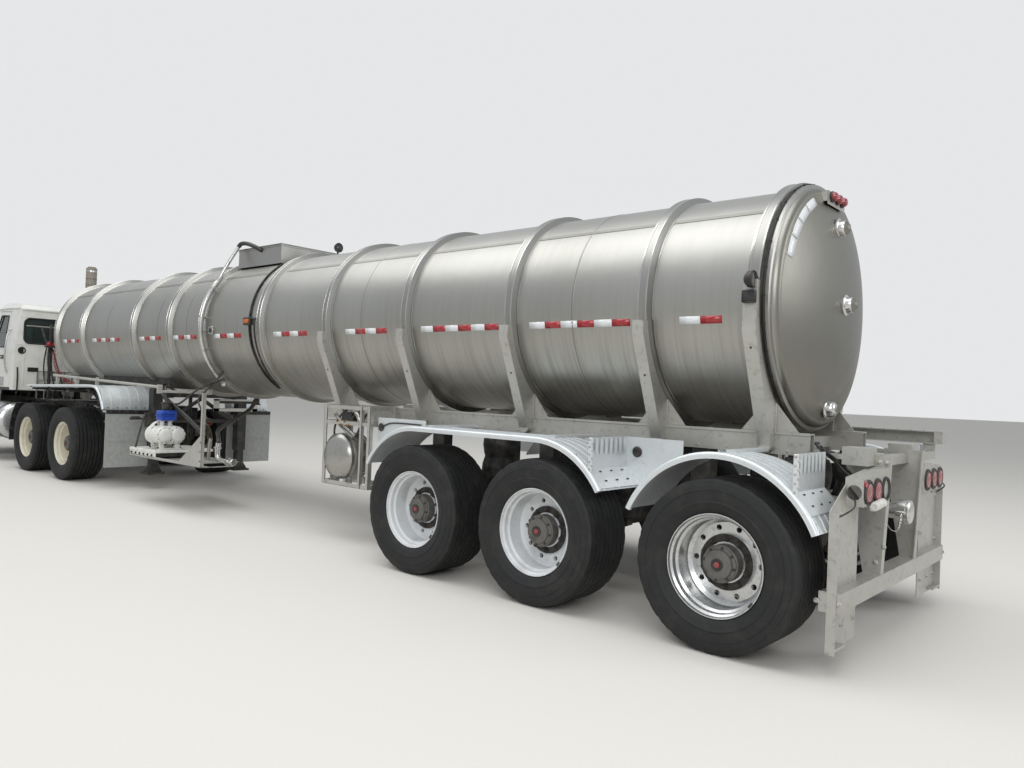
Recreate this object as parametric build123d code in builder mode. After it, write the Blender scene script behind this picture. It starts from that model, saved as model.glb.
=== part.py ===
from build123d import *
from math import asin, cos, radians, sin, tan
import os

os.makedirs("parts", exist_ok=True)

# An articulated tank truck: a three-axle stainless tank trailer on a day-cab tractor.
# Millimetres. X forward, Y to the driver's left, Z up from the ground, X = 0 at mid length.

# Stations along the truck
TAIL_AXLE_X = -7475
TRAILER_AXLE_STEPS = (0, 1354, 2598)
KINGPIN_X = 3175
DRIVE_AXLE_STEPS = (-725, 690)
STEER_AXLE_X = 7425
CAB_REAR_X = 5125
TOW_EYE_REACH = 60
BUMPER_FRONT_X = 8205 - TOW_EYE_REACH
TRAILER_TAIL_X = -8205

# Tyres and wheels
TYRE_RADIUS = 508
WIDE_TYRE_WIDTH = 445
STEER_TYRE_WIDTH = 300
RIM_RADIUS = 302
BEAD_RADIUS = 292
BEAD_GAP = 0.3
TRAILER_WHEEL_Y = 1072
DRIVE_WHEEL_Y = 1040
STEER_WHEEL_Y = 1040
HAND_HOLES = 10
HAND_HOLE_RADIUS = 17
HAND_HOLE_CIRCLE = 206
SPINDLE_RADIUS = 40
PIN_CLEARANCE = 0.05
SPINDLE_DEPTH = 40
SPINDLE_END_GAP = 4

# Tank
TANK_RADIUS = 820
TANK_AXIS_Z = 2126
TANK_REAR_X = -7750
TANK_FRONT_X = 4255
HEAD_DEPTH = 175
DISH_DEPTH = 130
KNUCKLE = 45
HEAD_CAPS = ((544, 60), (18, 60), (-690, 50))
CAP_RADIUS = 48
RING_STEPS = (0, 794, 2017, 3250, 4423, 5618, 6890, 7718, 8750, 10469, 11454)
RING_RADIUS = 862
RING_BASE = 110
RING_CROWN = 70
SKIN_GAP = 0.3

# Trailer frame
RAIL_OUTER_Y = 550
RAIL_WIDTH = 75
RAIL_HEIGHT = 140
RAIL_TOP_Z = 1277
RAIL_WALL = 8
RAIL_REAR_X = -7745
RAIL_FRONT_X = -2755
CRADLE_COUNT = 5
LEG_WIDTH = 88
PLATE = 8

# Tractor frame
FRAME_HALF_WIDTH = 430
FRAME_TOP_Z = 1050
FRAME_HEIGHT = 260
FRAME_WEB = 10
FRAME_FLANGE = 80
FRAME_REAR_X = 1850
FRAME_FRONT_X = BUMPER_FRONT_X - 205

# Coupling
COUPLER_Z = 1205
COUPLER_THICKNESS = 10
KINGPIN_RADIUS = 25.4
KINGPIN_LENGTH = 84
PLATE_GAP = 0.3

# Cab
CAB_HALF_WIDTH = 1060
CAB_ROOF_HALF_WIDTH = 960
CAB_FLOOR_Z = 1190
CAB_ROOF_Z = 2650
CAB_LENGTH = 1355
WAIST_Z = 1850
CAB_WALL = 50
DOOR_GAP = 8

# Hood
HOOD_GAP = 20
HOOD_WALL = 25
ARCH_RADIUS = 650
HOOD_PIVOT_X = BUMPER_FRONT_X - 55
HOOD_PIVOT_Z = 715
HOOD_BOTTOM_Z = 740
HOOD_TUBE_RADIUS = 18

SIDES = (("left", 1), ("right", -1))
AXLE_Z = TYRE_RADIUS
TANK_CENTRE = (0, 0, TANK_AXIS_Z)


def keep(piece, name):
    """Label a finished piece and write its file."""
    piece.part.label = name
    export_step(piece.part, f"parts/{name}.step")


def turned_y(profile, centre, side=1):
    """A turned solid about a line along Y; profile lists (distance along Y, radius)."""
    with BuildPart() as piece:
        with BuildSketch(Plane(origin=centre, x_dir=(0, 1, 0), z_dir=(1, 0, 0))):
            with BuildLine():
                Polyline([(side * y, r) for y, r in profile], close=True)
            make_face()
        revolve(axis=Axis(centre, (0, 1, 0)))
    return piece.part


def turned_x(profile, centre):
    """A turned solid about a line along X; profile lists (distance along X, radius)."""
    with BuildPart() as piece:
        with BuildSketch(Plane(origin=centre, x_dir=(1, 0, 0), z_dir=(0, -1, 0))):
            with BuildLine():
                Polyline(profile, close=True)
            make_face()
        revolve(axis=Axis(centre, (1, 0, 0)))
    return piece.part


def side_prism(outline, y_low, y_high, shrink=0):
    """An outline in X and Z, drawn in by shrink and extruded from y_low to y_high."""
    with BuildPart() as piece:
        with BuildSketch(Plane(origin=(0, y_high, 0), x_dir=(1, 0, 0), z_dir=(0, -1, 0))):
            with BuildLine():
                Polyline(outline, close=True)
            make_face()
            if shrink:
                offset(amount=-shrink, kind=Kind.INTERSECTION)
        extrude(amount=y_high - y_low)
    return piece.part


def cross_prism(outline, x_low, x_high):
    """An outline in Y and Z, extruded from x_low to x_high."""
    with BuildPart() as piece:
        with BuildSketch(Plane(origin=(x_low, 0, 0), x_dir=(0, 1, 0), z_dir=(1, 0, 0))):
            with BuildLine():
                Polyline(outline, close=True)
            make_face()
        extrude(amount=x_high - x_low)
    return piece.part


def block(x_low, x_high, y_low, y_high, z_low, z_high):
    """A block between two corners."""
    centre = ((x_low + x_high) / 2, (y_low + y_high) / 2, (z_low + z_high) / 2)
    return Pos(*centre) * Box(x_high - x_low, y_high - y_low, z_high - z_low, mode=Mode.PRIVATE)


def rod(start, end, radius):
    """A round bar from start to end."""
    way = Vector(*end) - Vector(*start)
    return Plane(origin=start, z_dir=way) * Cylinder(
        radius, way.length, align=(Align.CENTER, Align.CENTER, Align.MIN), mode=Mode.PRIVATE)


# Tyres: a flat tread, sloped shoulders and side walls that bulge out from the bead
def tyre_profile(width):
    bead = width / 2 - 50
    return [(-bead, BEAD_RADIUS), (-width / 2, 415), (-width / 2 + 34, TYRE_RADIUS),
            (width / 2 - 34, TYRE_RADIUS), (width / 2, 415), (bead, BEAD_RADIUS)]


# Wheels: a deep dish whose disc stands inboard, with the hub nosing out through it
def wheel_profile(width, hub_in, disc, hub_out):
    rim = width / 2 - 32
    bead = BEAD_RADIUS - BEAD_GAP
    bore = SPINDLE_RADIUS + PIN_CLEARANCE
    return [(hub_out, 0), (hub_out, 50), (hub_out - 18, 58), (hub_out - 24, 98),
            (disc + 30, 106), (disc + 24, 166), (disc, 168), (disc, 234), (disc + 16, 258),
            (rim - 66, 262), (rim - 54, 276), (rim - 24, 279), (rim - 14, 291),
            (rim, RIM_RADIUS - 6), (rim, RIM_RADIUS), (rim - 12, RIM_RADIUS), (rim - 18, bead),
            (18 - rim, bead), (12 - rim, RIM_RADIUS), (-rim, RIM_RADIUS), (-rim, 280),
            (disc - 50, 262), (disc - 24, 236), (disc - 24, 120), (hub_in, 120), (hub_in, bore),
            (SPINDLE_DEPTH, bore), (SPINDLE_DEPTH, 0)]


# axle kind, X, Y of the wheel's middle, tyre width, hub's inner end, disc face, hub's nose
WHEEL_ROWS = [
    (f"trailer_{3 - i}", TAIL_AXLE_X + step, TRAILER_WHEEL_Y, WIDE_TYRE_WIDTH, -150, 0, 130)
    for i, step in enumerate(TRAILER_AXLE_STEPS)
] + [
    (f"drive_{2 - i}", KINGPIN_X + step, DRIVE_WHEEL_Y, WIDE_TYRE_WIDTH, -150, 0, 130)
    for i, step in enumerate(DRIVE_AXLE_STEPS)
] + [("steer", STEER_AXLE_X, STEER_WHEEL_Y, STEER_TYRE_WIDTH, -40, 60, 110)]

for axle, axle_x, wheel_y, width, hub_in, disc, hub_out in WHEEL_ROWS:
    for side_name, side in SIDES:
        centre = (axle_x, side * wheel_y, AXLE_Z)
        with BuildPart() as tyre:
            add(turned_y(tyre_profile(width), centre, side))
        keep(tyre, f"{axle}_tyre_{side_name}")
        with BuildPart() as wheel:
            add(turned_y(wheel_profile(width, hub_in, disc, hub_out), centre, side))
            disc_plane = Plane(origin=(axle_x, side * (wheel_y + disc), AXLE_Z),
                               x_dir=(1, 0, 0), z_dir=(0, side, 0))
            with BuildSketch(disc_plane.offset(20)):
                with PolarLocations(HAND_HOLE_CIRCLE, HAND_HOLES):
                    Circle(HAND_HOLE_RADIUS)
            extrude(amount=-130, mode=Mode.SUBTRACT)
        keep(wheel, f"{axle}_wheel_{side_name}")

# Tank: a long barrel with a rounded knuckle and a shallow dished head at each end
CROWN_RADIUS = TANK_RADIUS - KNUCKLE
DISH_RADIUS = (CROWN_RADIUS ** 2 + DISH_DEPTH ** 2) / (2 * DISH_DEPTH)
DISH_HALF_ANGLE = asin(CROWN_RADIUS / DISH_RADIUS) / 2
DISH_MIDDLE = (DISH_RADIUS * (1 - cos(DISH_HALF_ANGLE)), DISH_RADIUS * sin(DISH_HALF_ANGLE))
with BuildPart() as tank:
    with BuildSketch(Plane(origin=TANK_CENTRE, x_dir=(1, 0, 0), z_dir=(0, -1, 0))):
        with BuildLine():
            seams = []
            for end, inward in ((TANK_REAR_X, 1), (TANK_FRONT_X, -1)):
                crown = (end + inward * DISH_DEPTH, CROWN_RADIUS)
                seam = (end + inward * HEAD_DEPTH, TANK_RADIUS)
                knuckle = (end + inward * (DISH_DEPTH + 0.35 * (HEAD_DEPTH - DISH_DEPTH)),
                           CROWN_RADIUS + 0.75 * KNUCKLE)
                ThreePointArc((end, 0), (end + inward * DISH_MIDDLE[0], DISH_MIDDLE[1]), crown)
                ThreePointArc(crown, knuckle, seam)
                seams.append(seam)
            Line(*seams)
            Line((TANK_FRONT_X, 0), (TANK_REAR_X, 0))
        make_face()
    revolve(axis=Axis(TANK_CENTRE, (1, 0, 0)))
    for rise, reach in HEAD_CAPS:
        surface_x = TANK_REAR_X + DISH_RADIUS - (DISH_RADIUS ** 2 - rise ** 2) ** 0.5
        cap = (surface_x, 0, TANK_AXIS_Z + rise)
        add(turned_x([(30, 0), (30, 30), (20 - reach, 30), (20 - reach, CAP_RADIUS),
                      (8 - reach, CAP_RADIUS), (-reach - 12, 28), (-reach - 20, 0)], cap))
keep(tank, "tank")

# Stiffening rings pressed round the barrel
with BuildPart() as tank_rings:
    for step in RING_STEPS:
        add(turned_x([(-RING_BASE / 2, TANK_RADIUS + SKIN_GAP), (-RING_CROWN / 2, RING_RADIUS),
                      (RING_CROWN / 2, RING_RADIUS), (RING_BASE / 2, TANK_RADIUS + SKIN_GAP)],
                     (TAIL_AXLE_X + step, 0, TANK_AXIS_Z)))
    add(turned_x([(TANK_REAR_X + HEAD_DEPTH, TANK_RADIUS + SKIN_GAP),
                  (TANK_REAR_X + HEAD_DEPTH + 8, RING_RADIUS - 18),
                  (TANK_REAR_X + HEAD_DEPTH + 36, RING_RADIUS - 18),
                  (TANK_REAR_X + HEAD_DEPTH + 40, TANK_RADIUS + SKIN_GAP)], TANK_CENTRE))
keep(tank_rings, "tank_rings")

# Subframe: two box rails and their cross members
RAIL_BOTTOM_Z = RAIL_TOP_Z - RAIL_HEIGHT
RAIL_INNER_Y = RAIL_OUTER_Y - RAIL_WIDTH
CROSS_MEMBER_SIZE = 80
with BuildPart() as chassis_rails:
    for _, side in SIDES:
        rail_middle = (side * (RAIL_OUTER_Y - RAIL_WIDTH / 2), (RAIL_TOP_Z + RAIL_BOTTOM_Z) / 2)
        with BuildSketch(Plane(origin=(RAIL_REAR_X, 0, 0), x_dir=(0, 1, 0), z_dir=(1, 0, 0))):
            with Locations(rail_middle):
                Rectangle(RAIL_WIDTH, RAIL_HEIGHT)
                Rectangle(RAIL_WIDTH - 2 * RAIL_WALL, RAIL_HEIGHT - 2 * RAIL_WALL,
                          mode=Mode.SUBTRACT)
        extrude(amount=RAIL_FRONT_X - RAIL_REAR_X)
    for step in RING_STEPS[:CRADLE_COUNT]:
        station = TAIL_AXLE_X + step
        half = CROSS_MEMBER_SIZE / 2
        add(block(station - half, station + half, -RAIL_INNER_Y, RAIL_INNER_Y,
                  RAIL_BOTTOM_Z + 20, RAIL_BOTTOM_Z + 20 + CROSS_MEMBER_SIZE))
keep(chassis_rails, "chassis_rails")

# Cradle legs: flat channels that run from the ring down to the rail, with a gusset each way
LEG_FOOT_Z = RAIL_TOP_Z - 92
LEG_TOP_Z = TANK_AXIS_Z + 90
LEG_KNEE_Z = TANK_AXIS_Z - 230
GUSSET_REACH = 150
GUSSET_HEIGHT = 185
with BuildPart() as tank_cradles:
    for step in RING_STEPS[:CRADLE_COUNT]:
        station = TAIL_AXLE_X + step
        top_z = LEG_TOP_Z if step == 0 else LEG_KNEE_Z + 95
        for _, side in SIDES:
            outline = [(RING_RADIUS + 42, top_z), (RING_RADIUS + 42, LEG_KNEE_Z),
                       (RAIL_OUTER_Y + 62, LEG_FOOT_Z), (RAIL_OUTER_Y, LEG_FOOT_Z),
                       (RAIL_OUTER_Y, RAIL_TOP_Z), (RAIL_OUTER_Y - 45, RAIL_TOP_Z),
                       (RAIL_OUTER_Y - 45, RAIL_TOP_Z + 170), (0.9 * RING_RADIUS, top_z)]
            with BuildSketch(Plane(origin=(station - LEG_WIDTH / 2, 0, 0), x_dir=(0, 1, 0),
                                   z_dir=(1, 0, 0))):
                with BuildLine():
                    Polyline([(side * y, z) for y, z in outline], close=True)
                make_face()
                with Locations((0, TANK_AXIS_Z)):
                    Circle(RING_RADIUS + SKIN_GAP, mode=Mode.SUBTRACT)
            extrude(amount=LEG_WIDTH)
            gusset_y = sorted((side * (RAIL_OUTER_Y - 10), side * (RAIL_OUTER_Y - 10 - PLATE)))
            for way in (-1, 1):
                near = station + way * LEG_WIDTH / 2
                add(side_prism([(near, RAIL_TOP_Z), (near + way * GUSSET_REACH, RAIL_TOP_Z),
                                (near, RAIL_TOP_Z + GUSSET_HEIGHT)], *gusset_y))
keep(tank_cradles, "tank_cradles")

# Trailer axles: a tube with a spindle at each end, on trailing arms and air springs
AXLE_TUBE_RADIUS = 63.5
ARM_Y = 480
ARM_LENGTH = 480
SPRING_BACK = 230
SPRING_RADIUS = 115
with BuildPart() as trailer_axles:
    for step in TRAILER_AXLE_STEPS:
        axle_x = TAIL_AXLE_X + step
        tube_half = TRAILER_WHEEL_Y - 160
        spindle_half = TRAILER_WHEEL_Y + SPINDLE_DEPTH - SPINDLE_END_GAP
        add(rod((axle_x, -tube_half, AXLE_Z), (axle_x, tube_half, AXLE_Z), AXLE_TUBE_RADIUS))
        add(rod((axle_x, -spindle_half, AXLE_Z), (axle_x, spindle_half, AXLE_Z), SPINDLE_RADIUS))
        for _, side in SIDES:
            arm_y = (side * ARM_Y - 35, side * ARM_Y + 35)
            add(side_prism([(axle_x + ARM_LENGTH + 60, AXLE_Z + 215), (axle_x + 80, AXLE_Z + 75),
                            (axle_x - SPRING_BACK - 60, AXLE_Z + 75),
                            (axle_x - SPRING_BACK - 60, AXLE_Z + 10), (axle_x - 60, AXLE_Z - 80),
                            (axle_x + 90, AXLE_Z - 80), (axle_x + ARM_LENGTH + 60, AXLE_Z + 110)],
                           *arm_y))
            add(block(axle_x + ARM_LENGTH - 70, axle_x + ARM_LENGTH + 70,
                      arm_y[0] - 20, arm_y[1] + 20, AXLE_Z + 90, RAIL_BOTTOM_Z))
            spring = (axle_x - SPRING_BACK, side * ARM_Y)
            add(rod((*spring, AXLE_Z + 70), (*spring, RAIL_BOTTOM_Z), SPRING_RADIUS))
keep(trailer_axles, "trailer_axles")

# Fenders: ribbed aluminium arches, one over the front pair of wheels and one over the last
FENDER_SHEET = 6
FENDER_OUTER_Y = 1285
FENDER_INNER_Y = 800
FENDER_RADIUS = 646
FENDER_LIP = 26
FENDER_RIBS = 5
DEFLECTOR_BACK = 450
DEFLECTOR_TOP_Z = 1190


def arch_area(low_x, high_x, low_angle, high_angle, radius):
    """The area under an arch: an arc round each end wheel, level between them."""
    def spot(centre_x, angle):
        return centre_x + radius * cos(radians(angle)), AXLE_Z + radius * sin(radians(angle))

    with BuildSketch() as area:
        with BuildLine():
            ThreePointArc(spot(high_x, low_angle), spot(high_x, (low_angle + 90) / 2),
                          spot(high_x, 90))
            if high_x > low_x:
                Line(spot(high_x, 90), spot(low_x, 90))
            ThreePointArc(spot(low_x, 90), spot(low_x, (high_angle + 90) / 2),
                          spot(low_x, high_angle))
            Polyline([spot(low_x, high_angle)] + [(x, AXLE_Z) for x in sorted({low_x, high_x})]
                     + [spot(high_x, low_angle)])
        make_face()
    return area.sketch


def arch_sheet(reach, radius, sheet, y_one, y_two):
    """A curved sheet over the wheels, between two distances from the middle."""
    with BuildPart() as piece:
        with BuildSketch(Plane(origin=(0, max(y_one, y_two), 0), x_dir=(1, 0, 0),
                               z_dir=(0, -1, 0))):
            add(arch_area(*reach, radius))
            add(arch_area(*reach, radius - sheet), mode=Mode.SUBTRACT)
        extrude(amount=abs(y_two - y_one))
    return piece.part


def curved_strip(centre, radius, sheet, angles, across):
    """A strip of an arch between two angles, across giving its low and high Y."""
    def spot(share, inset):
        angle = radians(angles[0] + share * (angles[1] - angles[0]))
        return centre[0] + (radius - inset) * cos(angle), centre[1] + (radius - inset) * sin(angle)

    with BuildPart() as piece:
        with BuildSketch(Plane(origin=(0, across[1], 0), x_dir=(1, 0, 0), z_dir=(0, -1, 0))):
            with BuildLine():
                ThreePointArc(spot(0, 0), spot(0.5, 0), spot(1, 0))
                Line(spot(1, 0), spot(1, sheet))
                ThreePointArc(spot(1, sheet), spot(0.5, sheet), spot(0, sheet))
                Line(spot(0, sheet), spot(0, 0))
            make_face()
        extrude(amount=across[1] - across[0])
    return piece.part


def fender(reach, side):
    """One arched sheet with a turned-down lip along its outer edge and stays to the rail."""
    with BuildPart() as piece:
        add(arch_sheet(reach, FENDER_RADIUS, FENDER_SHEET, side * FENDER_INNER_Y,
                       side * FENDER_OUTER_Y))
        add(arch_sheet(reach, FENDER_RADIUS, FENDER_LIP, side * (FENDER_OUTER_Y - 8),
                       side * FENDER_OUTER_Y))
        stay_y = sorted((side * RAIL_OUTER_Y, side * (FENDER_OUTER_Y - 200)))
        for centre_x in sorted({reach[0], reach[1]}):
            add(block(centre_x - 30, centre_x + 30, *stay_y, AXLE_Z + FENDER_RADIUS - 1,
                      AXLE_Z + FENDER_RADIUS + 20))
        for k in range(FENDER_RIBS):
            rib_y = FENDER_INNER_Y + 60 + k * 85
            add(arch_sheet(reach, FENDER_RADIUS + 5, 8, side * rib_y, side * (rib_y + 16)))
        wall_x = reach[0] - DEFLECTOR_BACK
        wall_foot = AXLE_Z + (FENDER_RADIUS ** 2 - DEFLECTOR_BACK ** 2) ** 0.5 - 10
        across = sorted((side * FENDER_INNER_Y, side * (FENDER_OUTER_Y - 20)))
        add(block(wall_x - FENDER_SHEET, wall_x, *across, wall_foot, DEFLECTOR_TOP_Z))
        add(curved_strip((reach[0], AXLE_Z), FENDER_RADIUS + 12, 14, (130, 147), across))
    return piece.part


FENDERS = ((TAIL_AXLE_X + TRAILER_AXLE_STEPS[1], TAIL_AXLE_X + TRAILER_AXLE_STEPS[2], 30, 148),
           (TAIL_AXLE_X, TAIL_AXLE_X, 24, 156))
# low X, high X, hole X, hole Z of the plates that close a fender's inner edge
SIDE_PLATES = ((TAIL_AXLE_X + 470, TAIL_AXLE_X + 905, TAIL_AXLE_X + 820, 1090),
               (TAIL_AXLE_X + 2960, TAIL_AXLE_X + 3598, TAIL_AXLE_X + 3550, 1101))
with BuildPart() as trailer_fenders:
    for reach in FENDERS:
        for _, side in SIDES:
            add(fender(reach, side))
    for low_x, high_x, hole_x, hole_z in SIDE_PLATES:
        for _, side in SIDES:
            plate_y = sorted((side * FENDER_INNER_Y, side * (FENDER_INNER_Y + FENDER_SHEET)))
            add(block(low_x, high_x, *plate_y, 860, DEFLECTOR_TOP_Z))
            for reach in FENDERS:
                for centre_x in sorted({reach[0], reach[1]}):
                    add(rod((centre_x, plate_y[0] - 1, AXLE_Z), (centre_x, plate_y[1] + 1, AXLE_Z),
                            FENDER_RADIUS - FENDER_SHEET), mode=Mode.SUBTRACT)
            add(rod((hole_x, plate_y[0] - 1, hole_z), (hole_x, plate_y[1] + 1, hole_z), 32),
                mode=Mode.SUBTRACT)
keep(trailer_fenders, "trailer_fenders")

# Rear frame: cross tube, hanging plates, lamp boxes, splash plates, bumper beam and a side channel
CROSS_TUBE_X = (TAIL_AXLE_X - 600, TAIL_AXLE_X - 520)
CROSS_TUBE_Z = (1090, 1150)
HANGER_TOP_Z = 1180
CHANNEL_X = (TAIL_AXLE_X - 660, TAIL_AXLE_X + 190)
CHANNEL_Y = (-1150, -1060)
CHANNEL_Z = (1205, 1300)
LAMP_BOX_X = (TAIL_AXLE_X - 700, TAIL_AXLE_X - 600)
LAMP_BOX_Y = (400, 885)
LAMP_BOX_BOTTOM_Z = 900
LAMP_BOX_TOP_Z = (1105, 1060)
LAMP_Z = 978
LAMP_RADIUS = 60
LAMP_YS = (480, 643, 806)
BUMPER_BEAM_X = (TAIL_AXLE_X - 670, TAIL_AXLE_X - 560)
BUMPER_HALF = 1130
BUMPER_Z = (345, 450)
SPLASH_X = TAIL_AXLE_X - 610
SPLASH_Y = (670, 1140)
SPLASH_BOTTOM_Z = 120
BOX_SIDE_HOLE_RADIUS = 42


def cross_plate(x_low, x_high, side, outline):
    with BuildPart(mode=Mode.PRIVATE) as plate:
        with BuildSketch(Plane(origin=(x_low, 0, 0), x_dir=(0, 1, 0), z_dir=(1, 0, 0))):
            with BuildLine():
                Polyline([(side * y, z) for y, z in outline], close=True)
            make_face()
        extrude(amount=x_high - x_low)
    return plate.part


with BuildPart() as rear_frame:
    add(block(*BUMPER_BEAM_X, -BUMPER_HALF, BUMPER_HALF, *BUMPER_Z))
    add(block(*CROSS_TUBE_X, CHANNEL_Y[0] + 30, LAMP_BOX_Y[0], *CROSS_TUBE_Z))
    add(block(*CROSS_TUBE_X, CHANNEL_Y[0] + 30, CHANNEL_Y[0] + 60, CROSS_TUBE_Z[0],
              CHANNEL_Z[0] + 5))
    add(block(*CHANNEL_X, *CHANNEL_Y, *CHANNEL_Z))
    add(block(CHANNEL_X[0] + 60, CHANNEL_X[1] + 1, CHANNEL_Y[0] + PLATE, CHANNEL_Y[1] + 1,
              CHANNEL_Z[0] + PLATE, CHANNEL_Z[1] - PLATE), mode=Mode.SUBTRACT)
    add(block(TAIL_AXLE_X + 90, TAIL_AXLE_X + 150, CHANNEL_Y[0] + 2, -RAIL_OUTER_Y,
              CHANNEL_Z[0] + 2, CHANNEL_Z[0] + 32))
    for _, side in SIDES:
        rail_y = sorted((side * RAIL_OUTER_Y, side * RAIL_INNER_Y))
        add(block(CROSS_TUBE_X[0], RAIL_REAR_X, *rail_y, RAIL_BOTTOM_Z + PLATE_GAP, RAIL_BOTTOM_Z + 30))
        step_y = sorted((side * (LAMP_BOX_Y[0] - PLATE), side * RAIL_OUTER_Y))
        add(block(TAIL_AXLE_X - 620, TAIL_AXLE_X - 465, *step_y, RAIL_BOTTOM_Z - 30, 1215))
        add(cross_plate(*LAMP_BOX_X, side,
                        [(LAMP_BOX_Y[0], LAMP_BOX_BOTTOM_Z), (LAMP_BOX_Y[1], LAMP_BOX_BOTTOM_Z),
                         (LAMP_BOX_Y[1], LAMP_BOX_TOP_Z[1]), (LAMP_BOX_Y[0], LAMP_BOX_TOP_Z[0])]))
        add(cross_plate(LAMP_BOX_X[0] + PLATE, LAMP_BOX_X[1] + 1, side,
                        [(LAMP_BOX_Y[0] + PLATE, LAMP_BOX_BOTTOM_Z + PLATE),
                         (LAMP_BOX_Y[1] - PLATE, LAMP_BOX_BOTTOM_Z + PLATE),
                         (LAMP_BOX_Y[1] - PLATE, LAMP_BOX_TOP_Z[1] - PLATE),
                         (LAMP_BOX_Y[0] + PLATE, LAMP_BOX_TOP_Z[0] - PLATE)]), mode=Mode.SUBTRACT)
        add(rod((sum(LAMP_BOX_X) / 2, side * (LAMP_BOX_Y[1] - 20), LAMP_Z),
                (sum(LAMP_BOX_X) / 2, side * (LAMP_BOX_Y[1] + 20), LAMP_Z), BOX_SIDE_HOLE_RADIUS),
            mode=Mode.SUBTRACT)
        plate_y = sorted((side * LAMP_BOX_Y[0], side * (LAMP_BOX_Y[0] - PLATE)))
        add(side_prism([(LAMP_BOX_X[0], HANGER_TOP_Z), (TAIL_AXLE_X - 440, HANGER_TOP_Z),
                        (TAIL_AXLE_X - 440, HANGER_TOP_Z - 60),
                        (BUMPER_BEAM_X[1] - 5, BUMPER_Z[1] - 20),
                        (BUMPER_BEAM_X[0] + 5, BUMPER_Z[1] - 20)], *plate_y))
        add(side_prism([(LAMP_BOX_X[0], HANGER_TOP_Z), (LAMP_BOX_X[0] + 8, HANGER_TOP_Z),
                        (BUMPER_BEAM_X[0] + 13, BUMPER_Z[1] - 20),
                        (BUMPER_BEAM_X[0] + 5, BUMPER_Z[1] - 20)],
                       *sorted((side * LAMP_BOX_Y[0], side * (LAMP_BOX_Y[0] - 60)))))
        add(cross_plate(SPLASH_X, SPLASH_X + 6, side,
                        [(SPLASH_Y[0], SPLASH_BOTTOM_Z), (SPLASH_Y[1], SPLASH_BOTTOM_Z),
                         (SPLASH_Y[1], 890), (LAMP_BOX_Y[1] + 15, 1020),
                         (LAMP_BOX_Y[1] - 20, 1020), (SPLASH_Y[0], 930)]))
        fold_y = sorted((side * SPLASH_Y[1], side * (SPLASH_Y[1] - PLATE)))
        add(block(SPLASH_X - 45, SPLASH_X + 1, *fold_y, SPLASH_BOTTOM_Z, 885))
        add(block(SPLASH_X, BUMPER_BEAM_X[1], *sorted((side * 900, side * 960)), 380, 440))
keep(rear_frame, "rear_frame")

# Rear lamps: three round lenses in each box, and three on a bracket above the head
TOP_LAMP_RADIUS = 32
TOP_LAMP_STEP = 95
TOP_BRACKET_Z = (2815, 2905)
with BuildPart() as tail_lamps:
    for _, side in SIDES:
        for lamp_y in LAMP_YS:
            lamp = (LAMP_BOX_X[0], side * lamp_y, LAMP_Z)
            add(turned_x([(-18, 0), (-14, 34), (-9, LAMP_RADIUS), (-0.3, LAMP_RADIUS), (-0.3, 0)],
                         lamp))
    bracket_x = TAIL_AXLE_X - 190
    add(block(bracket_x, bracket_x + 5, -160, 160, *TOP_BRACKET_Z))
    add(block(bracket_x, TAIL_AXLE_X - 120, -160, 160, TOP_BRACKET_Z[1] - 30, TOP_BRACKET_Z[1] - 25))
    add(block(bracket_x, TAIL_AXLE_X - 120, -160, -152, TOP_BRACKET_Z[0] + 20, TOP_BRACKET_Z[1] - 25))
    add(block(bracket_x, TAIL_AXLE_X - 120, 152, 160, TOP_BRACKET_Z[0] + 20, TOP_BRACKET_Z[1] - 25))
    add(Pos(TANK_REAR_X + DISH_RADIUS, 0, TANK_AXIS_Z)
        * Sphere(DISH_RADIUS + SKIN_GAP, mode=Mode.PRIVATE), mode=Mode.SUBTRACT)
    for k in (-1, 0, 1):
        lamp = (bracket_x, k * TOP_LAMP_STEP, sum(TOP_BRACKET_Z) / 2 + 18)
        add(turned_x([(1, 0), (1, TOP_LAMP_RADIUS), (-22, TOP_LAMP_RADIUS), (-38, 20), (-44, 0)], lamp))
keep(tail_lamps, "tail_lamps")

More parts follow.
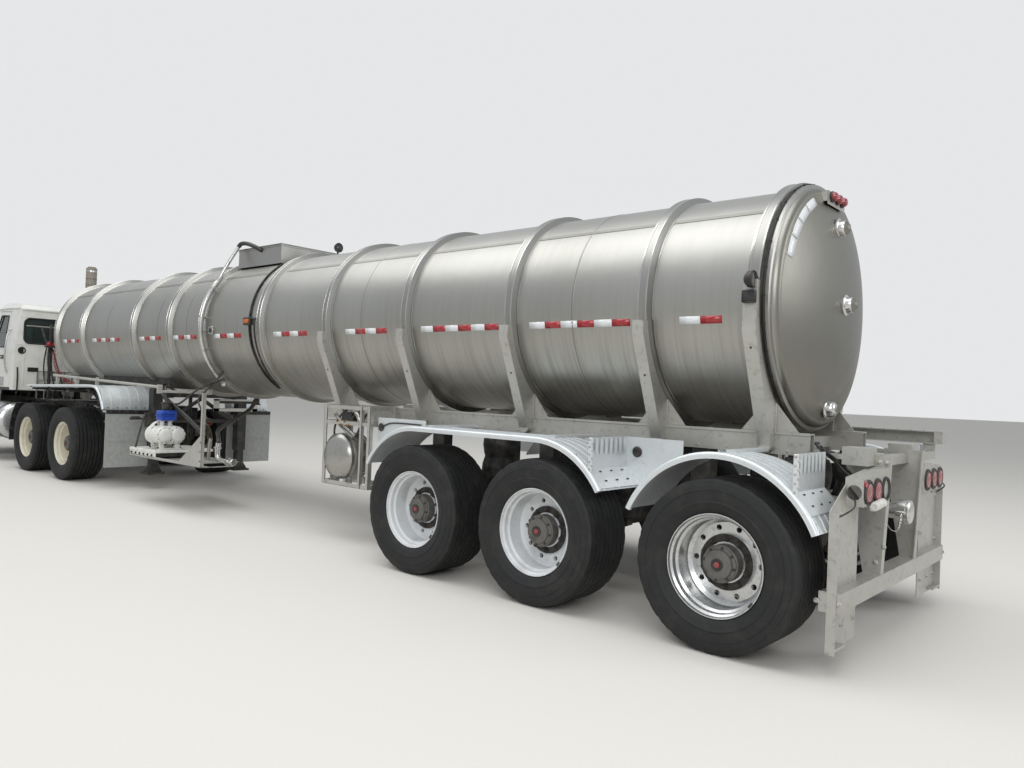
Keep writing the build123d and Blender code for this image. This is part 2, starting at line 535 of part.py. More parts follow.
# Side frames under the belly: the air tank's cage and the pump's deck
CAGE_X = (TAIL_AXLE_X + 3620, TAIL_AXLE_X + 4320)
CAGE_Z = (540, 1137)
CAGE_Y = (540, 1180)
BAR = 40
AIR_TANK_RADIUS = 215
DECK_X = (TAIL_AXLE_X + 5930, TAIL_AXLE_X + 7650)
DECK_Y = (520, 1280)
DECK_Z = 560
DECK_TOP_Z = 1330
with BuildPart() as side_frames:
    for x in CAGE_X:
        for y in CAGE_Y:
            add(block(x - BAR / 2, x + BAR / 2, y - BAR / 2, y + BAR / 2, *CAGE_Z))
        for z in CAGE_Z:
            add(block(x - BAR / 2, x + BAR / 2, *CAGE_Y, z - BAR, z))
    for y in CAGE_Y:
        for z in CAGE_Z:
            add(block(*CAGE_X, y - BAR / 2, y + BAR / 2, z - BAR, z))
    add(rod((sum(CAGE_X) / 2, CAGE_Y[0] + 40, 780), (sum(CAGE_X) / 2, CAGE_Y[1] + 40, 780),
            AIR_TANK_RADIUS))
    add(block(sum(CAGE_X) / 2 - 60, sum(CAGE_X) / 2 + 60, *CAGE_Y, CAGE_Z[0] - 20, 600))
    add(block(*DECK_X, *DECK_Y, DECK_Z, DECK_Z + 40))
    for x in (DECK_X[0] + BAR / 2, DECK_X[1] - BAR / 2):
        inner_y = DECK_Y[0] + BAR / 2
        add(block(x - BAR / 2, x + BAR / 2, inner_y - BAR / 2, inner_y + BAR / 2, DECK_Z,
                  TANK_AXIS_Z - 300))
    rear_x = DECK_X[0] + BAR / 2
    add(block(rear_x - BAR / 2, rear_x + BAR / 2, DECK_Y[1] - BAR, DECK_Y[1], DECK_Z, DECK_TOP_Z))
    add(block(rear_x - BAR / 2, rear_x + BAR / 2, *DECK_Y, DECK_TOP_Z - BAR, DECK_TOP_Z))
    add(block(*DECK_X, DECK_Y[0], DECK_Y[0] + BAR, DECK_TOP_Z - BAR, DECK_TOP_Z))
    add(block(DECK_X[0] + 440, DECK_X[1] - 30, DECK_Y[0] + 60, DECK_Y[1] - 60, DECK_Z - 34, DECK_Z))
    add(side_prism([(DECK_X[0], DECK_Z + 40), (DECK_X[0], DECK_Z + 330),
                    (DECK_X[0] + 510, DECK_Z + 40)], DECK_Y[1] - PLATE, DECK_Y[1]))
    add(rod((DECK_X[0] - 100, 0, TANK_AXIS_Z), (DECK_X[1] + 100, 0, TANK_AXIS_Z),
            TANK_RADIUS + SKIN_GAP), mode=Mode.SUBTRACT)
keep(side_frames, "side_frames")

# The front subframe's beams, which the legs' braces are bolted to
BEAM_Y = 480
BEAM_WIDTH = 60
SUBFRAME_REAR_X = TAIL_AXLE_X + 8300

# Landing gear, wound up: two square legs with feet, a cross tube and braces
LEG_X = TAIL_AXLE_X + 8450
LEG_Y = 620
FOOT_Z = 190
with BuildPart() as landing_gear:
    for _, side in SIDES:
        leg_y = side * LEG_Y
        add(block(LEG_X - 65, LEG_X + 65, leg_y - 65, leg_y + 65, 480, 1330))
        add(block(LEG_X - 50, LEG_X + 50, leg_y - 50, leg_y + 50, FOOT_Z, 480))
        with BuildSketch(Plane.XY.offset(FOOT_Z)):
            with Locations((LEG_X, leg_y)):
                Rectangle(230, 230)
        extrude(amount=25)
        add(cross_prism([(leg_y - 110, FOOT_Z + 20), (leg_y + 110, FOOT_Z + 20),
                         (leg_y + 52, FOOT_Z + 110), (leg_y - 52, FOOT_Z + 110)],
                        LEG_X - 60, LEG_X + 60))
        add(side_prism([(LEG_X + 60, 700), (LEG_X + 60, 620), (LEG_X + 420, COUPLER_Z + 15),
                        (LEG_X + 340, COUPLER_Z + 15)], leg_y - 66, leg_y - 58))
        add(block(LEG_X + 330, LEG_X + 430, *sorted((side * (BEAM_Y + 30), leg_y + 40)),
                  COUPLER_Z + 14, COUPLER_Z + 22))
    add(rod((LEG_X, -LEG_Y, 900), (LEG_X, LEG_Y, 900), 30))
    for side in (-1, 1):
        add(cross_prism([(side * 560, 880), (side * 560, 820), (0, 1180), (0, 1240)],
                        LEG_X - 45, LEG_X - 37))
    add(block(LEG_X - 73, LEG_X - 65, -850, -170, 1040, 1210))
    add(block(LEG_X - 80, LEG_X - 60, -770, -250, 1085, 1150), mode=Mode.SUBTRACT)
    add(block(LEG_X - 60, LEG_X + 60, LEG_Y + 60, LEG_Y + 110, 820, 1010))
    add(rod((LEG_X, LEG_Y + 100, 930), (LEG_X, LEG_Y + 330, 930), 14))
    add(rod((LEG_X, LEG_Y + 320, 930), (LEG_X - 240, LEG_Y + 320, 960), 12))
    add(rod((LEG_X - 235, LEG_Y + 310, 960), (LEG_X - 235, LEG_Y + 420, 960), 12))
keep(landing_gear, "landing_gear")

# Upper coupler: bottom plate with the kingpin, and the box beams up to the tank
KINGPIN = (KINGPIN_X, 0, COUPLER_Z)
with BuildPart() as upper_coupler:
    add(block(KINGPIN_X - 620, KINGPIN_X + 760, -560, 560, COUPLER_Z, COUPLER_Z + COUPLER_THICKNESS))
    for beam_y, beam_rear in ((BEAM_Y, SUBFRAME_REAR_X), (BEAM_Y / 3, KINGPIN_X - 600)):
        for _, side in SIDES:
            with BuildSketch(Plane(origin=(beam_rear, 0, 0), x_dir=(0, 1, 0), z_dir=(1, 0, 0))):
                with Locations((side * beam_y, COUPLER_Z + COUPLER_THICKNESS)):
                    Rectangle(BEAM_WIDTH, 300, align=(Align.CENTER, Align.MIN))
                with Locations((0, TANK_AXIS_Z)):
                    Circle(TANK_RADIUS + SKIN_GAP, mode=Mode.SUBTRACT)
            extrude(amount=KINGPIN_X + 700 - beam_rear)
    add(block(SUBFRAME_REAR_X, SUBFRAME_REAR_X + 80, -BEAM_Y, BEAM_Y, COUPLER_Z + 20, COUPLER_Z + 80))
    for _, side in SIDES:
        add(block(LEG_X - 60, LEG_X + 60, *sorted((side * BEAM_Y, side * (LEG_Y - 65))),
                  COUPLER_Z + 20, COUPLER_Z + 120))
    for step in RING_STEPS[-3:]:
        ring_x = TAIL_AXLE_X + step
        half = RING_BASE / 2 + SKIN_GAP
        add(rod((ring_x - half, 0, TANK_AXIS_Z), (ring_x + half, 0, TANK_AXIS_Z),
                RING_RADIUS + SKIN_GAP), mode=Mode.SUBTRACT)
    add(block(KINGPIN_X + 700, KINGPIN_X + 809.7, 364, 509, COUPLER_Z, COUPLER_Z + 20))
    add(block(KINGPIN_X + 790, KINGPIN_X + 809.7, 364, 509, COUPLER_Z, 1340))
    add(rod(KINGPIN, (KINGPIN_X, 0, COUPLER_Z - KINGPIN_LENGTH), KINGPIN_RADIUS))
    add(rod((KINGPIN_X, 0, COUPLER_Z - 58), (KINGPIN_X, 0, COUPLER_Z - KINGPIN_LENGTH), 35.7))
keep(upper_coupler, "upper_coupler")

# Front wings: a flat shelf each side over the drive wheels, rolled down behind them
WING_FRONT_X = TAIL_AXLE_X + 11470
WING_KNEE = (TAIL_AXLE_X + 8950, 1347)
WING_REAR = (TAIL_AXLE_X + 8680, 1030)
WING_FRONT_Z = 1290
WING_SHEET = 8
WING_Y = (BEAM_Y + BEAM_WIDTH / 2, 1200)
WING_RIB_YS = (600, 720, 840, 960, 1080)
knee_drop = WING_KNEE[1] - WING_REAR[1]
knee_run = WING_KNEE[0] - WING_REAR[0]
WING_RADIUS = (knee_drop ** 2 + knee_run ** 2) / (2 * knee_drop)
WING_CURL = asin(knee_run / WING_RADIUS) if knee_drop < WING_RADIUS else radians(180) - asin(
    knee_run / WING_RADIUS)


def wing_sheet(rise, sheet, y_one, y_two):
    """The wing's sheet: level, then rolled down behind, rise above its own top face."""
    centre_z = WING_KNEE[1] - WING_RADIUS

    def rolled(radius, angle):
        return WING_KNEE[0] - radius * sin(angle), centre_z + radius * cos(angle)

    outer, inner = WING_RADIUS + rise, WING_RADIUS + rise - sheet
    with BuildPart() as piece:
        with BuildSketch(Plane(origin=(0, max(y_one, y_two), 0), x_dir=(1, 0, 0), z_dir=(0, -1, 0))):
            with BuildLine():
                Line((WING_FRONT_X, WING_FRONT_Z + rise), rolled(outer, 0))
                ThreePointArc(rolled(outer, 0), rolled(outer, WING_CURL / 2), rolled(outer, WING_CURL))
                Line(rolled(outer, WING_CURL), rolled(inner, WING_CURL))
                ThreePointArc(rolled(inner, WING_CURL), rolled(inner, WING_CURL / 2), rolled(inner, 0))
                Line(rolled(inner, 0), (WING_FRONT_X, WING_FRONT_Z + rise - sheet))
                Line((WING_FRONT_X, WING_FRONT_Z + rise - sheet), (WING_FRONT_X, WING_FRONT_Z + rise))
            make_face()
        extrude(amount=abs(y_two - y_one))
    return piece.part


with BuildPart() as front_wings:
    for _, side in SIDES:
        add(wing_sheet(0, WING_SHEET, side * WING_Y[0], side * WING_Y[1]))
        add(wing_sheet(0, 30, side * (WING_Y[1] - 8), side * WING_Y[1]))
        for rib_y in WING_RIB_YS:
            add(wing_sheet(5, 8, side * rib_y, side * (rib_y + 16)))
keep(front_wings, "front_wings")

# Splash panels: flat sheets that hang behind the tractor's wheels
PANEL_X = TAIL_AXLE_X + 8580
with BuildPart() as splash_panels:
    for _, side in SIDES:
        panel_y = sorted((side * 500, side * 1200))
        add(block(PANEL_X, PANEL_X + 8, *panel_y, 290, WING_REAR[1]))
        add(block(PANEL_X, WING_REAR[0] + 12, *panel_y, WING_REAR[1] - 30, WING_REAR[1]))
    add(front_wings.part, mode=Mode.SUBTRACT)
    add(landing_gear.part, mode=Mode.SUBTRACT)
keep(splash_panels, "splash_panels")

# Pump: a white two-lobed body along the truck, a domed cover on its face, a blue box on its neck
PUMP_X = TAIL_AXLE_X + 6985
PUMP_Y = 1080
PUMP_Z = 805
LOBE_SPREAD = 75
LOBE_RADIUS = 112
with BuildPart() as pump:
    for side in (-1, 1):
        lobe = (PUMP_X, PUMP_Y + side * LOBE_SPREAD, PUMP_Z)
        add(turned_x([(0, 0), (0, 70), (18, 92), (40, 92), (40, LOBE_RADIUS), (330, LOBE_RADIUS),
                      (350, 90), (420, 55), (455, 0)], lobe))
    add(block(PUMP_X + 40, PUMP_X + 330, PUMP_Y - LOBE_SPREAD, PUMP_Y + LOBE_SPREAD,
              PUMP_Z - LOBE_RADIUS, PUMP_Z + LOBE_RADIUS))
    for foot_x in (PUMP_X + 70, PUMP_X + 270):
        add(block(foot_x, foot_x + 40, PUMP_Y - 150, PUMP_Y + 150, DECK_Z + 40, PUMP_Z - 60))
    add(rod((PUMP_X + 185, PUMP_Y, PUMP_Z + 80), (PUMP_X + 185, PUMP_Y, PUMP_Z + 175), 62))
    with BuildSketch(Plane.XY.offset(PUMP_Z + 165)):
        with Locations((PUMP_X + 185, PUMP_Y)):
            SlotOverall(300, 165, rotation=90)
    extrude(amount=125)
    add(rod((PUMP_X + 185, PUMP_Y, PUMP_Z + 290), (PUMP_X + 185, PUMP_Y, PUMP_Z + 400), 58))
keep(pump, "pump")

# Pipework: the side line with its adaptor, the rear outlet, and the overflow pipe down the barrel
ADAPTOR_RADIUS = 45.7
ADAPTOR_LENGTH = 60
ADAPTOR_X = TAIL_AXLE_X + 5560
PIPE_RADIUS = 38
PIPE_Y = 1000
PIPE_Z = DECK_Z - 38
OUTLET_Z = 800
OVERFLOW_RADIUS = 24
OVERFLOW_CLIP_ANGLES = (48, 14, -20, -44)
OUTLET_X = TAIL_AXLE_X + 130
OVERFLOW_X = TAIL_AXLE_X + RING_STEPS[6] - 105
with BuildPart() as pipework:
    add(rod((ADAPTOR_X, PIPE_Y, PIPE_Z), (ADAPTOR_X + ADAPTOR_LENGTH, PIPE_Y, PIPE_Z),
            ADAPTOR_RADIUS))
    add(rod((ADAPTOR_X + ADAPTOR_LENGTH, PIPE_Y, PIPE_Z), (DECK_X[0] + 420, PIPE_Y, PIPE_Z),
            PIPE_RADIUS))
    for flange_x in (ADAPTOR_X + 90, DECK_X[0] - 60):
        add(rod((flange_x, PIPE_Y, PIPE_Z), (flange_x + 20, PIPE_Y, PIPE_Z), 66))
    add(rod((DECK_X[0] - 120, PIPE_Y, PIPE_Z), (DECK_X[0] - 120, PIPE_Y, 860), PIPE_RADIUS - 4))
    add(rod((DECK_X[0] - 120, PIPE_Y + 38, 855), (DECK_X[0] - 120, 0, 980), PIPE_RADIUS))
    add(rod((DECK_X[0] - 120, 0, 940), (DECK_X[0] - 120, 0, TANK_AXIS_Z - TANK_RADIUS), 60))
    add(rod((OUTLET_X, 0, OUTLET_Z - 60), (OUTLET_X, 0, TANK_AXIS_Z - TANK_RADIUS), 62))
    add(rod((OUTLET_X, 0, OUTLET_Z), (TAIL_AXLE_X - 660, 0, OUTLET_Z), 52))
    add(rod((TAIL_AXLE_X - 660, 0, OUTLET_Z), (TRAILER_TAIL_X, 0, OUTLET_Z), 78))
    overflow = OVERFLOW_RADIUS + TANK_RADIUS + 12
    add(rod((DECK_X[0] - 200, 0, TANK_AXIS_Z), (DECK_X[1] + 200, 0, TANK_AXIS_Z),
            TANK_RADIUS + SKIN_GAP), mode=Mode.SUBTRACT)
    add(rod((OUTLET_X - 100, 0, TANK_AXIS_Z), (OUTLET_X + 100, 0, TANK_AXIS_Z),
            TANK_RADIUS + SKIN_GAP), mode=Mode.SUBTRACT)
    with BuildLine() as overflow_path:
        ThreePointArc(
            (OVERFLOW_X, overflow * cos(radians(56)), TANK_AXIS_Z + overflow * sin(radians(56))),
            (OVERFLOW_X, overflow * cos(radians(10)), TANK_AXIS_Z + overflow * sin(radians(10))),
            (OVERFLOW_X, overflow * cos(radians(-48)), TANK_AXIS_Z + overflow * sin(radians(-48))))
    with BuildSketch(Plane(origin=overflow_path.edges()[0] @ 0, z_dir=overflow_path.edges()[0] % 0)):
        Circle(OVERFLOW_RADIUS)
    sweep(path=overflow_path.wires()[0])
    for angle in OVERFLOW_CLIP_ANGLES:
        spoke = (cos(radians(angle)), sin(radians(angle)))
        add(rod(*((OVERFLOW_X, reach * spoke[0], TANK_AXIS_Z + reach * spoke[1])
                  for reach in (TANK_RADIUS + SKIN_GAP, overflow)), 14))
keep(pipework, "pipework")

# Spill box round the manway, with its lid
BOX_X = (TAIL_AXLE_X + 5900, TAIL_AXLE_X + 6820)
BOX_HALF = 430
BOX_TOP_Z = 3070
BOX_WALL = 6
BOX_BASE_Z = 2850
with BuildPart() as spill_box:
    with BuildSketch(Plane.XY.offset(BOX_BASE_Z)):
        with Locations((sum(BOX_X) / 2, 0)):
            Rectangle(BOX_X[1] - BOX_X[0], 2 * BOX_HALF)
            Rectangle(BOX_X[1] - BOX_X[0] - 2 * BOX_WALL, 2 * (BOX_HALF - BOX_WALL),
                      mode=Mode.SUBTRACT)
    extrude(amount=BOX_TOP_Z - BOX_BASE_Z)
    manway = (sum(BOX_X) / 2 + 60, 0)
    add(rod((*manway, BOX_BASE_Z), (*manway, 2985), 255))
    add(rod((*manway, 2985), (*manway, 3005), 290))
    add(rod((*manway, 3000), (*manway, 3032), 200))
    for vent_y in (-250, 250):
        add(rod((BOX_X[0] + 130, vent_y, BOX_BASE_Z), (BOX_X[0] + 130, vent_y, 2990), 55))
        add(rod((BOX_X[0] + 130, vent_y, 2985), (BOX_X[0] + 130, vent_y, 3030), 75))
    add(block(BOX_X[0], BOX_X[1], -BOX_HALF - 24, -BOX_HALF + 1, BOX_TOP_Z - 40, BOX_TOP_Z - 16))
    add(rod((BOX_X[0] - 50, 0, TANK_AXIS_Z), (BOX_X[1] + 50, 0, TANK_AXIS_Z),
            TANK_RADIUS + SKIN_GAP), mode=Mode.SUBTRACT)
    for ring_step in RING_STEPS[5:7]:
        ring_x = TAIL_AXLE_X + ring_step
        half = RING_BASE / 2 + SKIN_GAP
        add(rod((ring_x - half, 0, TANK_AXIS_Z), (ring_x + half, 0, TANK_AXIS_Z),
                RING_RADIUS + SKIN_GAP), mode=Mode.SUBTRACT)
keep(spill_box, "spill_box")

with BuildPart() as spill_box_lid:
    add(block(BOX_X[0] - 10, BOX_X[1] + 10, -BOX_HALF - 10, BOX_HALF + 10, BOX_TOP_Z + 0.5,
              BOX_TOP_Z + 8.5))
keep(spill_box_lid, "spill_box_lid")

# Tractor frame: two channel rails, cross members, the deck plate and the hose mast
FRAME_BOTTOM_Z = FRAME_TOP_Z - FRAME_HEIGHT
DECK_PLATE_X = (4180, 5080)
MAST = (4725, 664)
MAST_TOP_Z = 2280
HOSE_TOP_Z = 1905
with BuildPart() as tractor_frame:
    for _, side in SIDES:
        inner = FRAME_HALF_WIDTH - FRAME_FLANGE
        web = FRAME_HALF_WIDTH - FRAME_WEB
        channel = [(FRAME_HALF_WIDTH, FRAME_TOP_Z), (FRAME_HALF_WIDTH, FRAME_BOTTOM_Z),
                   (inner, FRAME_BOTTOM_Z), (inner, FRAME_BOTTOM_Z + FRAME_WEB),
                   (web, FRAME_BOTTOM_Z + FRAME_WEB), (web, FRAME_TOP_Z - FRAME_WEB),
                   (inner, FRAME_TOP_Z - FRAME_WEB), (inner, FRAME_TOP_Z)]
        add(cross_prism([(side * y, z) for y, z in channel], FRAME_REAR_X, FRAME_FRONT_X))
    for x in (FRAME_REAR_X, 2700, 3650, 5000, FRAME_FRONT_X - 60):
        add(block(x, x + 60, -web, web, FRAME_BOTTOM_Z + 30, FRAME_TOP_Z - 30))
    add(block(*DECK_PLATE_X, -720, 720, FRAME_TOP_Z, FRAME_TOP_Z + 6))
    add(rod((*MAST, FRAME_TOP_Z), (*MAST, MAST_TOP_Z), 25))
    add(block(MAST[0] - 105, MAST[0], MAST[1] - 70, MAST[1] + 90, HOSE_TOP_Z, HOSE_TOP_Z + 30))
    for x in (CAB_REAR_X + 60, CAB_REAR_X + 1200):
        for _, side in SIDES:
            add(block(x, x + 90, *sorted((side * inner, side * FRAME_HALF_WIDTH)),
                      FRAME_TOP_Z, CAB_FLOOR_Z))
keep(tractor_frame, "tractor_frame")

# Fifth wheel: a greased plate with a throat behind the jaw bore, on two saddle brackets
THROAT_REACH = 470
with BuildPart() as fifth_wheel:
    plate_top = COUPLER_Z - PLATE_GAP
    with BuildSketch(Plane.XY.offset(plate_top - 45)):
        with BuildLine():
            Polyline([(KINGPIN_X + 400, -300), (KINGPIN_X + 400, 300), (KINGPIN_X + 150, 460),
                      (KINGPIN_X - 250, 460), (KINGPIN_X - 480, 300), (KINGPIN_X - THROAT_REACH, 180),
                      (KINGPIN_X - 100, 40), (KINGPIN_X - 100, -40),
                      (KINGPIN_X - THROAT_REACH, -180), (KINGPIN_X - 480, -300),
                      (KINGPIN_X - 250, -460), (KINGPIN_X + 150, -460)], close=True)
        make_face()
        with Locations((KINGPIN_X, 0)):
            Circle(KINGPIN_RADIUS + PIN_CLEARANCE, mode=Mode.SUBTRACT)
    extrude(amount=45)
    for _, side in SIDES:
        foot_y = sorted((side * 330, side * FRAME_HALF_WIDTH))
        add(block(KINGPIN_X - 140, KINGPIN_X + 140, *foot_y, FRAME_TOP_Z, plate_top - 45))
keep(fifth_wheel, "fifth_wheel")

# Drive axles: housings with a round gear case, spindles, and the prop shaft
with BuildPart() as drive_axles:
    for step in DRIVE_AXLE_STEPS:
        axle_x = KINGPIN_X + step
        tube_half = DRIVE_WHEEL_Y - 160
        spindle_half = DRIVE_WHEEL_Y + SPINDLE_DEPTH - SPINDLE_END_GAP
        add(rod((axle_x, -tube_half, AXLE_Z), (axle_x, tube_half, AXLE_Z), 75))
        add(rod((axle_x, -spindle_half, AXLE_Z), (axle_x, spindle_half, AXLE_Z), SPINDLE_RADIUS))
        add(rod((axle_x - 130, 0, AXLE_Z), (axle_x + 160, 0, AXLE_Z), 210))
        for _, side in SIDES:
            spring_y = side * (FRAME_HALF_WIDTH + 100)
            add(block(axle_x - 230, axle_x + 60, spring_y - 50, spring_y + 50, AXLE_Z + 40,
                      AXLE_Z + 100))
            add(rod((axle_x - 150, spring_y, AXLE_Z + 90), (axle_x - 150, spring_y, 900), 95))
            add(block(axle_x - 220, axle_x - 80, *sorted((side * FRAME_HALF_WIDTH, spring_y)),
                      860, 900))
    add(rod((KINGPIN_X + DRIVE_AXLE_STEPS[0], 0, AXLE_Z), (KINGPIN_X + DRIVE_AXLE_STEPS[1], 0,
            AXLE_Z), 50))
    add(rod((KINGPIN_X + DRIVE_AXLE_STEPS[1], 0, AXLE_Z), (5895, 0, 720), 50))
keep(drive_axles, "drive_axles")

# Front axle: a dropped beam on leaf springs, with a kingpin in each end
KNUCKLE_Y = 880
PIN_RADIUS = 22
BOSS_RADIUS = 45
BOSS_HALF = 50
PIN_HALF = 108
with BuildPart() as front_axle:
    add(block(STEER_AXLE_X - 50, STEER_AXLE_X + 50, -620, 620, 390, 470))
    for _, side in SIDES:
        knuckle = (STEER_AXLE_X, side * KNUCKLE_Y)
        add(block(STEER_AXLE_X - 45, STEER_AXLE_X + 45, *sorted((side * 600, side * 700)), 390, 540))
        add(block(STEER_AXLE_X - 40, STEER_AXLE_X + 40, *sorted((side * 690, side * KNUCKLE_Y)),
                  AXLE_Z - 40, AXLE_Z + 40))
        add(rod((*knuckle, AXLE_Z - BOSS_HALF), (*knuckle, AXLE_Z + BOSS_HALF), BOSS_RADIUS))
        add(rod((*knuckle, AXLE_Z - PIN_HALF), (*knuckle, AXLE_Z + PIN_HALF), PIN_RADIUS))
        spring_y = side * 480
        add(block(STEER_AXLE_X - 480, STEER_AXLE_X + 480, spring_y - 40, spring_y + 40, 470, 520))
        for x in (STEER_AXLE_X - 480, STEER_AXLE_X + 400):
            add(block(x, x + 60, *sorted((side * FRAME_HALF_WIDTH, side * 520)), 500, 860))
keep(front_axle, "front_axle")

# Steering knuckles: two ears round the kingpin, a web outside the eye, and the spindle
for side_name, side in SIDES:
    with BuildPart() as steering_knuckle:
        spindle_end = STEER_WHEEL_Y + SPINDLE_DEPTH - SPINDLE_END_GAP
        for z_low in (AXLE_Z - PIN_HALF, AXLE_Z + BOSS_HALF + 5):
            add(block(STEER_AXLE_X - 45, STEER_AXLE_X + 45,
                      *sorted((side * (KNUCKLE_Y - 45), side * (KNUCKLE_Y + 60))),
                      z_low, z_low + PIN_HALF - BOSS_HALF - 5))
        add(block(STEER_AXLE_X - 45, STEER_AXLE_X + 45,
                  *sorted((side * (KNUCKLE_Y + 55), side * (KNUCKLE_Y + 95))),
                  AXLE_Z - PIN_HALF, AXLE_Z + PIN_HALF))
        add(rod((STEER_AXLE_X, side * (KNUCKLE_Y + 60), AXLE_Z),
                (STEER_AXLE_X, side * spindle_end, AXLE_Z), SPINDLE_RADIUS))
        add(block(STEER_AXLE_X - 230, STEER_AXLE_X - 30,
                  *sorted((side * (KNUCKLE_Y - 40), side * (KNUCKLE_Y + 10))),
                  AXLE_Z - PIN_HALF, AXLE_Z - BOSS_HALF - 5))
        add(rod((STEER_AXLE_X, side * KNUCKLE_Y, AXLE_Z - 200),
                (STEER_AXLE_X, side * KNUCKLE_Y, AXLE_Z + 200), PIN_RADIUS + PIN_CLEARANCE),
            mode=Mode.SUBTRACT)
    keep(steering_knuckle, f"steering_knuckle_{side_name}")

# Engine and gearbox: one plain mass between the rails
with BuildPart() as engine:
    add(block(6560, 7720, -320, 320, 690, 1470))
    add(block(6900, 7050, FRAME_WEB - FRAME_HALF_WIDTH, FRAME_HALF_WIDTH - FRAME_WEB, 850, 950))
    add(block(5900, 6560, -200, 200, 640, 1080))
keep(engine, "engine")

# Cab: one hollow form, from which the shell, the doors and the glass are cut
CAB_FRONT_X = CAB_REAR_X + CAB_LENGTH


def cab_form(inset):
    """The cab's outer form drawn in by inset on every face."""
    side_outline = [(CAB_REAR_X, CAB_FLOOR_Z), (CAB_REAR_X, CAB_ROOF_Z - 110),
                    (CAB_REAR_X + 90, CAB_ROOF_Z - 40), (CAB_REAR_X + 950, CAB_ROOF_Z + 40),
                    (CAB_REAR_X + 1060, CAB_ROOF_Z - 20), (CAB_FRONT_X, WAIST_Z + 30),
                    (CAB_FRONT_X, CAB_FLOOR_Z)]
    front_outline = [(CAB_HALF_WIDTH, CAB_FLOOR_Z), (CAB_HALF_WIDTH, WAIST_Z),
                     (CAB_ROOF_HALF_WIDTH + 20, CAB_ROOF_Z - 90),
                     (CAB_ROOF_HALF_WIDTH - 60, CAB_ROOF_Z + 20), (0, CAB_ROOF_Z + 60)]
    front_outline += [(-y, z) for y, z in reversed(front_outline[:-1])]
    with BuildPart() as form:
        with BuildSketch(Plane(origin=(0, CAB_HALF_WIDTH, 0), x_dir=(1, 0, 0), z_dir=(0, -1, 0))):
            with BuildLine():
                Polyline(side_outline, close=True)
            make_face()
            if inset:
                offset(amount=-inset, kind=Kind.INTERSECTION)
        extrude(amount=2 * CAB_HALF_WIDTH)
        with BuildSketch(Plane(origin=(CAB_REAR_X, 0, 0), x_dir=(0, 1, 0), z_dir=(1, 0, 0))):
            with BuildLine():
                Polyline(front_outline, close=True)
            make_face()
            if inset:
                offset(amount=-inset, kind=Kind.INTERSECTION)
        extrude(amount=CAB_LENGTH, mode=Mode.INTERSECT)
    return form.part


HINGE_X = CAB_FRONT_X - 95
HINGE_RADIUS = 12
HINGE_PIN_RADIUS = 6
HINGE_Y = CAB_HALF_WIDTH + HINGE_RADIUS + 2
HINGE_HEIGHTS = (1360, 1720)
HINGE_HALF = 25
DOOR_OUTLINE = [(CAB_REAR_X + 450, CAB_FLOOR_Z + 60), (CAB_REAR_X + 450, CAB_ROOF_Z - 150),
                (CAB_REAR_X + 955, CAB_ROOF_Z - 130), (CAB_FRONT_X - 95, WAIST_Z + 10),
                (CAB_FRONT_X - 95, CAB_FLOOR_Z + 60)]
DOOR_WINDOW = [(CAB_REAR_X + 530, WAIST_Z + 50), (CAB_REAR_X + 530, CAB_ROOF_Z - 220),
               (CAB_REAR_X + 905, CAB_ROOF_Z - 205), (CAB_FRONT_X - 200, WAIST_Z + 50)]
REAR_WINDOW_Z = (1970, 2380)
REAR_WINDOW_WIDTH = 1860
GLASS_INSET = 20
GLASS = 6


def rear_window(shrink=0):
    """The rear window's opening, as a plug through the wall."""
    with BuildPart() as plug:
        with BuildSketch(Plane(origin=(CAB_REAR_X - 20, 0, 0), x_dir=(0, 1, 0), z_dir=(1, 0, 0))):
            with Locations((0, sum(REAR_WINDOW_Z) / 2)):
                RectangleRounded(REAR_WINDOW_WIDTH - 2 * shrink,
                                 REAR_WINDOW_Z[1] - REAR_WINDOW_Z[0] - 2 * shrink, 90 - shrink)
        extrude(amount=CAB_WALL + 40)
    return plug.part


def windscreen(shrink=0):
    """The windscreen's opening, as a plug through the sloping front wall."""
    return cross_prism([(shrink - 900, WAIST_Z + 90 + shrink), (900 - shrink, WAIST_Z + 90 + shrink),
                        (830 - shrink, CAB_ROOF_Z - 100 - shrink),
                        (shrink - 830, CAB_ROOF_Z - 100 - shrink)],
                       CAB_FRONT_X - 430, CAB_FRONT_X + 10)


outer_form = cab_form(0)
inner_form = cab_form(CAB_WALL)
with BuildPart() as cab:
    add(outer_form)
    add(inner_form, mode=Mode.SUBTRACT)
    add(side_prism(DOOR_OUTLINE, -CAB_HALF_WIDTH - 50, CAB_HALF_WIDTH + 50), mode=Mode.SUBTRACT)
    add(rear_window(), mode=Mode.SUBTRACT)
    add(windscreen(), mode=Mode.SUBTRACT)
    for _, side in SIDES:
        for z in HINGE_HEIGHTS:
            add(rod((HINGE_X, side * HINGE_Y, z - HINGE_HALF), (HINGE_X, side * HINGE_Y,
                    z + HINGE_HALF + 20), HINGE_PIN_RADIUS))
            add(block(HINGE_X - HINGE_PIN_RADIUS, HINGE_X + 50,
                      *sorted((side * (CAB_HALF_WIDTH - 5), side * (HINGE_Y + HINGE_PIN_RADIUS))),
                      z + HINGE_HALF + 4, z + HINGE_HALF + 20))
keep(cab, "cab")

# Fixed glass: the windscreen in its slope and the wide rear window
glass_outer = cab_form(GLASS_INSET)
glass_inner = cab_form(GLASS_INSET + GLASS)
with BuildPart() as windows:
    add(rear_window(SKIN_GAP))
    add(windscreen(SKIN_GAP))
    add(glass_outer, mode=Mode.INTERSECT)
    add(glass_inner, mode=Mode.SUBTRACT)
keep(windows, "windows")

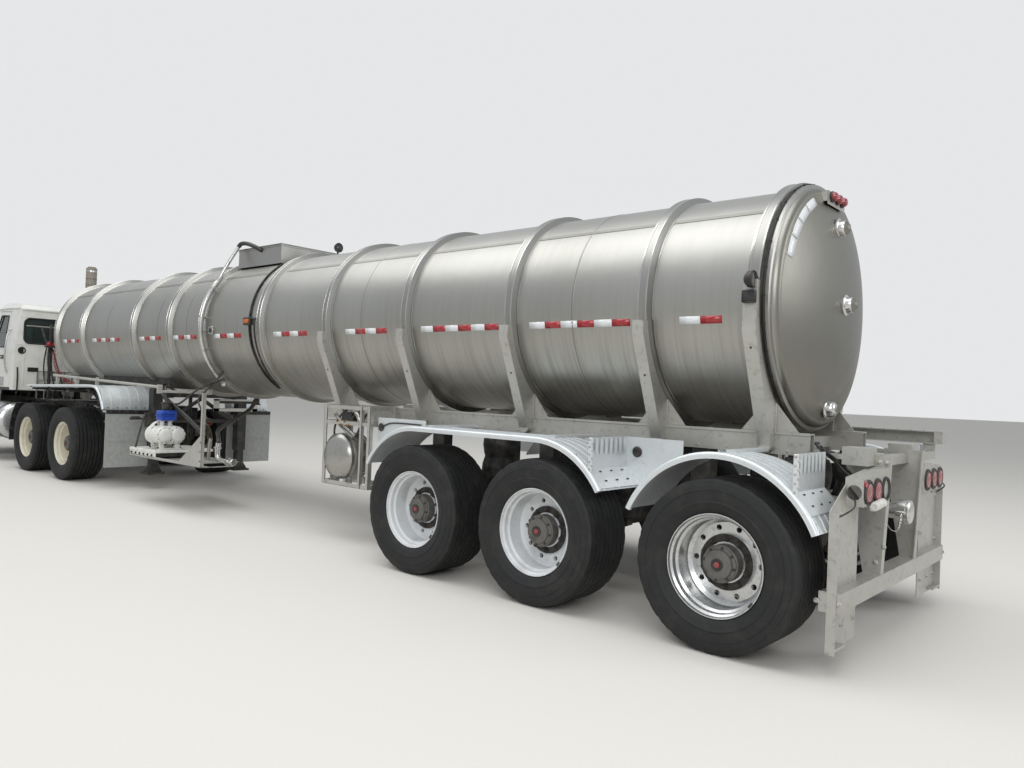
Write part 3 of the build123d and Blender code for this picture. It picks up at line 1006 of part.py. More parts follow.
# Doors: the cab's own wall, cut free by a gap all round, with the mirror on its arm
MIRROR_Y = (1190, 1400)
MIRROR_X = CAB_FRONT_X - 250
for side_name, side in SIDES:
    with BuildPart() as door:
        add(outer_form)
        add(inner_form, mode=Mode.SUBTRACT)
        half_space = sorted((side * 700, side * (CAB_HALF_WIDTH + 60)))
        add(side_prism(DOOR_OUTLINE, *half_space, shrink=DOOR_GAP), mode=Mode.INTERSECT)
        add(side_prism(DOOR_WINDOW, *half_space), mode=Mode.SUBTRACT)
        for z in HINGE_HEIGHTS:
            barrel = ((HINGE_X, side * HINGE_Y, z - HINGE_HALF), (HINGE_X, side * HINGE_Y,
                      z + HINGE_HALF))
            add(rod(*barrel, HINGE_RADIUS))
            add(block(HINGE_X - 60, HINGE_X - DOOR_GAP - 2,
                      *sorted((side * (CAB_HALF_WIDTH - 5), side * HINGE_Y)),
                      z - HINGE_HALF, z + HINGE_HALF))
            add(block(HINGE_X - DOOR_GAP - 2, HINGE_X,
                      *sorted((side * (CAB_HALF_WIDTH + 4), side * HINGE_Y)),
                      z - HINGE_HALF, z + HINGE_HALF))
            add(rod(*barrel, HINGE_PIN_RADIUS + PIN_CLEARANCE), mode=Mode.SUBTRACT)
        mirror_y = sorted(side * y for y in MIRROR_Y)
        add(block(MIRROR_X - 70, MIRROR_X, *mirror_y, 1820, 2220))
        for z in (1800, 2180):
            add(rod((MIRROR_X - 35, side * (CAB_HALF_WIDTH - 60), z),
                    (MIRROR_X - 35, side * (MIRROR_Y[0] + 20), z + 30), 12))
    keep(door, f"door_{side_name}")

# Inside the cab: two seats on boxes, the dash and the steering wheel
SEAT_X = CAB_REAR_X + 330
SEAT_Y = 480
with BuildPart() as cab_interior:
    floor = CAB_FLOOR_Z + CAB_WALL
    for _, side in SIDES:
        seat_y = (side * SEAT_Y - 240, side * SEAT_Y + 240)
        add(block(SEAT_X, SEAT_X + 460, *seat_y, floor, floor + 420))
        add(side_prism([(SEAT_X + 60, floor + 420), (SEAT_X - 110, floor + 1080),
                        (SEAT_X - 190, floor + 1060), (SEAT_X - 60, floor + 400)], *seat_y))
    dash_x = CAB_FRONT_X - CAB_WALL
    add(side_prism([(dash_x, floor + 250), (dash_x, WAIST_Z - 10), (dash_x - 160, WAIST_Z - 20),
                    (dash_x - 260, WAIST_Z - 160), (dash_x - 120, floor + 250)],
                   -CAB_HALF_WIDTH + 70, CAB_HALF_WIDTH - 70))
    column = ((dash_x - 230, SEAT_Y, WAIST_Z - 190), (dash_x - 420, SEAT_Y, WAIST_Z - 60))
    add(rod(*column, 25))
    wheel_plane = Plane(origin=column[1], z_dir=Vector(*column[1]) - Vector(*column[0]))
    add(wheel_plane * Torus(215, 15, mode=Mode.PRIVATE))
    add(wheel_plane * Box(30, 420, 12, mode=Mode.PRIVATE))
keep(cab_interior, "cab_interior")

# Hood: a tapering nose with flared fenders, hollow below and open behind
HOOD_REAR_X = CAB_FRONT_X + HOOD_GAP
HOOD_NOSE_X = BUMPER_FRONT_X - 45
FENDER_HALF_WIDTH = 1200
HOOD_SECTIONS = ((0.0, 860, 780, 1830), (0.5, 790, 690, 1740), (1.0, 640, 520, 1560))


def hood_form(inset):
    """The nose, lofted between three sections, each wide at the foot and cut at the shoulders."""
    length = HOOD_NOSE_X - HOOD_REAR_X
    with BuildPart() as form:
        for share, foot, shoulder, top in HOOD_SECTIONS:
            x = HOOD_REAR_X + share * length - (inset if share == 1.0 else 0)
            x -= inset if share == 0.0 else 0
            foot_y = foot - inset
            low = HOOD_BOTTOM_Z - inset
            with BuildSketch(Plane(origin=(x, 0, 0), x_dir=(0, 1, 0), z_dir=(1, 0, 0))):
                with BuildLine():
                    Polyline([(-foot_y, low), (foot_y, low), (foot_y, top - 330),
                              (shoulder - inset, top - 70 - inset), (shoulder - 190, top - inset),
                              (190 - shoulder, top - inset), (inset - shoulder, top - 70 - inset),
                              (-foot_y, top - 330)], close=True)
                make_face()
        loft(ruled=True)
    return form.part


FENDER_SIDE = [(HOOD_REAR_X + 60, HOOD_BOTTOM_Z), (HOOD_REAR_X + 90, 1060),
               (HOOD_REAR_X + 330, 1200), (STEER_AXLE_X - 150, 1262), (STEER_AXLE_X + 250, 1240),
               (HOOD_NOSE_X - 130, 1120), (HOOD_NOSE_X - 60, 960), (HOOD_NOSE_X - 60, HOOD_BOTTOM_Z)]
with BuildPart() as hood:
    add(hood_form(0))
    add(side_prism(FENDER_SIDE, -FENDER_HALF_WIDTH, FENDER_HALF_WIDTH))
    add(hood_form(HOOD_WALL), mode=Mode.SUBTRACT)
    below = [(x, z) for x, z in FENDER_SIDE]
    add(side_prism([(x, z - (2 * HOOD_WALL if z == HOOD_BOTTOM_Z else 0)) for x, z in below],
                   -FENDER_HALF_WIDTH + HOOD_WALL, FENDER_HALF_WIDTH - HOOD_WALL,
                   shrink=HOOD_WALL), mode=Mode.SUBTRACT)
    for _, side in SIDES:
        add(rod((STEER_AXLE_X, side * 640, AXLE_Z), (STEER_AXLE_X, side * 1300, AXLE_Z),
                ARCH_RADIUS), mode=Mode.SUBTRACT)
    add(block(HOOD_NOSE_X - 120, HOOD_NOSE_X + 20, -430, 430, 820, 1420), mode=Mode.SUBTRACT)
    for _, side in SIDES:
        lug_y = sorted((side * 280, side * 310))
        lug_top = HOOD_BOTTOM_Z + 70
        add(side_prism([(HOOD_PIVOT_X - 40, HOOD_PIVOT_Z - 30), (HOOD_PIVOT_X + 24, HOOD_PIVOT_Z - 30),
                        (HOOD_NOSE_X - 10, HOOD_BOTTOM_Z), (HOOD_NOSE_X - 10, lug_top),
                        (HOOD_PIVOT_X - 40, lug_top)], *lug_y))
        add(rod((HOOD_PIVOT_X, lug_y[0] - 5, HOOD_PIVOT_Z), (HOOD_PIVOT_X, lug_y[1] + 5, HOOD_PIVOT_Z),
                HOOD_TUBE_RADIUS + PIN_CLEARANCE), mode=Mode.SUBTRACT)
keep(hood, "hood")

# Grille: a frame in the nose opening with upright bars
with BuildPart() as grille:
    grille_x = (HOOD_NOSE_X - 22, HOOD_NOSE_X - 2)
    add(block(*grille_x, SKIN_GAP - 430, 430 - SKIN_GAP, 820 + SKIN_GAP, 1420 - SKIN_GAP))
    add(block(grille_x[0] - 1, grille_x[1] + 1, -395, 395, 855, 1385), mode=Mode.SUBTRACT)
    for k in range(13):
        y = -360 + 60 * k
        add(block(*grille_x, y - 8, y + 8, 850, 1390))
keep(grille, "grille")

# Bumper: a pressed beam with swept-back ends and two tow eyes
BUMPER_Z_FRONT = (430, 690)
TOW_EYE_RADIUS = 20
TOW_EYE_Y = 330
with BuildPart() as bumper:
    with BuildSketch(Plane.XY.offset(BUMPER_Z_FRONT[0])):
        with BuildLine():
            Polyline([(BUMPER_FRONT_X, -850), (BUMPER_FRONT_X, 850), (BUMPER_FRONT_X - 90, 1120),
                      (BUMPER_FRONT_X - 150, 1200), (BUMPER_FRONT_X - 160, 1190),
                      (BUMPER_FRONT_X - 105, 1110), (BUMPER_FRONT_X - 18, 840),
                      (BUMPER_FRONT_X - 18, -840), (BUMPER_FRONT_X - 105, -1110),
                      (BUMPER_FRONT_X - 160, -1190), (BUMPER_FRONT_X - 150, -1200),
                      (BUMPER_FRONT_X - 90, -1120)], close=True)
        make_face()
    extrude(amount=BUMPER_Z_FRONT[1] - BUMPER_Z_FRONT[0])
    horn_back = FRAME_FRONT_X - 50
    beam_back = BUMPER_FRONT_X - 18
    for _, side in SIDES:
        horn_y = sorted((side * FRAME_HALF_WIDTH, side * (FRAME_HALF_WIDTH + 16)))
        add(side_prism([(horn_back, 600), (beam_back, 600), (beam_back, 650),
                        (HOOD_PIVOT_X, HOOD_PIVOT_Z - 20), (FRAME_FRONT_X + 40, HOOD_PIVOT_Z - 20),
                        (FRAME_FRONT_X, 900), (horn_back, 900)], *horn_y))
        add(rod((HOOD_PIVOT_X, horn_y[0], HOOD_PIVOT_Z), (HOOD_PIVOT_X, horn_y[1], HOOD_PIVOT_Z),
                HOOD_TUBE_RADIUS + 4))
    add(rod((HOOD_PIVOT_X, -FRAME_HALF_WIDTH - 1, HOOD_PIVOT_Z),
            (HOOD_PIVOT_X, FRAME_HALF_WIDTH + 1, HOOD_PIVOT_Z), HOOD_TUBE_RADIUS))
    for _, side in SIDES:
        eye_y = sorted((side * TOW_EYE_Y, side * (TOW_EYE_Y + 30)))
        eye_x = BUMPER_FRONT_X + TOW_EYE_REACH
        add(side_prism([(BUMPER_FRONT_X - 5, 480), (eye_x, 505), (eye_x, 595),
                        (BUMPER_FRONT_X - 5, 620)], *eye_y))
        add(rod((BUMPER_FRONT_X + 25, eye_y[0] - 5, 550), (BUMPER_FRONT_X + 25, eye_y[1] + 5, 550),
                TOW_EYE_RADIUS), mode=Mode.SUBTRACT)
keep(bumper, "bumper")

# Fuel tanks: a strapped cylinder under each door
FUEL_TANK_X = (CAB_REAR_X + 150, CAB_REAR_X + 1250)
FUEL_TANK_RADIUS = 305
FUEL_TANK_Y = 900
FUEL_TANK_Z = 670
with BuildPart() as fuel_tanks:
    for _, side in SIDES:
        add(rod((FUEL_TANK_X[0], side * FUEL_TANK_Y, FUEL_TANK_Z),
                (FUEL_TANK_X[1], side * FUEL_TANK_Y, FUEL_TANK_Z), FUEL_TANK_RADIUS))
        for x in (FUEL_TANK_X[0] + 200, FUEL_TANK_X[1] - 260):
            add(block(x, x + 60, *sorted((side * FRAME_HALF_WIDTH, side * FUEL_TANK_Y)), 800, 1000))
keep(fuel_tanks, "fuel_tanks")

# Exhaust: a stack behind the cab inside a heat shield
EXHAUST = (CAB_REAR_X - 250, 20)
EXHAUST_RADIUS = 62
SHIELD_RADIUS = 85
EXHAUST_TOP_Z = 3340
with BuildPart() as exhaust:
    add(rod((*EXHAUST, FRAME_TOP_Z + 6), (*EXHAUST, EXHAUST_TOP_Z), EXHAUST_RADIUS))
    add(rod((*EXHAUST, 1500), (*EXHAUST, EXHAUST_TOP_Z - 20), SHIELD_RADIUS))
    add(block(EXHAUST[0], CAB_REAR_X, EXHAUST[1] - 30, EXHAUST[1] + 30, 1700, 1760))
keep(exhaust, "exhaust")

# Air lines: a curly hose pair from the mast to the front of the trailer
LINE_RADIUS = 35
LINES = (
    ("red", [(4650, 620, 1905), (4650, 620, 1740), (4610, 598, 1560), (4490, 532, 1410),
             (4310, 458, 1330), (4140, 400, 1300), (3985, 400, 1300)]),
    ("black", [(4650, 715, 1905), (4650, 715, 1720), (4618, 694, 1530), (4500, 630, 1370),
               (4310, 555, 1295), (4140, 474, 1300), (3985, 474, 1300)]),
)
for colour, route in LINES:
    with BuildPart() as air_line:
        radii = []
        for before, corner, after in zip(route, route[1:], route[2:]):
            run_in = Vector(*corner) - Vector(*before)
            run_out = Vector(*after) - Vector(*corner)
            turn = run_in.get_angle(run_out)
            radii.append(0.45 * min(run_in.length, run_out.length) / tan(radians(turn / 2)))
        with BuildLine() as path:
            FilletPolyline(*route, radius=radii)
        with BuildSketch(Plane(origin=route[0], z_dir=Vector(*route[1]) - Vector(*route[0]))):
            Circle(LINE_RADIUS)
        sweep(path=path.wires()[0])
    print(colour, "air line radii", [round(radius) for radius in radii])
    keep(air_line, f"air_line_{colour}")
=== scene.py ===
import math
import bmesh
import bpy
from mathutils import Matrix, Vector


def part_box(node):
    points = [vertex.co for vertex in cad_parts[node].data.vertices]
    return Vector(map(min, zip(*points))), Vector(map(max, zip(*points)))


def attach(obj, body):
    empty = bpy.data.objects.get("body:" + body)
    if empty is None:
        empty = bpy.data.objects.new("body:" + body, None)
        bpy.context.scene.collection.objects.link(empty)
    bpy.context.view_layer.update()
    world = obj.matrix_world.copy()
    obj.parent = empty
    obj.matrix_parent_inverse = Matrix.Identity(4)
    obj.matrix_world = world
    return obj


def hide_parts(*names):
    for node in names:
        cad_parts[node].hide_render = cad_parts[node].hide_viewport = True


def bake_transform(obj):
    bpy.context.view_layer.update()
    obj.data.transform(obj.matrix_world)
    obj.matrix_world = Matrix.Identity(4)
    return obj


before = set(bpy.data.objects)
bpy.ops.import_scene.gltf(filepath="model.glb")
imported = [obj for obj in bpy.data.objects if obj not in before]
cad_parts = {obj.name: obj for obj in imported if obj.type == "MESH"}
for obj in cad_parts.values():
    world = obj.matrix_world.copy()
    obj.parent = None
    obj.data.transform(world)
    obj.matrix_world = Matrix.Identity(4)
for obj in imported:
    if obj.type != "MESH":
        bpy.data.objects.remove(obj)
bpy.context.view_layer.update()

# Camera: a hand-held wide view from behind the left rear corner, a little off level. Its place,
# its aim and its lens were fitted to the axles, the ring spacing and the barrel's roundness.
scene = bpy.context.scene
scene.view_settings.view_transform = "Standard"
camera_data = bpy.data.cameras.new("camera")
camera_data.lens = 27.87
camera_data.sensor_width = 36
camera_data.clip_end = 500
camera = bpy.data.objects.new("camera", camera_data)
scene.collection.objects.link(camera)
scene.camera = camera
turn, rise, roll = (math.radians(v) for v in (-49.03 - 90, 90 + 0.66, 2.27))
camera.matrix_world = (Matrix.Translation((-9.577, 5.518, 1.460)) @ Matrix.Rotation(turn, 4, "Z")
                       @ Matrix.Rotation(rise, 4, "X") @ Matrix.Rotation(roll, 4, "Z"))


# Floor and light: a pale studio floor, one broad soft lamp overhead and two at the sides. They
# lie over the truck like an overcast sky, so that the barrel shows long soft bands.
def linear(code):
    """An sRGB hex colour as the linear one that shaders use."""
    parts = [int(code[i:i + 2], 16) / 255 for i in (1, 3, 5)]
    return [v / 12.92 if v <= 0.04045 else ((v + 0.055) / 1.055) ** 2.4 for v in parts] + [1]


def add(tree, kind, links=(), **settings):
    """Adds one node with its settings; links are (input, value or another node's output)."""
    made = tree.nodes.new("ShaderNode" + kind)
    for name, value in settings.items():
        setattr(made, name, value)
    for socket, value in links:
        if isinstance(value, bpy.types.NodeSocket):
            tree.links.new(value, made.inputs[socket])
        else:
            made.inputs[socket].default_value = value
    return made


def blank(name):
    """A new material with its shader and output, and nothing else."""
    material = bpy.data.materials.new(name)
    material.use_nodes = True
    tree = material.node_tree
    tree.nodes.clear()
    shader = add(tree, "BsdfPrincipled")
    add(tree, "OutputMaterial", [("Surface", shader.outputs["BSDF"])])
    return material, tree, shader


floor_bm = bmesh.new()
bmesh.ops.create_grid(floor_bm, x_segments=1, y_segments=1, size=150)
floor_mesh = bpy.data.meshes.new("floor")
floor_bm.to_mesh(floor_mesh)
floor = bpy.data.objects.new("floor", floor_mesh)
scene.collection.objects.link(floor)
floor_paint, tree, shader = blank("pale matt studio floor")
speck = add(tree, "TexNoise", [("Scale", 90.0), ("Detail", 4.0),
                               ("Vector", add(tree, "TexCoord").outputs["Object"])])
tone = add(tree, "Mix", [("A", linear("#cfccc6")), ("B", linear("#d8d5cf")),
                         ("Factor", speck.outputs["Fac"])], data_type="RGBA")
tree.links.new(tone.outputs["Result"], shader.inputs["Base Color"])
shader.inputs["Roughness"].default_value = 0.85
floor_mesh.materials.append(floor_paint)

world = bpy.data.worlds.new("studio")
scene.world = world
world.use_nodes = True
tree = world.node_tree
tree.nodes.clear()
rays = add(tree, "LightPath")
seen = add(tree, "Math", [(0, rays.outputs["Is Camera Ray"]), (1, rays.outputs["Is Transmission Ray"])],
           operation="MAXIMUM")
lit = add(tree, "Background", [("Color", linear("#eef1f4")), ("Strength", 0.62)])
backdrop = add(tree, "Background", [("Color", linear("#e6e7e8")), ("Strength", 1.0)])
glossy = add(tree, "Background", [("Color", linear("#c9cdd2")), ("Strength", 1.0)])
ways = add(tree, "MixShader", [(0, rays.outputs["Is Glossy Ray"]), (1, lit.outputs[0]),
                               (2, glossy.outputs[0])])
ways = add(tree, "MixShader", [(0, seen.outputs[0]), (1, ways.outputs[0]), (2, backdrop.outputs[0])])
add(tree, "OutputWorld", [("Surface", ways.outputs[0])])

for name, place, aim, size, power in (
        ("overhead lamp", (-1, 3, 13), (-1, 0, 0), (22, 9), 1500),
        ("left lamp", (-14, 13, 8), (-4, 0, 1), (9, 6), 900),
        ("rear lamp", (-19, -5, 7), (-5, 0, 1), (7, 6), 420)):
    lamp_data = bpy.data.lights.new(name, "AREA")
    lamp_data.shape = "RECTANGLE"
    lamp_data.size, lamp_data.size_y = size
    lamp_data.energy = power
    lamp = bpy.data.objects.new(name, lamp_data)
    scene.collection.objects.link(lamp)
    lamp.matrix_world = (Matrix.Translation(place)
                         @ (Vector(aim) - Vector(place)).to_track_quat("-Z", "Y").to_matrix().to_4x4())


# Air lines: two curly polyurethane hoses from the mast behind the cab to the couplings on the
# trailer's front, wound on a mandrel so that they spring back, red for supply and black for control.
def keep(name, mesh, material, body, smooth=35):
    """Makes an object of a finished mesh and lets it ride on a body."""
    if isinstance(mesh, bmesh.types.BMesh):
        made = bpy.data.meshes.new(name)
        mesh.to_mesh(made)
        mesh.free()
        mesh = made
    obj = bpy.data.objects.new(name, mesh)
    scene.collection.objects.link(obj)
    for each in (material if isinstance(material, list) else [material]):
        mesh.materials.append(each)
    mesh.polygons.foreach_set("use_smooth", [smooth > 0] * len(mesh.polygons))
    if smooth > 0:
        mesh.set_sharp_from_angle(angle=math.radians(smooth))
    if body:
        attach(obj, body)
    return obj


def line_of(points, order=3):
    """A smooth open NURBS line through the pull of its control points."""
    curve = bpy.data.curves.new("route", "CURVE")
    curve.dimensions = "3D"
    spline = curve.splines.new("NURBS")
    spline.points.add(len(points) - 1)
    for spot, point in zip(spline.points, points):
        spot.co = (*point, 1)
    spline.order_u = order
    spline.use_endpoint_u = True
    spline.resolution_u = 12
    return curve


def read(curve):
    """The points that a bare curve runs through, in order."""
    holder = bpy.data.objects.new("reader", curve)
    scene.collection.objects.link(holder)
    mesh = bpy.data.meshes.new_from_object(holder)
    points = [v.co.copy() for v in mesh.vertices]
    bpy.data.meshes.remove(mesh)
    bpy.data.objects.remove(holder)
    return points


def hose(points, radius, sides=4, caps=True):
    """A round hose or pipe of that radius along a NURBS line, as a mesh."""
    curve = line_of(points)
    curve.bevel_depth = radius
    curve.bevel_resolution = sides
    curve.use_fill_caps = caps
    holder = bpy.data.objects.new("reader", curve)
    scene.collection.objects.link(holder)
    mesh = bpy.data.meshes.new_from_object(holder)
    bpy.data.objects.remove(holder)
    return mesh


def moulded(name, colour, dust, roughness):
    """Extruded polyurethane or rubber hose: even and slightly glossy, with road dust on top."""
    material, tree, shader = blank(name)
    where = add(tree, "TexCoord").outputs["Object"]
    dirt = add(tree, "TexNoise", [("Scale", 18.0), ("Detail", 6.0), ("Vector", where)])
    amount = add(tree, "MapRange", [("Value", dirt.outputs["Fac"]), ("From Min", 0.42),
                                    ("From Max", 0.72), ("To Max", 0.6)])
    tone = add(tree, "Mix", [("A", linear(colour)), ("B", linear(dust)),
                             ("Factor", amount.outputs[0])], data_type="RGBA")
    tree.links.new(tone.outputs["Result"], shader.inputs["Base Color"])
    rough = add(tree, "MapRange", [("Value", dirt.outputs["Fac"]), ("To Min", roughness - 0.1),
                                   ("To Max", roughness + 0.2)])
    tree.links.new(rough.outputs[0], shader.inputs["Roughness"])
    skin = add(tree, "TexNoise", [("Scale", 900.0), ("Detail", 2.0), ("Vector", where)])
    bump = add(tree, "Bump", [("Height", skin.outputs["Fac"]), ("Strength", 0.3),
                              ("Distance", 0.0004)])
    tree.links.new(bump.outputs[0], shader.inputs["Normal"])
    return material


red_hose = moulded("red polyurethane hose, extruded", "#a3161c", "#8a7a6c", 0.38)
black_rubber = moulded("black rubber hose, extruded", "#17181a", "#5c5750", 0.45)
for colour, material, route in (
        ("red", red_hose, ((4.650, 0.620, 1.905), (4.650, 0.620, 1.740), (4.610, 0.598, 1.560),
                           (4.490, 0.532, 1.410), (4.310, 0.458, 1.330), (4.140, 0.400, 1.300),
                           (3.985, 0.400, 1.300))),
        ("black", black_rubber, ((4.650, 0.715, 1.905), (4.650, 0.715, 1.720),
                                 (4.618, 0.694, 1.530), (4.500, 0.630, 1.370),
                                 (4.310, 0.555, 1.295), (4.140, 0.474, 1.300),
                                 (3.985, 0.474, 1.300)))):
    spine = read(line_of(route))
    reach = [0.0]
    for before, after in zip(spine, spine[1:]):
        reach.append(reach[-1] + (after - before).length)
    side = Vector((0, 1, 0))
    coil = []
    turns, steps = 30, 14
    for k in range(turns * steps + 1):
        share = k / (turns * steps)
        along = reach[-1] * share
        at = max(i for i in range(len(spine) - 1) if reach[i] <= along + 1e-9)
        part = (along - reach[at]) / (reach[at + 1] - reach[at])
        heading = (spine[at + 1] - spine[at]).normalized()
        side = (side - heading * side.dot(heading)).normalized()
        other = heading.cross(side)
        spread = 0.026 * min(1, share * 12, (1 - share) * 12)
        angle = 2 * math.pi * turns * share
        coil.append(spine[at].lerp(spine[at + 1], part)
                    + (side * math.cos(angle) + other * math.sin(angle)) * spread)
    curl = line_of(coil)
    curl.splines[0].resolution_u = 2
    path = read(curl)
    curl = line_of(coil)
    curl.splines[0].resolution_u = 2
    curl.bevel_depth = 0.006
    curl.bevel_resolution = 1
    curl.use_fill_caps = True
    holder = bpy.data.objects.new("reader", curl)
    scene.collection.objects.link(holder)
    mesh = bpy.data.meshes.new_from_object(holder)
    bpy.data.objects.remove(holder)
    line = keep(f"curly_hose_{colour}", mesh, material, None, 60)
    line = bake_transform(line)
    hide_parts(f"air_line_{colour}")
    length = sum((b - a).length for a, b in zip(path, path[1:]))
    print("curly hose", colour, round(length, 3), "m, route", round(reach[-1], 3), "m")


# Tank barrel: rolled stainless sheets welded end to end and brushed round the barrel. It mirrors
# the sky softly, each sheet a little differently, with rain runs and road film low down.
TAIL = -7.475
AXIS_Z = 2.126
SKIN = 0.820


def brushed(name, light, dark, film, rough, runs=0.5, head=None):
    """Stainless sheet brushed round the barrel: fine hoops of scratches under vertical rain runs."""
    material, tree, shader = blank(name)
    where = add(tree, "TexCoord").outputs["Object"]
    sheet_map = add(tree, "Mapping", [("Vector", where), ("Scale", (1.1, 0.25, 0.25))])
    sheet_tone = add(tree, "TexNoise", [("Vector", sheet_map.outputs[0]), ("Scale", 1.0), ("Detail", 2.0)])
    run_map = add(tree, "Mapping", [("Vector", where), ("Scale", (34, 2.2, 1.1))])
    run = add(tree, "TexNoise", [("Vector", run_map.outputs[0]), ("Scale", 1.0), ("Detail", 5.0),
                                 ("Roughness", 0.6)])
    tone = add(tree, "Mix", [("A", linear(dark)), ("B", linear(light)),
                             ("Factor", sheet_tone.outputs["Fac"])], data_type="RGBA")
    low = add(tree, "SeparateXYZ", [("Vector", where)])
    height = add(tree, "MapRange", [("Value", low.outputs["Z"]), ("From Min", 2.35),
                                    ("From Max", 1.35), ("To Min", 0.10), ("To Max", 1.0)])
    streak = add(tree, "MapRange", [("Value", run.outputs["Fac"]), ("From Min", 0.44),
                                    ("From Max", 0.70), ("To Max", runs)])
    soiled = add(tree, "Math", [(0, height.outputs[0]), (1, streak.outputs[0])], operation="MULTIPLY")
    colour = add(tree, "Mix", [("A", tone.outputs["Result"]), ("B", linear(film)),
                               ("Factor", soiled.outputs[0])], data_type="RGBA")
    if head:
        rear = add(tree, "MapRange", [("Value", low.outputs["X"]), ("From Min", -7.565),
                                      ("From Max", -7.600), ("To Max", 0.85)])
        colour = add(tree, "Mix", [("A", colour.outputs["Result"]), ("B", linear(head)),
                                   ("Factor", rear.outputs[0])], data_type="RGBA")
    tree.links.new(colour.outputs["Result"], shader.inputs["Base Color"])
    # scratches every 2 mm, coarser than the real 0.1 mm brushing so that they show
    brush_map = add(tree, "Mapping", [("Vector", where), ("Scale", (500, 4, 4))])
    brush = add(tree, "TexNoise", [("Vector", brush_map.outputs[0]), ("Scale", 1.0), ("Detail", 2.0)])
    shine = add(tree, "Math", [(0, brush.outputs["Fac"]), (1, 0.10), (2, rough - 0.05)],
                operation="MULTIPLY_ADD")
    dull = add(tree, "Math", [(0, soiled.outputs[0]), (1, 0.25), (2, shine.outputs[0])],
               operation="MULTIPLY_ADD")
    tree.links.new(dull.outputs[0], shader.inputs["Roughness"])
    dents = add(tree, "TexNoise", [("Vector", where), ("Scale", 2.6), ("Detail", 2.0)])
    wavy = add(tree, "Bump", [("Height", dents.outputs["Fac"]), ("Strength", 0.22), ("Distance", 0.02)])
    bump = add(tree, "Bump", [("Height", brush.outputs["Fac"]), ("Strength", 0.12),
                              ("Distance", 0.0006), ("Normal", wavy.outputs[0])])
    tree.links.new(bump.outputs[0], shader.inputs["Normal"])
    shader.inputs["Metallic"].default_value = 1.0
    return material


def finish(material, *nodes):
    """Gives carried-over pieces their finish."""
    for name in nodes:
        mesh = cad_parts[name].data
        mesh.materials.clear()
        mesh.materials.append(material)
        mesh.polygons.foreach_set("material_index", [0] * len(mesh.polygons))


def closed_up(bm, near=1e-5):
    """Merges doubles, and turns the faces outwards."""
    bmesh.ops.remove_doubles(bm, verts=bm.verts, dist=near)
    bmesh.ops.recalc_face_normals(bm, faces=bm.faces)
    return bm


def join(bm, piece, material=0):
    """Puts a finished bmesh into a bigger one, all its faces of one material, and frees it."""
    for face in piece.faces:
        face.material_index = material
    passing = bpy.data.meshes.new("passing")
    piece.to_mesh(passing)
    piece.free()
    bm.from_mesh(passing)
    bpy.data.meshes.remove(passing)


def turned(profile, centre, axis, steps=48):
    """A solid of revolution: (along, radius) points spun about an axis through the centre."""
    bm = bmesh.new()
    ring = [bm.verts.new((r, 0, a)) for a, r in profile]
    edges = [bm.edges.new(pair) for pair in zip(ring, ring[1:])]
    bmesh.ops.spin(bm, geom=ring + edges, cent=(0, 0, 0), axis=(0, 0, 1), angle=2 * math.pi,
                   steps=steps, use_merge=True, use_duplicate=False)
    closed_up(bm, 1e-6)
    bmesh.ops.rotate(bm, verts=bm.verts, cent=(0, 0, 0),
                     matrix=Vector((0, 0, 1)).rotation_difference(Vector(axis)).to_matrix())
    bmesh.ops.translate(bm, verts=bm.verts, vec=centre)
    return bm


def lathe(bm, profile, centre, axis, steps=48, material=0):
    """Adds a solid of revolution to a bigger bmesh."""
    join(bm, turned(profile, centre, axis, steps), material)


def flat_ring(bm, x, radius, width, height, steps=160):
    """A thin hoop round the barrel, on its skin."""
    lathe(bm, [(-width / 2, radius), (-width / 3, radius + height),
               (width / 3, radius + height), (width / 2, radius)],
          (x, 0, AXIS_Z), (1, 0, 0), steps)


barrel_steel = brushed("brushed stainless barrel sheet", "#b3b2ad", "#9f9e98", "#7d7566", 0.40, 0.5,
                       "#7f7d75")
finish(barrel_steel, "tank")

# Weld seams: two girth welds ground nearly flush, and one long seam high on each side where the
# upper sheet laps over the lower, standing 3 mm proud.
seam_steel = brushed("ground weld seam", "#9e9d97", "#85837c", "#6a6355", 0.42, 0.3)
seams = bmesh.new()
for step in (1.42, 3.90, 7.30, 8.07, 9.62):
    flat_ring(seams, TAIL + step, SKIN - 0.0005, 0.016, 0.0022)
for side in (-1, 1):
    angle = math.radians(45) if side > 0 else math.radians(135)
    for low, high in ((0.0, 0.78), (0.81, 2.0), (2.03, 3.23), (3.26, 4.40), (4.44, 5.58),
                      (5.65, 6.86), (6.92, 7.69), (7.74, 8.72), (8.78, 10.44), (10.50, 11.42)):
        made = bmesh.ops.create_cube(seams, size=1)["verts"]
        bmesh.ops.scale(seams, verts=made, vec=(high - low - 0.09, 0.003, 0.034))
        bmesh.ops.rotate(seams, verts=made, cent=(0, 0, 0), matrix=Matrix.Rotation(angle, 3, "X"))
        bmesh.ops.translate(seams, verts=made,
                            vec=(TAIL + (low + high) / 2, (SKIN + 0.001) * math.cos(angle),
                                 AXIS_Z + (SKIN + 0.001) * math.sin(angle)))
keep("barrel_seams", seams, seam_steel, "trailer", 40)

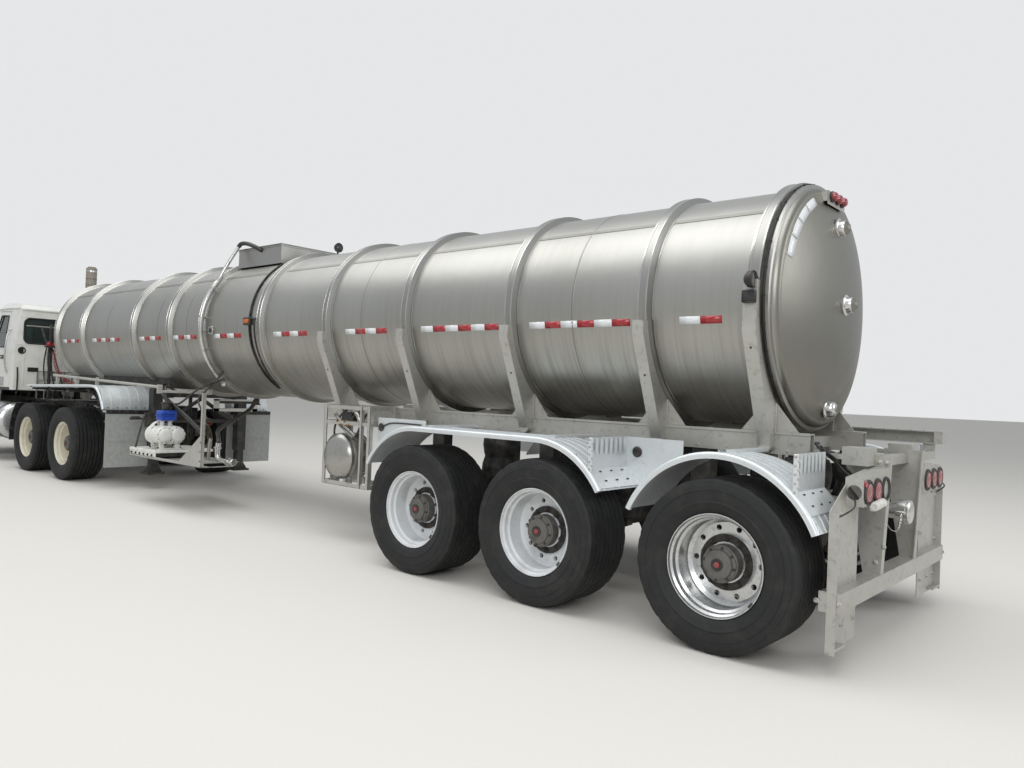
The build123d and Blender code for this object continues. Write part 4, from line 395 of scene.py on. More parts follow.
# Stiffening rings: hat sections pressed from stainless strip. Their rolled edges and the beads
# along their feet, where they are welded to the barrel, are polished brighter than the crown.
ring_steel = brushed("bright stainless ring strip", "#c9c8c4", "#adaca8", "#857b69", 0.22, 0.7)
crown_steel = brushed("stainless ring crown", "#aaa9a4", "#95948f", "#736a5b", 0.34, 0.6)
finish(crown_steel, "tank_rings")
RING_STATIONS = (0, 0.794, 2.017, 3.250, 4.423, 5.618, 6.890, 7.718, 8.750, 10.469, 11.454)
beads = bmesh.new()
for step in RING_STATIONS:
    for foot in (-0.062, 0.062):
        flat_ring(beads, TAIL + step + foot, SKIN - 0.0005, 0.014, 0.005, 128)
    for edge in (-0.030, 0.030):
        flat_ring(beads, TAIL + step + edge, SKIN + 0.0415, 0.012, 0.003, 128)
keep("ring_weld_beads", beads, ring_steel, "trailer", 40)

# Rear head's rim: the lamps' black cable lies round the joint between the head and the last ring,
# held to the skin by small moulded clips.
rubber_trim = moulded("black weather strip, extruded rubber", "#121314", "#3c3833", 0.5)
rim = hose([(TAIL - 0.064, (SKIN + 0.032) * math.cos(math.radians(a)),
             AXIS_Z + (SKIN + 0.032) * math.sin(math.radians(a))) for a in range(-52, 104, 6)],
           0.0045)
keep("rim_cable", rim, rubber_trim, "trailer")
clips = bmesh.new()
for angle in range(-48, 100, 12):
    made = bmesh.ops.create_cube(clips, size=1)["verts"]
    bmesh.ops.scale(clips, verts=made, vec=(0.016, 0.014, 0.010))
    bmesh.ops.translate(clips, verts=made, vec=(TAIL - 0.064, SKIN + 0.030, 0))
    bmesh.ops.rotate(clips, verts=made, cent=(0, 0, 0),
                     matrix=Matrix.Rotation(math.radians(angle), 3, "X"))
    bmesh.ops.translate(clips, verts=made, vec=(0, 0, AXIS_Z))
bmesh.ops.bevel(clips, geom=clips.edges[:], offset=0.003, segments=1, profile=0.5,
                affect="EDGES", material=-1)
keep("rim_clips", clips, rubber_trim, "trailer", 0)

# Conspicuity tape: self-adhesive retroreflective strips along the barrel, red and white in turn,
# each block 6 in long and 2 in high. A fine hexagon of glass cells makes them look frosted.
SPLIT = 0.1524


def reflective(name, colour, cell):
    """Retroreflective sheeting: glass cells over one colour, with cell as the lines between them."""
    material, tree, shader = blank(name)
    where = add(tree, "TexCoord").outputs["Object"]
    cells = add(tree, "TexVoronoi", [("Vector", where), ("Scale", 260.0)], feature="DISTANCE_TO_EDGE")
    lines = add(tree, "MapRange", [("Value", cells.outputs["Distance"]), ("From Max", 0.12),
                                   ("To Min", 0.65), ("To Max", 0.0)])
    tone = add(tree, "Mix", [("A", linear(colour)), ("B", linear(cell)),
                             ("Factor", lines.outputs[0])], data_type="RGBA")
    tree.links.new(tone.outputs["Result"], shader.inputs["Base Color"])
    bump = add(tree, "Bump", [("Height", cells.outputs["Distance"]), ("Strength", 0.25),
                              ("Distance", 0.0005)])
    tree.links.new(bump.outputs[0], shader.inputs["Normal"])
    shader.inputs["Roughness"].default_value = 0.32
    shader.inputs["Coat Weight"].default_value = 0.5
    return material


white_tape = reflective("white retroreflective tape", "#dcdfe0", "#b9bec2")
red_tape = reflective("red retroreflective tape", "#a01620", "#7c0c16")


def skin_patch(bm, x_low, x_high, z_low, z_high, side, material):
    """A patch of tape wrapped on the barrel between two heights."""
    rows = []
    for z in (z_low, (z_low + z_high) / 2, z_high):
        reach = SKIN + 0.0016
        y = side * math.sqrt(reach ** 2 - (z - AXIS_Z) ** 2)
        rows.append([bm.verts.new((x, y, z)) for x in (x_low, x_high)])
    for below, above in zip(rows, rows[1:]):
        corners = (below[0], below[1], above[1], above[0])
        face = bm.faces.new(corners if side < 0 else corners[::-1])
        face.material_index = material


tape = bmesh.new()
for front, count in ((0.532, 2), (1.833, 6), (3.070, 6), (4.143, 4), (5.391, 4), (6.654, 4),
                     (7.665, 4), (8.599, 4), (10.135, 6), (11.244, 4)):
    for k in range(count):
        for side in (-1, 1):
            skin_patch(tape, TAIL + front - (k + 1) * SPLIT, TAIL + front - k * SPLIT,
                       1.962, 2.013, side, k % 2)
for edge in tape.edges:
    edge.smooth = True
strips = keep("barrel_tape", tape, [white_tape, red_tape], "trailer", 40)
backing = strips.modifiers.new("thickness", "SOLIDIFY")
backing.thickness = 0.0012
backing.offset = -1

# White strips round the upper left of the rear head: four self-adhesive retroreflective pieces
# laid end to end on the polished rim.
DISH = 2.375
HEAD_TIP = -7.750
arc = bmesh.new()
for part in range(4):
    low = 20.0 + part * 11.6
    grid = []
    for k in range(5):
        angle = math.radians(low + 11.1 * k / 4)
        grid.append([arc.verts.new((HEAD_TIP + DISH - math.sqrt(DISH ** 2 - r ** 2) - 0.0022,
                                    r * math.cos(angle), AXIS_Z + r * math.sin(angle)))
                     for r in (0.712, 0.740, 0.768)])
    for one, two in zip(grid, grid[1:]):
        for a, b, c, d in zip(one, one[1:], two[1:], two):
            arc.faces.new((d, c, b, a))
head_tape = keep("head_tape", arc, white_tape, "trailer", 40)
backing = head_tape.modifiers.new("thickness", "SOLIDIFY")
backing.thickness = 0.0015
backing.offset = 0

# Tyres: wide-base radial tyres of black rubber, grooved round the tread, with cut shoulder blocks
# and moulded ribs on the side wall. Road dust lies on them in patches.
def wheel_rubber():
    """Vulcanised tyre rubber: near black, matt, dusted with dry road dirt."""
    material, tree, shader = blank("black tyre rubber, vulcanised")
    where = add(tree, "TexCoord").outputs["Object"]
    cloud = add(tree, "TexNoise", [("Vector", where), ("Scale", 7.0), ("Detail", 8.0), ("Roughness", 0.7)])
    dust = add(tree, "MapRange", [("Value", cloud.outputs["Fac"]), ("From Min", 0.48), ("From Max", 0.78),
                                  ("To Max", 0.28)])
    tone = add(tree, "Mix", [("A", linear("#131415")), ("B", linear("#57534b")),
                             ("Factor", dust.outputs[0])], data_type="RGBA")
    tree.links.new(tone.outputs["Result"], shader.inputs["Base Color"])
    grain = add(tree, "TexNoise", [("Vector", where), ("Scale", 400.0), ("Detail", 3.0)])
    bump = add(tree, "Bump", [("Height", grain.outputs["Fac"]), ("Strength", 0.35), ("Distance", 0.0006)])
    tree.links.new(bump.outputs[0], shader.inputs["Normal"])
    rough = add(tree, "MapRange", [("Value", cloud.outputs["Fac"]), ("To Min", 0.55), ("To Max", 0.85)])
    tree.links.new(rough.outputs[0], shader.inputs["Roughness"])
    return material


def tyre_shape(width):
    """One tyre about the origin, its axle along Z."""
    half = width / 2
    outer = [(half - 0.050, 0.2932), (half - 0.040, 0.305), (half - 0.024, 0.318), (half - 0.011, 0.340),
             (half - 0.004, 0.362), (half - 0.001, 0.366), (half - 0.001, 0.372), (half - 0.004, 0.376),
             (half, 0.405), (half, 0.430), (half - 0.002, 0.4315), (half - 0.002, 0.436), (half, 0.4375),
             (half - 0.001, 0.452), (half - 0.006, 0.470), (half - 0.011, 0.474), (half - 0.014, 0.492),
             (half - 0.022, 0.503), (half - 0.036, 0.5065)]
    tread = []
    for groove in ((0.148, 0.098, 0.046, -0.004) if width > 0.4 else (0.088, 0.030)):
        for a, r in ((groove + 0.006, 0.5075), (groove + 0.004, 0.494), (groove - 0.004, 0.494),
                     (groove - 0.006, 0.5075)):
            tread.append((a, r))
    inner = [(-a, r) for a, r in reversed(tread) if a < -0.01 or a > 0.01]
    back = [(-a, r) for a, r in reversed(outer)]
    loop = outer + tread + [(a, r) for a, r in inner if a < tread[-1][0] - 0.01] + back
    loop = loop + [(0.0, 0.2925), loop[0]]
    steps = 120
    bm = turned(loop, (0, 0, 0), (0, 0, 1), steps)
    for vert in bm.verts:
        reach = math.hypot(vert.co.x, vert.co.y)
        sector = round(math.atan2(vert.co.y, vert.co.x) / (2 * math.pi) * steps) % 4
        if reach > 0.490 and abs(vert.co.z) < half - 0.040:
            vert.co.z += 0.0038 * (sector % 2 * (2 - sector))
        elif reach > 0.480 and sector < 1:
            vert.co.x *= 1 - 0.0035 / reach
            vert.co.y *= 1 - 0.0035 / reach
    made = bpy.data.meshes.new("tyre")
    bm.to_mesh(made)
    bm.free()
    return made


tyre_rubber = wheel_rubber()
shapes = {0.445: tyre_shape(0.445), 0.300: tyre_shape(0.300)}
for name in sorted(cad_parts):
    if "_tyre_" in name:
        low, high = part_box(name)
        width = min(shapes, key=lambda w: abs(w - (high[1] - low[1])))
        spin = 0.7 * len(name) + 1.3 * low[0]
        side = 1 if low[1] > 0 else -1
        mesh = shapes[width].copy()
        mesh.transform(Matrix.Translation([(a + b) / 2 for a, b in zip(low, high)])
                       @ Matrix.Rotation(math.pi / 2 * -side, 4, "X") @ Matrix.Rotation(spin, 4, "Z"))
        tyre = keep(name.replace("_tyre_", "_rubber_"), mesh, tyre_rubber,
                    name.replace("_tyre_", "_wheel_"), 32)
        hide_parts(name)


# Wheels: dished discs, painted white in front and polished behind, cream on the tractor. Ten
# flanged nuts on studs hold each to its hub, whose oil cap has a red rubber plug.
def painted(name, colour, grime, rough, cover=0.35, scale=5.0, coat=0.0):
    """Sprayed enamel on metal: faint orange peel, and grime that settles in soft patches."""
    material, tree, shader = blank(name)
    where = add(tree, "TexCoord").outputs["Object"]
    cloud = add(tree, "TexNoise", [("Vector", where), ("Scale", scale), ("Detail", 8.0), ("Roughness", 0.65)])
    dirt = add(tree, "MapRange", [("Value", cloud.outputs["Fac"]), ("From Min", 0.46), ("From Max", 0.80),
                                  ("To Max", cover)])
    tone = add(tree, "Mix", [("A", linear(colour)), ("B", linear(grime)), ("Factor", dirt.outputs[0])],
               data_type="RGBA")
    tree.links.new(tone.outputs["Result"], shader.inputs["Base Color"])
    dull = add(tree, "MapRange", [("Value", cloud.outputs["Fac"]), ("To Min", rough - 0.06),
                                  ("To Max", rough + 0.22)])
    tree.links.new(dull.outputs[0], shader.inputs["Roughness"])
    peel = add(tree, "TexNoise", [("Vector", where), ("Scale", 240.0), ("Detail", 2.0)])
    bump = add(tree, "Bump", [("Height", peel.outputs["Fac"]), ("Strength", 0.10), ("Distance", 0.0006)])
    tree.links.new(bump.outputs[0], shader.inputs["Normal"])
    if coat:
        shader.inputs["Coat Weight"].default_value = coat
        shader.inputs["Coat Roughness"].default_value = 0.08
    return material


def aluminium(name, light, dark, rough, spots=0.5, scale=3.0, grime="#6f675a"):
    """Bare aluminium: a cloudy grey oxide with small dark spots, smoother where hands rub it."""
    material, tree, shader = blank(name)
    where = add(tree, "TexCoord").outputs["Object"]
    cloud = add(tree, "TexNoise", [("Vector", where), ("Scale", scale), ("Detail", 6.0), ("Roughness", 0.6)])
    tone = add(tree, "Mix", [("A", linear(dark)), ("B", linear(light)), ("Factor", cloud.outputs["Fac"])],
               data_type="RGBA")
    spot = add(tree, "TexNoise", [("Vector", where), ("Scale", 28.0), ("Detail", 5.0)])
    dirty = add(tree, "MapRange", [("Value", spot.outputs["Fac"]), ("From Min", 0.55), ("From Max", 0.78),
                                   ("To Max", spots)])
    colour = add(tree, "Mix", [("A", tone.outputs["Result"]), ("B", linear(grime)),
                               ("Factor", dirty.outputs[0])], data_type="RGBA")
    tree.links.new(colour.outputs["Result"], shader.inputs["Base Color"])
    dull = add(tree, "MapRange", [("Value", cloud.outputs["Fac"]), ("To Min", rough - 0.08),
                                  ("To Max", rough + 0.14)])
    tree.links.new(dull.outputs[0], shader.inputs["Roughness"])
    bump = add(tree, "Bump", [("Height", spot.outputs["Fac"]), ("Strength", 0.12), ("Distance", 0.0012)])
    tree.links.new(bump.outputs[0], shader.inputs["Normal"])
    shader.inputs["Metallic"].default_value = 0.85
    return material


def stamp(bm, mesh, matrix, material=0):
    """Adds a copy of a small finished mesh, placed by a matrix."""
    verts, faces = len(bm.verts), len(bm.faces)
    bm.from_mesh(mesh)
    bm.verts.ensure_lookup_table()
    bm.faces.ensure_lookup_table()
    bmesh.ops.transform(bm, matrix=matrix, verts=bm.verts[verts:])
    for face in bm.faces[faces:]:
        face.material_index = material


def lay(bm, points, radius, sides=4, material=0):
    """Adds a round hose, rod or weld bead along a line."""
    stamp(bm, hose(points, radius, sides), Matrix(), material)


def spare(bm):
    """A small bmesh as a mesh that can be stamped many times."""
    made = bpy.data.meshes.new("spare")
    bm.to_mesh(made)
    bm.free()
    return made


def hexagon(across, height, washer=0.0, stud=0.0):
    """A hexagon head with a chamfered top, on its washer and with the stud's end through it."""
    bm = bmesh.new()
    bmesh.ops.create_cone(bm, cap_ends=True, segments=6, radius1=across / 1.732, radius2=across / 1.732,
                          depth=height, matrix=Matrix.Translation((0, 0, height / 2)))
    tops = [e for e in bm.edges if all(v.co.z > height * 0.9 for v in e.verts)]
    bmesh.ops.bevel(bm, geom=tops, offset=height * 0.12, segments=1, profile=0.5, affect="EDGES",
                    material=-1)
    if washer:
        lathe(bm, [(-0.0005, 0.0), (-0.0005, washer), (height * 0.12, washer),
                   (height * 0.28, washer * 0.82), (height * 0.28, 0.0)], (0, 0, 0), (0, 0, 1), 16)
    if stud:
        lathe(bm, [(height * 0.5, 0.0), (height * 0.5, across * 0.30), (height + stud * 0.8, across * 0.30),
                   (height + stud, across * 0.22), (height + stud, 0.0)], (0, 0, 0), (0, 0, 1), 12)
    return spare(bm)


def facing(place, way, turn=0.0):
    """The matrix that stands a piece made along Z at a place, looking along way."""
    swing = Vector((0, 0, 1)).rotation_difference(Vector(way)).to_matrix().to_4x4()
    return Matrix.Translation(place) @ swing @ Matrix.Rotation(turn, 4, "Z")


white_wheel = painted("white wheel enamel", "#d3d6d8", "#6f6a62", 0.34, 0.55)
cream_wheel = painted("cream wheel enamel", "#d5d0bd", "#6f6656", 0.34, 0.5)
polished = aluminium("polished forged aluminium wheel", "#d9dada", "#b4b5b4", 0.24, 0.45)
grey_hub = painted("grey hub enamel", "#5f5d59", "#2a2622", 0.42, 0.75, 12.0)
dark_steel_and_hub_shade = painted("dark oiled steel, also painted hub shade", "#2b2927", "#5c5144", 0.5, 0.6, 20.0)
plug_rubber = moulded("red hub plug, moulded rubber", "#93383f", "#6f5a52", 0.45)
wheel_nut = hexagon(0.033, 0.024, 0.0235, 0.014)
hub_bolt = hexagon(0.014, 0.008, 0.009)
for name in sorted(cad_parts):
    if "_wheel_" not in name:
        continue
    low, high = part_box(name)
    side = 1 if low[1] > 0 else -1
    centre_x, centre_z = (low[0] + high[0]) / 2, (low[2] + high[2]) / 2
    steer = name.startswith("steer")
    middle = side * (1.040 if steer or name.startswith("drive") else 1.072)
    finish(polished if name.startswith("trailer_3") or steer else
           cream_wheel if name.startswith("drive") else white_wheel, name)
    pad = middle + side * (0.086 if steer else 0.026)
    nose = middle + side * (0.110 if steer else 0.130)
    way = (0, side, 0)
    dress = bmesh.new()
    for k in range(10):
        angle = math.radians(36 * k + 18)
        stamp(dress, wheel_nut, facing((centre_x + 0.143 * math.cos(angle), pad,
                                        centre_z + 0.143 * math.sin(angle)), way, 0.4 * k), 1)
    if steer:
        cap = [(-0.045, 0.0), (-0.045, 0.098), (-0.020, 0.102), (0.004, 0.098), (0.030, 0.082),
               (0.048, 0.050), (0.052, 0.0)]
        face = 0.052
    else:
        cap = [(-0.090, 0.0), (-0.090, 0.112), (-0.026, 0.112), (-0.022, 0.106), (-0.014, 0.104),
               (-0.010, 0.088), (0.006, 0.084), (0.014, 0.062), (0.014, 0.0)]
        face = 0.014
    lathe(dress, cap, (centre_x, nose, centre_z), way, 40)
    for k in range(8):
        angle = math.radians(45 * k + 10)
        stamp(dress, hub_bolt, facing((centre_x + 0.096 * math.cos(angle), nose - side * 0.0135,
                                       centre_z + 0.096 * math.sin(angle)), way), 1)
    lathe(dress, [(face - 0.003, 0.0), (face - 0.003, 0.037), (face + 0.005, 0.037), (face + 0.007, 0.032),
                  (face + 0.004, 0.026), (face + 0.004, 0.0)], (centre_x, nose, centre_z), way, 32, 1)
    # A thin ring of dark steel on each trailer wheel's pad round the hub: painted shade for the shadow in the
    # dished centre.
    if name.startswith("trailer"):
        lathe(dress, [(-0.004, 0.106), (-0.004, 0.167), (0.0015, 0.166), (0.0025, 0.160), (0.0025, 0.106)],
              (centre_x, pad, centre_z), way, 48, 1)
    lathe(dress, [(face + 0.001, 0.0), (face + 0.001, 0.018), (face + 0.008, 0.017), (face + 0.011, 0.010),
                  (face + 0.009, 0.0)], (centre_x, nose, centre_z), way, 24, 2)
    lay(dress, [(centre_x + 0.07, middle + side * 0.002, centre_z + 0.245),
                (centre_x + 0.074, middle + side * 0.045, centre_z + 0.250),
                (centre_x + 0.077, middle + side * 0.085, centre_z + 0.262)], 0.0045, 3, 1)
    weight = bmesh.new()
    bmesh.ops.create_cube(weight, size=1, matrix=Matrix.Diagonal((0.034, 0.016, 0.014, 1)))
    bmesh.ops.bevel(weight, geom=weight.edges[:], offset=0.003, segments=2, profile=0.5,
                    affect="EDGES", material=-1)
    low_left = math.radians(218 if side > 0 else 322)
    bmesh.ops.transform(weight, verts=weight.verts, matrix=Matrix.Translation(
        (centre_x + 0.293 * math.cos(low_left), (high[1] if side > 0 else low[1]) - side * 0.004,
         centre_z + 0.293 * math.sin(low_left))) @ Matrix.Rotation(-low_left - math.pi / 2, 4, "Y"))
    join(dress, weight, 1)
    keep(f"{name}_hub", dress, [grey_hub, dark_steel_and_hub_shade, plug_rubber], name, 35)

# Running gear of the trailer: black axle tubes and arms on rubber air springs, with brake
# chambers behind each axle and the round brake drums inside the wheels, all greyed with dust.
chassis_black = painted("black chassis enamel", "#242423", "#6d6558", 0.55, 0.7, 6.0)
finish(chassis_black, "trailer_axles", "landing_gear", "upper_coupler")
spring_rubber = moulded("black air spring, moulded rubber", "#191a1b", "#5d574d", 0.6)
cast_iron = painted("rusty cast iron drum", "#4b3f36", "#2a2521", 0.7, 0.7, 14.0)
AXLES = (-7.475, -6.121, -4.877)
HUB_Z = 0.508
gear = bmesh.new()
for axle_x in AXLES:
    for side in (-1, 1):
        spring = (axle_x - 0.230, side * 0.480)
        lathe(gear, [(0.575, 0.05), (0.590, 0.128), (0.640, 0.140), (0.690, 0.150), (0.780, 0.158),
                     (0.860, 0.152), (0.905, 0.138), (0.925, 0.132), (0.945, 0.140), (1.020, 0.152),
                     (1.085, 0.146), (1.120, 0.130), (1.136, 0.05)], (*spring, 0), (0, 0, 1), 32)
        lathe(gear, [(0.0, 0.05), (0.0, 0.205), (0.018, 0.212), (0.170, 0.212), (0.190, 0.200),
                     (0.190, 0.05)], (axle_x, side * 0.800, HUB_Z), (0, side, 0), 48, 1)
        chamber = (axle_x + 0.230, side * 0.700, 0.600)
        lathe(gear, [(-0.130, 0.0), (-0.130, 0.045), (-0.105, 0.072), (-0.070, 0.078), (-0.066, 0.086),
                     (-0.054, 0.086), (-0.050, 0.076), (0.0, 0.070), (0.030, 0.040), (0.060, 0.014),
                     (0.125, 0.012), (0.125, 0.0)], chamber, (-0.94, 0, -0.34), 32, 2)
keep("trailer_running_gear", gear, [spring_rubber, cast_iron, chassis_black], "trailer",
     40)

# Fenders: pressed aluminium sheets with rolled ribs and a wide rolled edge, oval dimples in the
# wall behind each crown and slotted flanges below it, held by bolts. Bright, washed and near white.
fender_sheet = aluminium("pressed aluminium fender sheet", "#dfe3e4", "#c6cbcd", 0.36, 0.25, 2.0, "#8d8a82")
fender_sheet.node_tree.nodes["Principled BSDF"].inputs["Metallic"].default_value = 0.45
dull_sheet = aluminium("mill finish aluminium", "#c6c5c0", "#a7a59e", 0.42, 0.45, 4.0, "#6b655a")
dull_sheet.node_tree.nodes["Principled BSDF"].inputs["Metallic"].default_value = 0.65
finish(fender_sheet, "trailer_fenders", "front_wings")
finish(dull_sheet, "chassis_rails", "tank_cradles", "rear_frame", "side_frames")
frame_bolt = hexagon(0.019, 0.012, 0.015, 0.006)
small_bolt = hexagon(0.010, 0.006, 0.008)


def slab(bm, low, high, edge=0.002, material=0, matrix=None, segments=1):
    """A plate or bar between two opposite corners, its edges rounded."""
    spans = [sorted(pair) for pair in zip(low, high)]
    piece = bmesh.new()
    bmesh.ops.create_cube(piece, size=1)
    bmesh.ops.transform(piece, verts=piece.verts, matrix=Matrix.Translation(
        [(a + b) / 2 for a, b in spans]) @ Matrix.Diagonal([b - a for a, b in spans] + [1]))
    if edge:
        bmesh.ops.bevel(piece, geom=piece.edges[:], offset=edge, segments=segments, profile=0.5,
                        affect="EDGES", material=-1)
    if matrix:
        bmesh.ops.transform(piece, verts=piece.verts, matrix=matrix)
    join(bm, piece, material)


def flank(bm, side, xs, ys, zs, edge=0.002, material=0, segments=1):
    """A plate or bar on one side of the truck, its ys measured outwards from the middle."""
    slab(bm, (xs[0], side * ys[0], zs[0]), (xs[1], side * ys[1], zs[1]), edge, material, None, segments)


def dimple(length, width, depth):
    """A long oval pressed into a sheet that looks along Z."""
    bm = bmesh.new()
    bmesh.ops.create_circle(bm, cap_ends=True, segments=20, radius=width / 2)
    for vert in bm.verts:
        vert.co.x += math.copysign((length - width) / 2, vert.co.x) if abs(vert.co.x) > 1e-6 else 0
    face = bm.faces[:]
    for share, drop in ((0.16, depth), (0.30, depth * 0.9)):
        made = bmesh.ops.inset_region(bm, faces=face, thickness=width * share * 0.6, depth=drop)
        face = [f for f in bm.faces if f not in made["faces"]][-1:]
    return spare(bm)


oval = dimple(0.105, 0.034, 0.006)
short_slot = dimple(0.030, 0.011, 0.001)
edge_ring = bmesh.new()
fender_bits = bmesh.new()
for low_x, high_x, low_angle, high_angle in ((-6.121, -4.877, 30, 148), (-7.475, -7.475, 24, 156)):
    for side in (-1, 1):
        rolled = bmesh.new()
        start = (high_x + 0.640 * math.cos(math.radians(low_angle)), side * 1.268,
                 HUB_Z + 0.640 * math.sin(math.radians(low_angle)))
        bmesh.ops.create_circle(rolled, cap_ends=False, segments=14, radius=0.020, matrix=facing(
            start, (math.sin(math.radians(low_angle)), 0, -math.cos(math.radians(low_angle)))))
        bmesh.ops.spin(rolled, geom=rolled.verts[:] + rolled.edges[:], cent=(high_x, 0, HUB_Z),
                       axis=(0, -1, 0), angle=math.radians(90 - low_angle), steps=26)
        tip = [v for v in rolled.verts if abs(v.co.x - high_x) < 1e-4 and v.co.z > 1.1]
        if high_x > low_x:
            made = bmesh.ops.extrude_edge_only(rolled, edges=[
                e for e in rolled.edges if all(v in tip for v in e.verts)])["geom"]
            tip = [g for g in made if isinstance(g, bmesh.types.BMVert)]
            bmesh.ops.translate(rolled, verts=tip, vec=(low_x - high_x, 0, 0))
        bmesh.ops.spin(rolled, geom=tip + [e for e in rolled.edges if all(v in tip for v in e.verts)],
                       cent=(low_x, 0, HUB_Z), axis=(0, -1, 0), angle=math.radians(high_angle - 90),
                       steps=26)
        bmesh.ops.holes_fill(rolled, edges=[e for e in rolled.edges if e.is_boundary], sides=20)
        join(edge_ring, closed_up(rolled))
        wall_x = low_x - 0.450
        for k in range(7):
            stamp(fender_bits, oval, facing((wall_x - 0.0066, side * (0.865 + 0.056 * k), 1.132),
                                            (-1, 0, 0)), 0)
        flank(fender_bits, side, (wall_x - 0.030, wall_x), (1.264, 1.272), (0.965, 1.190), 0.002)
        lathe(fender_bits, [(0.0, 0.0), (0.0, 0.022), (0.004, 0.021), (0.005, 0.0)],
              (wall_x - 0.006, side * 1.235, 1.085), (-1, 0, 0), 8, 3)
        for k in range(9):
            stamp(fender_bits, small_bolt, facing((wall_x - 0.012 - 0.02 * (k % 2),
                                                   side * 1.273, 0.985 + 0.024 * k), (0, side, 0)), 1)
        for angle in (low_angle + 4, 60, 90, 120, high_angle - 5):
            base_x = high_x if angle < 90 else low_x
            way = Vector((math.cos(math.radians(angle)), 0, math.sin(math.radians(angle))))
            for y in (0.835, 1.232):
                spot = Vector((base_x, side * y, HUB_Z)) + way * 0.646
                stamp(fender_bits, small_bolt, facing(spot, way), 1)
        for row in range(2):
            for k in range(3):
                angle = math.radians(136 + 6.5 * row)
                way = Vector((math.cos(angle), 0, math.sin(angle)))
                spot = Vector((low_x, side * (0.90 + 0.13 * k), HUB_Z)) + way * 0.6585
                stamp(fender_bits, short_slot, facing(spot, way, math.pi / 2), 2)
keep("fender_rolled_edges", edge_ring, fender_sheet, "trailer", 40)
keep("fender_details", fender_bits, [fender_sheet, dull_sheet, chassis_black, white_tape], "trailer",
     30)

# Cradle feet and rails: each leg ends in a round toe welded over the rail, with a plug rivet high
# up, and fillet welds run along the gussets. The rail is a mill finish box with a bright top edge.
feet = bmesh.new()
for step, top in ((0, 2.10), (0.794, 1.92), (2.017, 1.92), (3.250, 1.92), (4.423, 1.92)):
    for side in (-1, 1):
        lathe(feet, [(-0.0315, 0.0), (-0.0315, 0.041), (-0.028, 0.0445), (0.028, 0.0445), (0.0315, 0.041),
                     (0.0315, 0.0)], (TAIL + step, side * 0.5805, 1.187), (0, 1, 0), 36)
        for k in (-1, 1):
            lay(feet, [(TAIL + step + k * 0.046, side * 0.551, 1.278),
                       (TAIL + step + k * 0.120, side * 0.551, 1.278),
                       (TAIL + step + k * 0.192, side * 0.551, 1.278)], 0.004, 2)
            lay(feet, [(TAIL + step + k * 0.0455, side * 0.546, 1.282),
                       (TAIL + step + k * 0.0455, side * 0.546, 1.370),
                       (TAIL + step + k * 0.0455, side * 0.546, 1.460)], 0.004, 2)
        reach = 0.612 + (0.904 - 0.612) * (top - 0.30 - 1.185) / (1.896 - 1.185)
        stamp(feet, small_bolt, facing((TAIL + step, side * (reach + 0.0005), top - 0.30),
                                       (0, side, -0.4)), 1)
for side in (-1, 1):
    flank(feet, side, (-7.745, -2.755), (0.549, 0.558), (1.262, 1.281), 0.002)
    for k in range(24):
        stamp(feet, small_bolt, facing((-7.60 + 0.205 * k, side * 0.5505, 1.160), (0, side, 0)), 0)
keep("cradle_feet", feet, [dull_sheet, chassis_black], "trailer", 35)

# Rear head: polished dome caps on short collars, a round work lamp and a wedge lamp by the ring,
# and three red marker lamps on a folded steel bracket above.
chrome_cap = aluminium("polished stainless cap", "#dcdcda", "#bdbcb8", 0.18, 0.3)
caps = bmesh.new()
for rise in (0.544, 0.018, -0.690):
    skin_x = HEAD_TIP + DISH - math.sqrt(DISH ** 2 - rise ** 2)
    lathe(caps, [(-0.004, 0.070), (0.004, 0.072), (0.010, 0.066), (0.014, 0.056), (0.034, 0.053),
                 (0.048, 0.050), (0.058, 0.040), (0.064, 0.022), (0.066, 0.0)], (skin_x, 0, AXIS_Z + rise),
          (-1, 0, 0.0), 36)
keep("head_caps", caps, chrome_cap, "trailer", 40)
red_lens = moulded("red lamp lens, moulded acrylic", "#8e0d1a", "#5f0c14", 0.16)
red_lens.node_tree.nodes["Principled BSDF"].inputs["Coat Weight"].default_value = 0.8
lamp_black = moulded("black lamp body, moulded nylon", "#161718", "#4f4a43", 0.42)
smoked_lens = moulded("dark lamp glass over black reflectors", "#26282a", "#4a4640", 0.12)
clear_lens = moulded("clear lamp lens, moulded acrylic", "#c9ccce", "#a39f97", 0.15)
rear_lamps = bmesh.new()
slab(rear_lamps, (-7.665, -0.162, 2.815), (-7.660, 0.162, 2.905), 0.0015, 3)
slab(rear_lamps, (-7.665, -0.162, 2.900), (-7.560, 0.162, 2.905), 0.0015, 3)
for side in (-1, 1):
    flank(rear_lamps, side, (-7.665, -7.590), (0.158, 0.162), (2.835, 2.905), 0.001, 3)
for k in (-1, 0, 1):
    spot = (-7.665, 0.095 * k, 2.872)
    lathe(rear_lamps, [(0.0, 0.0), (0.0, 0.037), (0.010, 0.038), (0.014, 0.033), (0.014, 0.0)], spot,
          (-1, 0, 0), 28, 1)
    lathe(rear_lamps, [(0.010, 0.0), (0.010, 0.032), (0.026, 0.031), (0.038, 0.022), (0.042, 0.0)], spot,
          (-1, 0, 0), 28)
for side in (-1, 1):
    for index, y in enumerate((0.806, 0.643, 0.480)):
        spot = (-8.175, side * y, 0.978)
        lathe(rear_lamps, [(-0.003, 0.056), (-0.003, 0.074), (0.006, 0.075), (0.012, 0.070), (0.012, 0.062),
                           (0.004, 0.056), (-0.003, 0.056)], spot, (-1, 0, 0), 40, 1)
        empty = side > 0 and index == 2
        lens = ([(-0.004, 0.0), (-0.004, 0.057), (-0.001, 0.057), (-0.001, 0.0)] if empty else
                [(-0.002, 0.0), (-0.002, 0.057), (0.006, 0.057), (0.012, 0.052), (0.0135, 0.040),
                 (0.0125, 0.038), (0.0145, 0.030), (0.0135, 0.028), (0.0155, 0.018), (0.016, 0.0)])
        lathe(rear_lamps, lens, spot, (-1, 0, 0), 40, 1 if empty else 0)
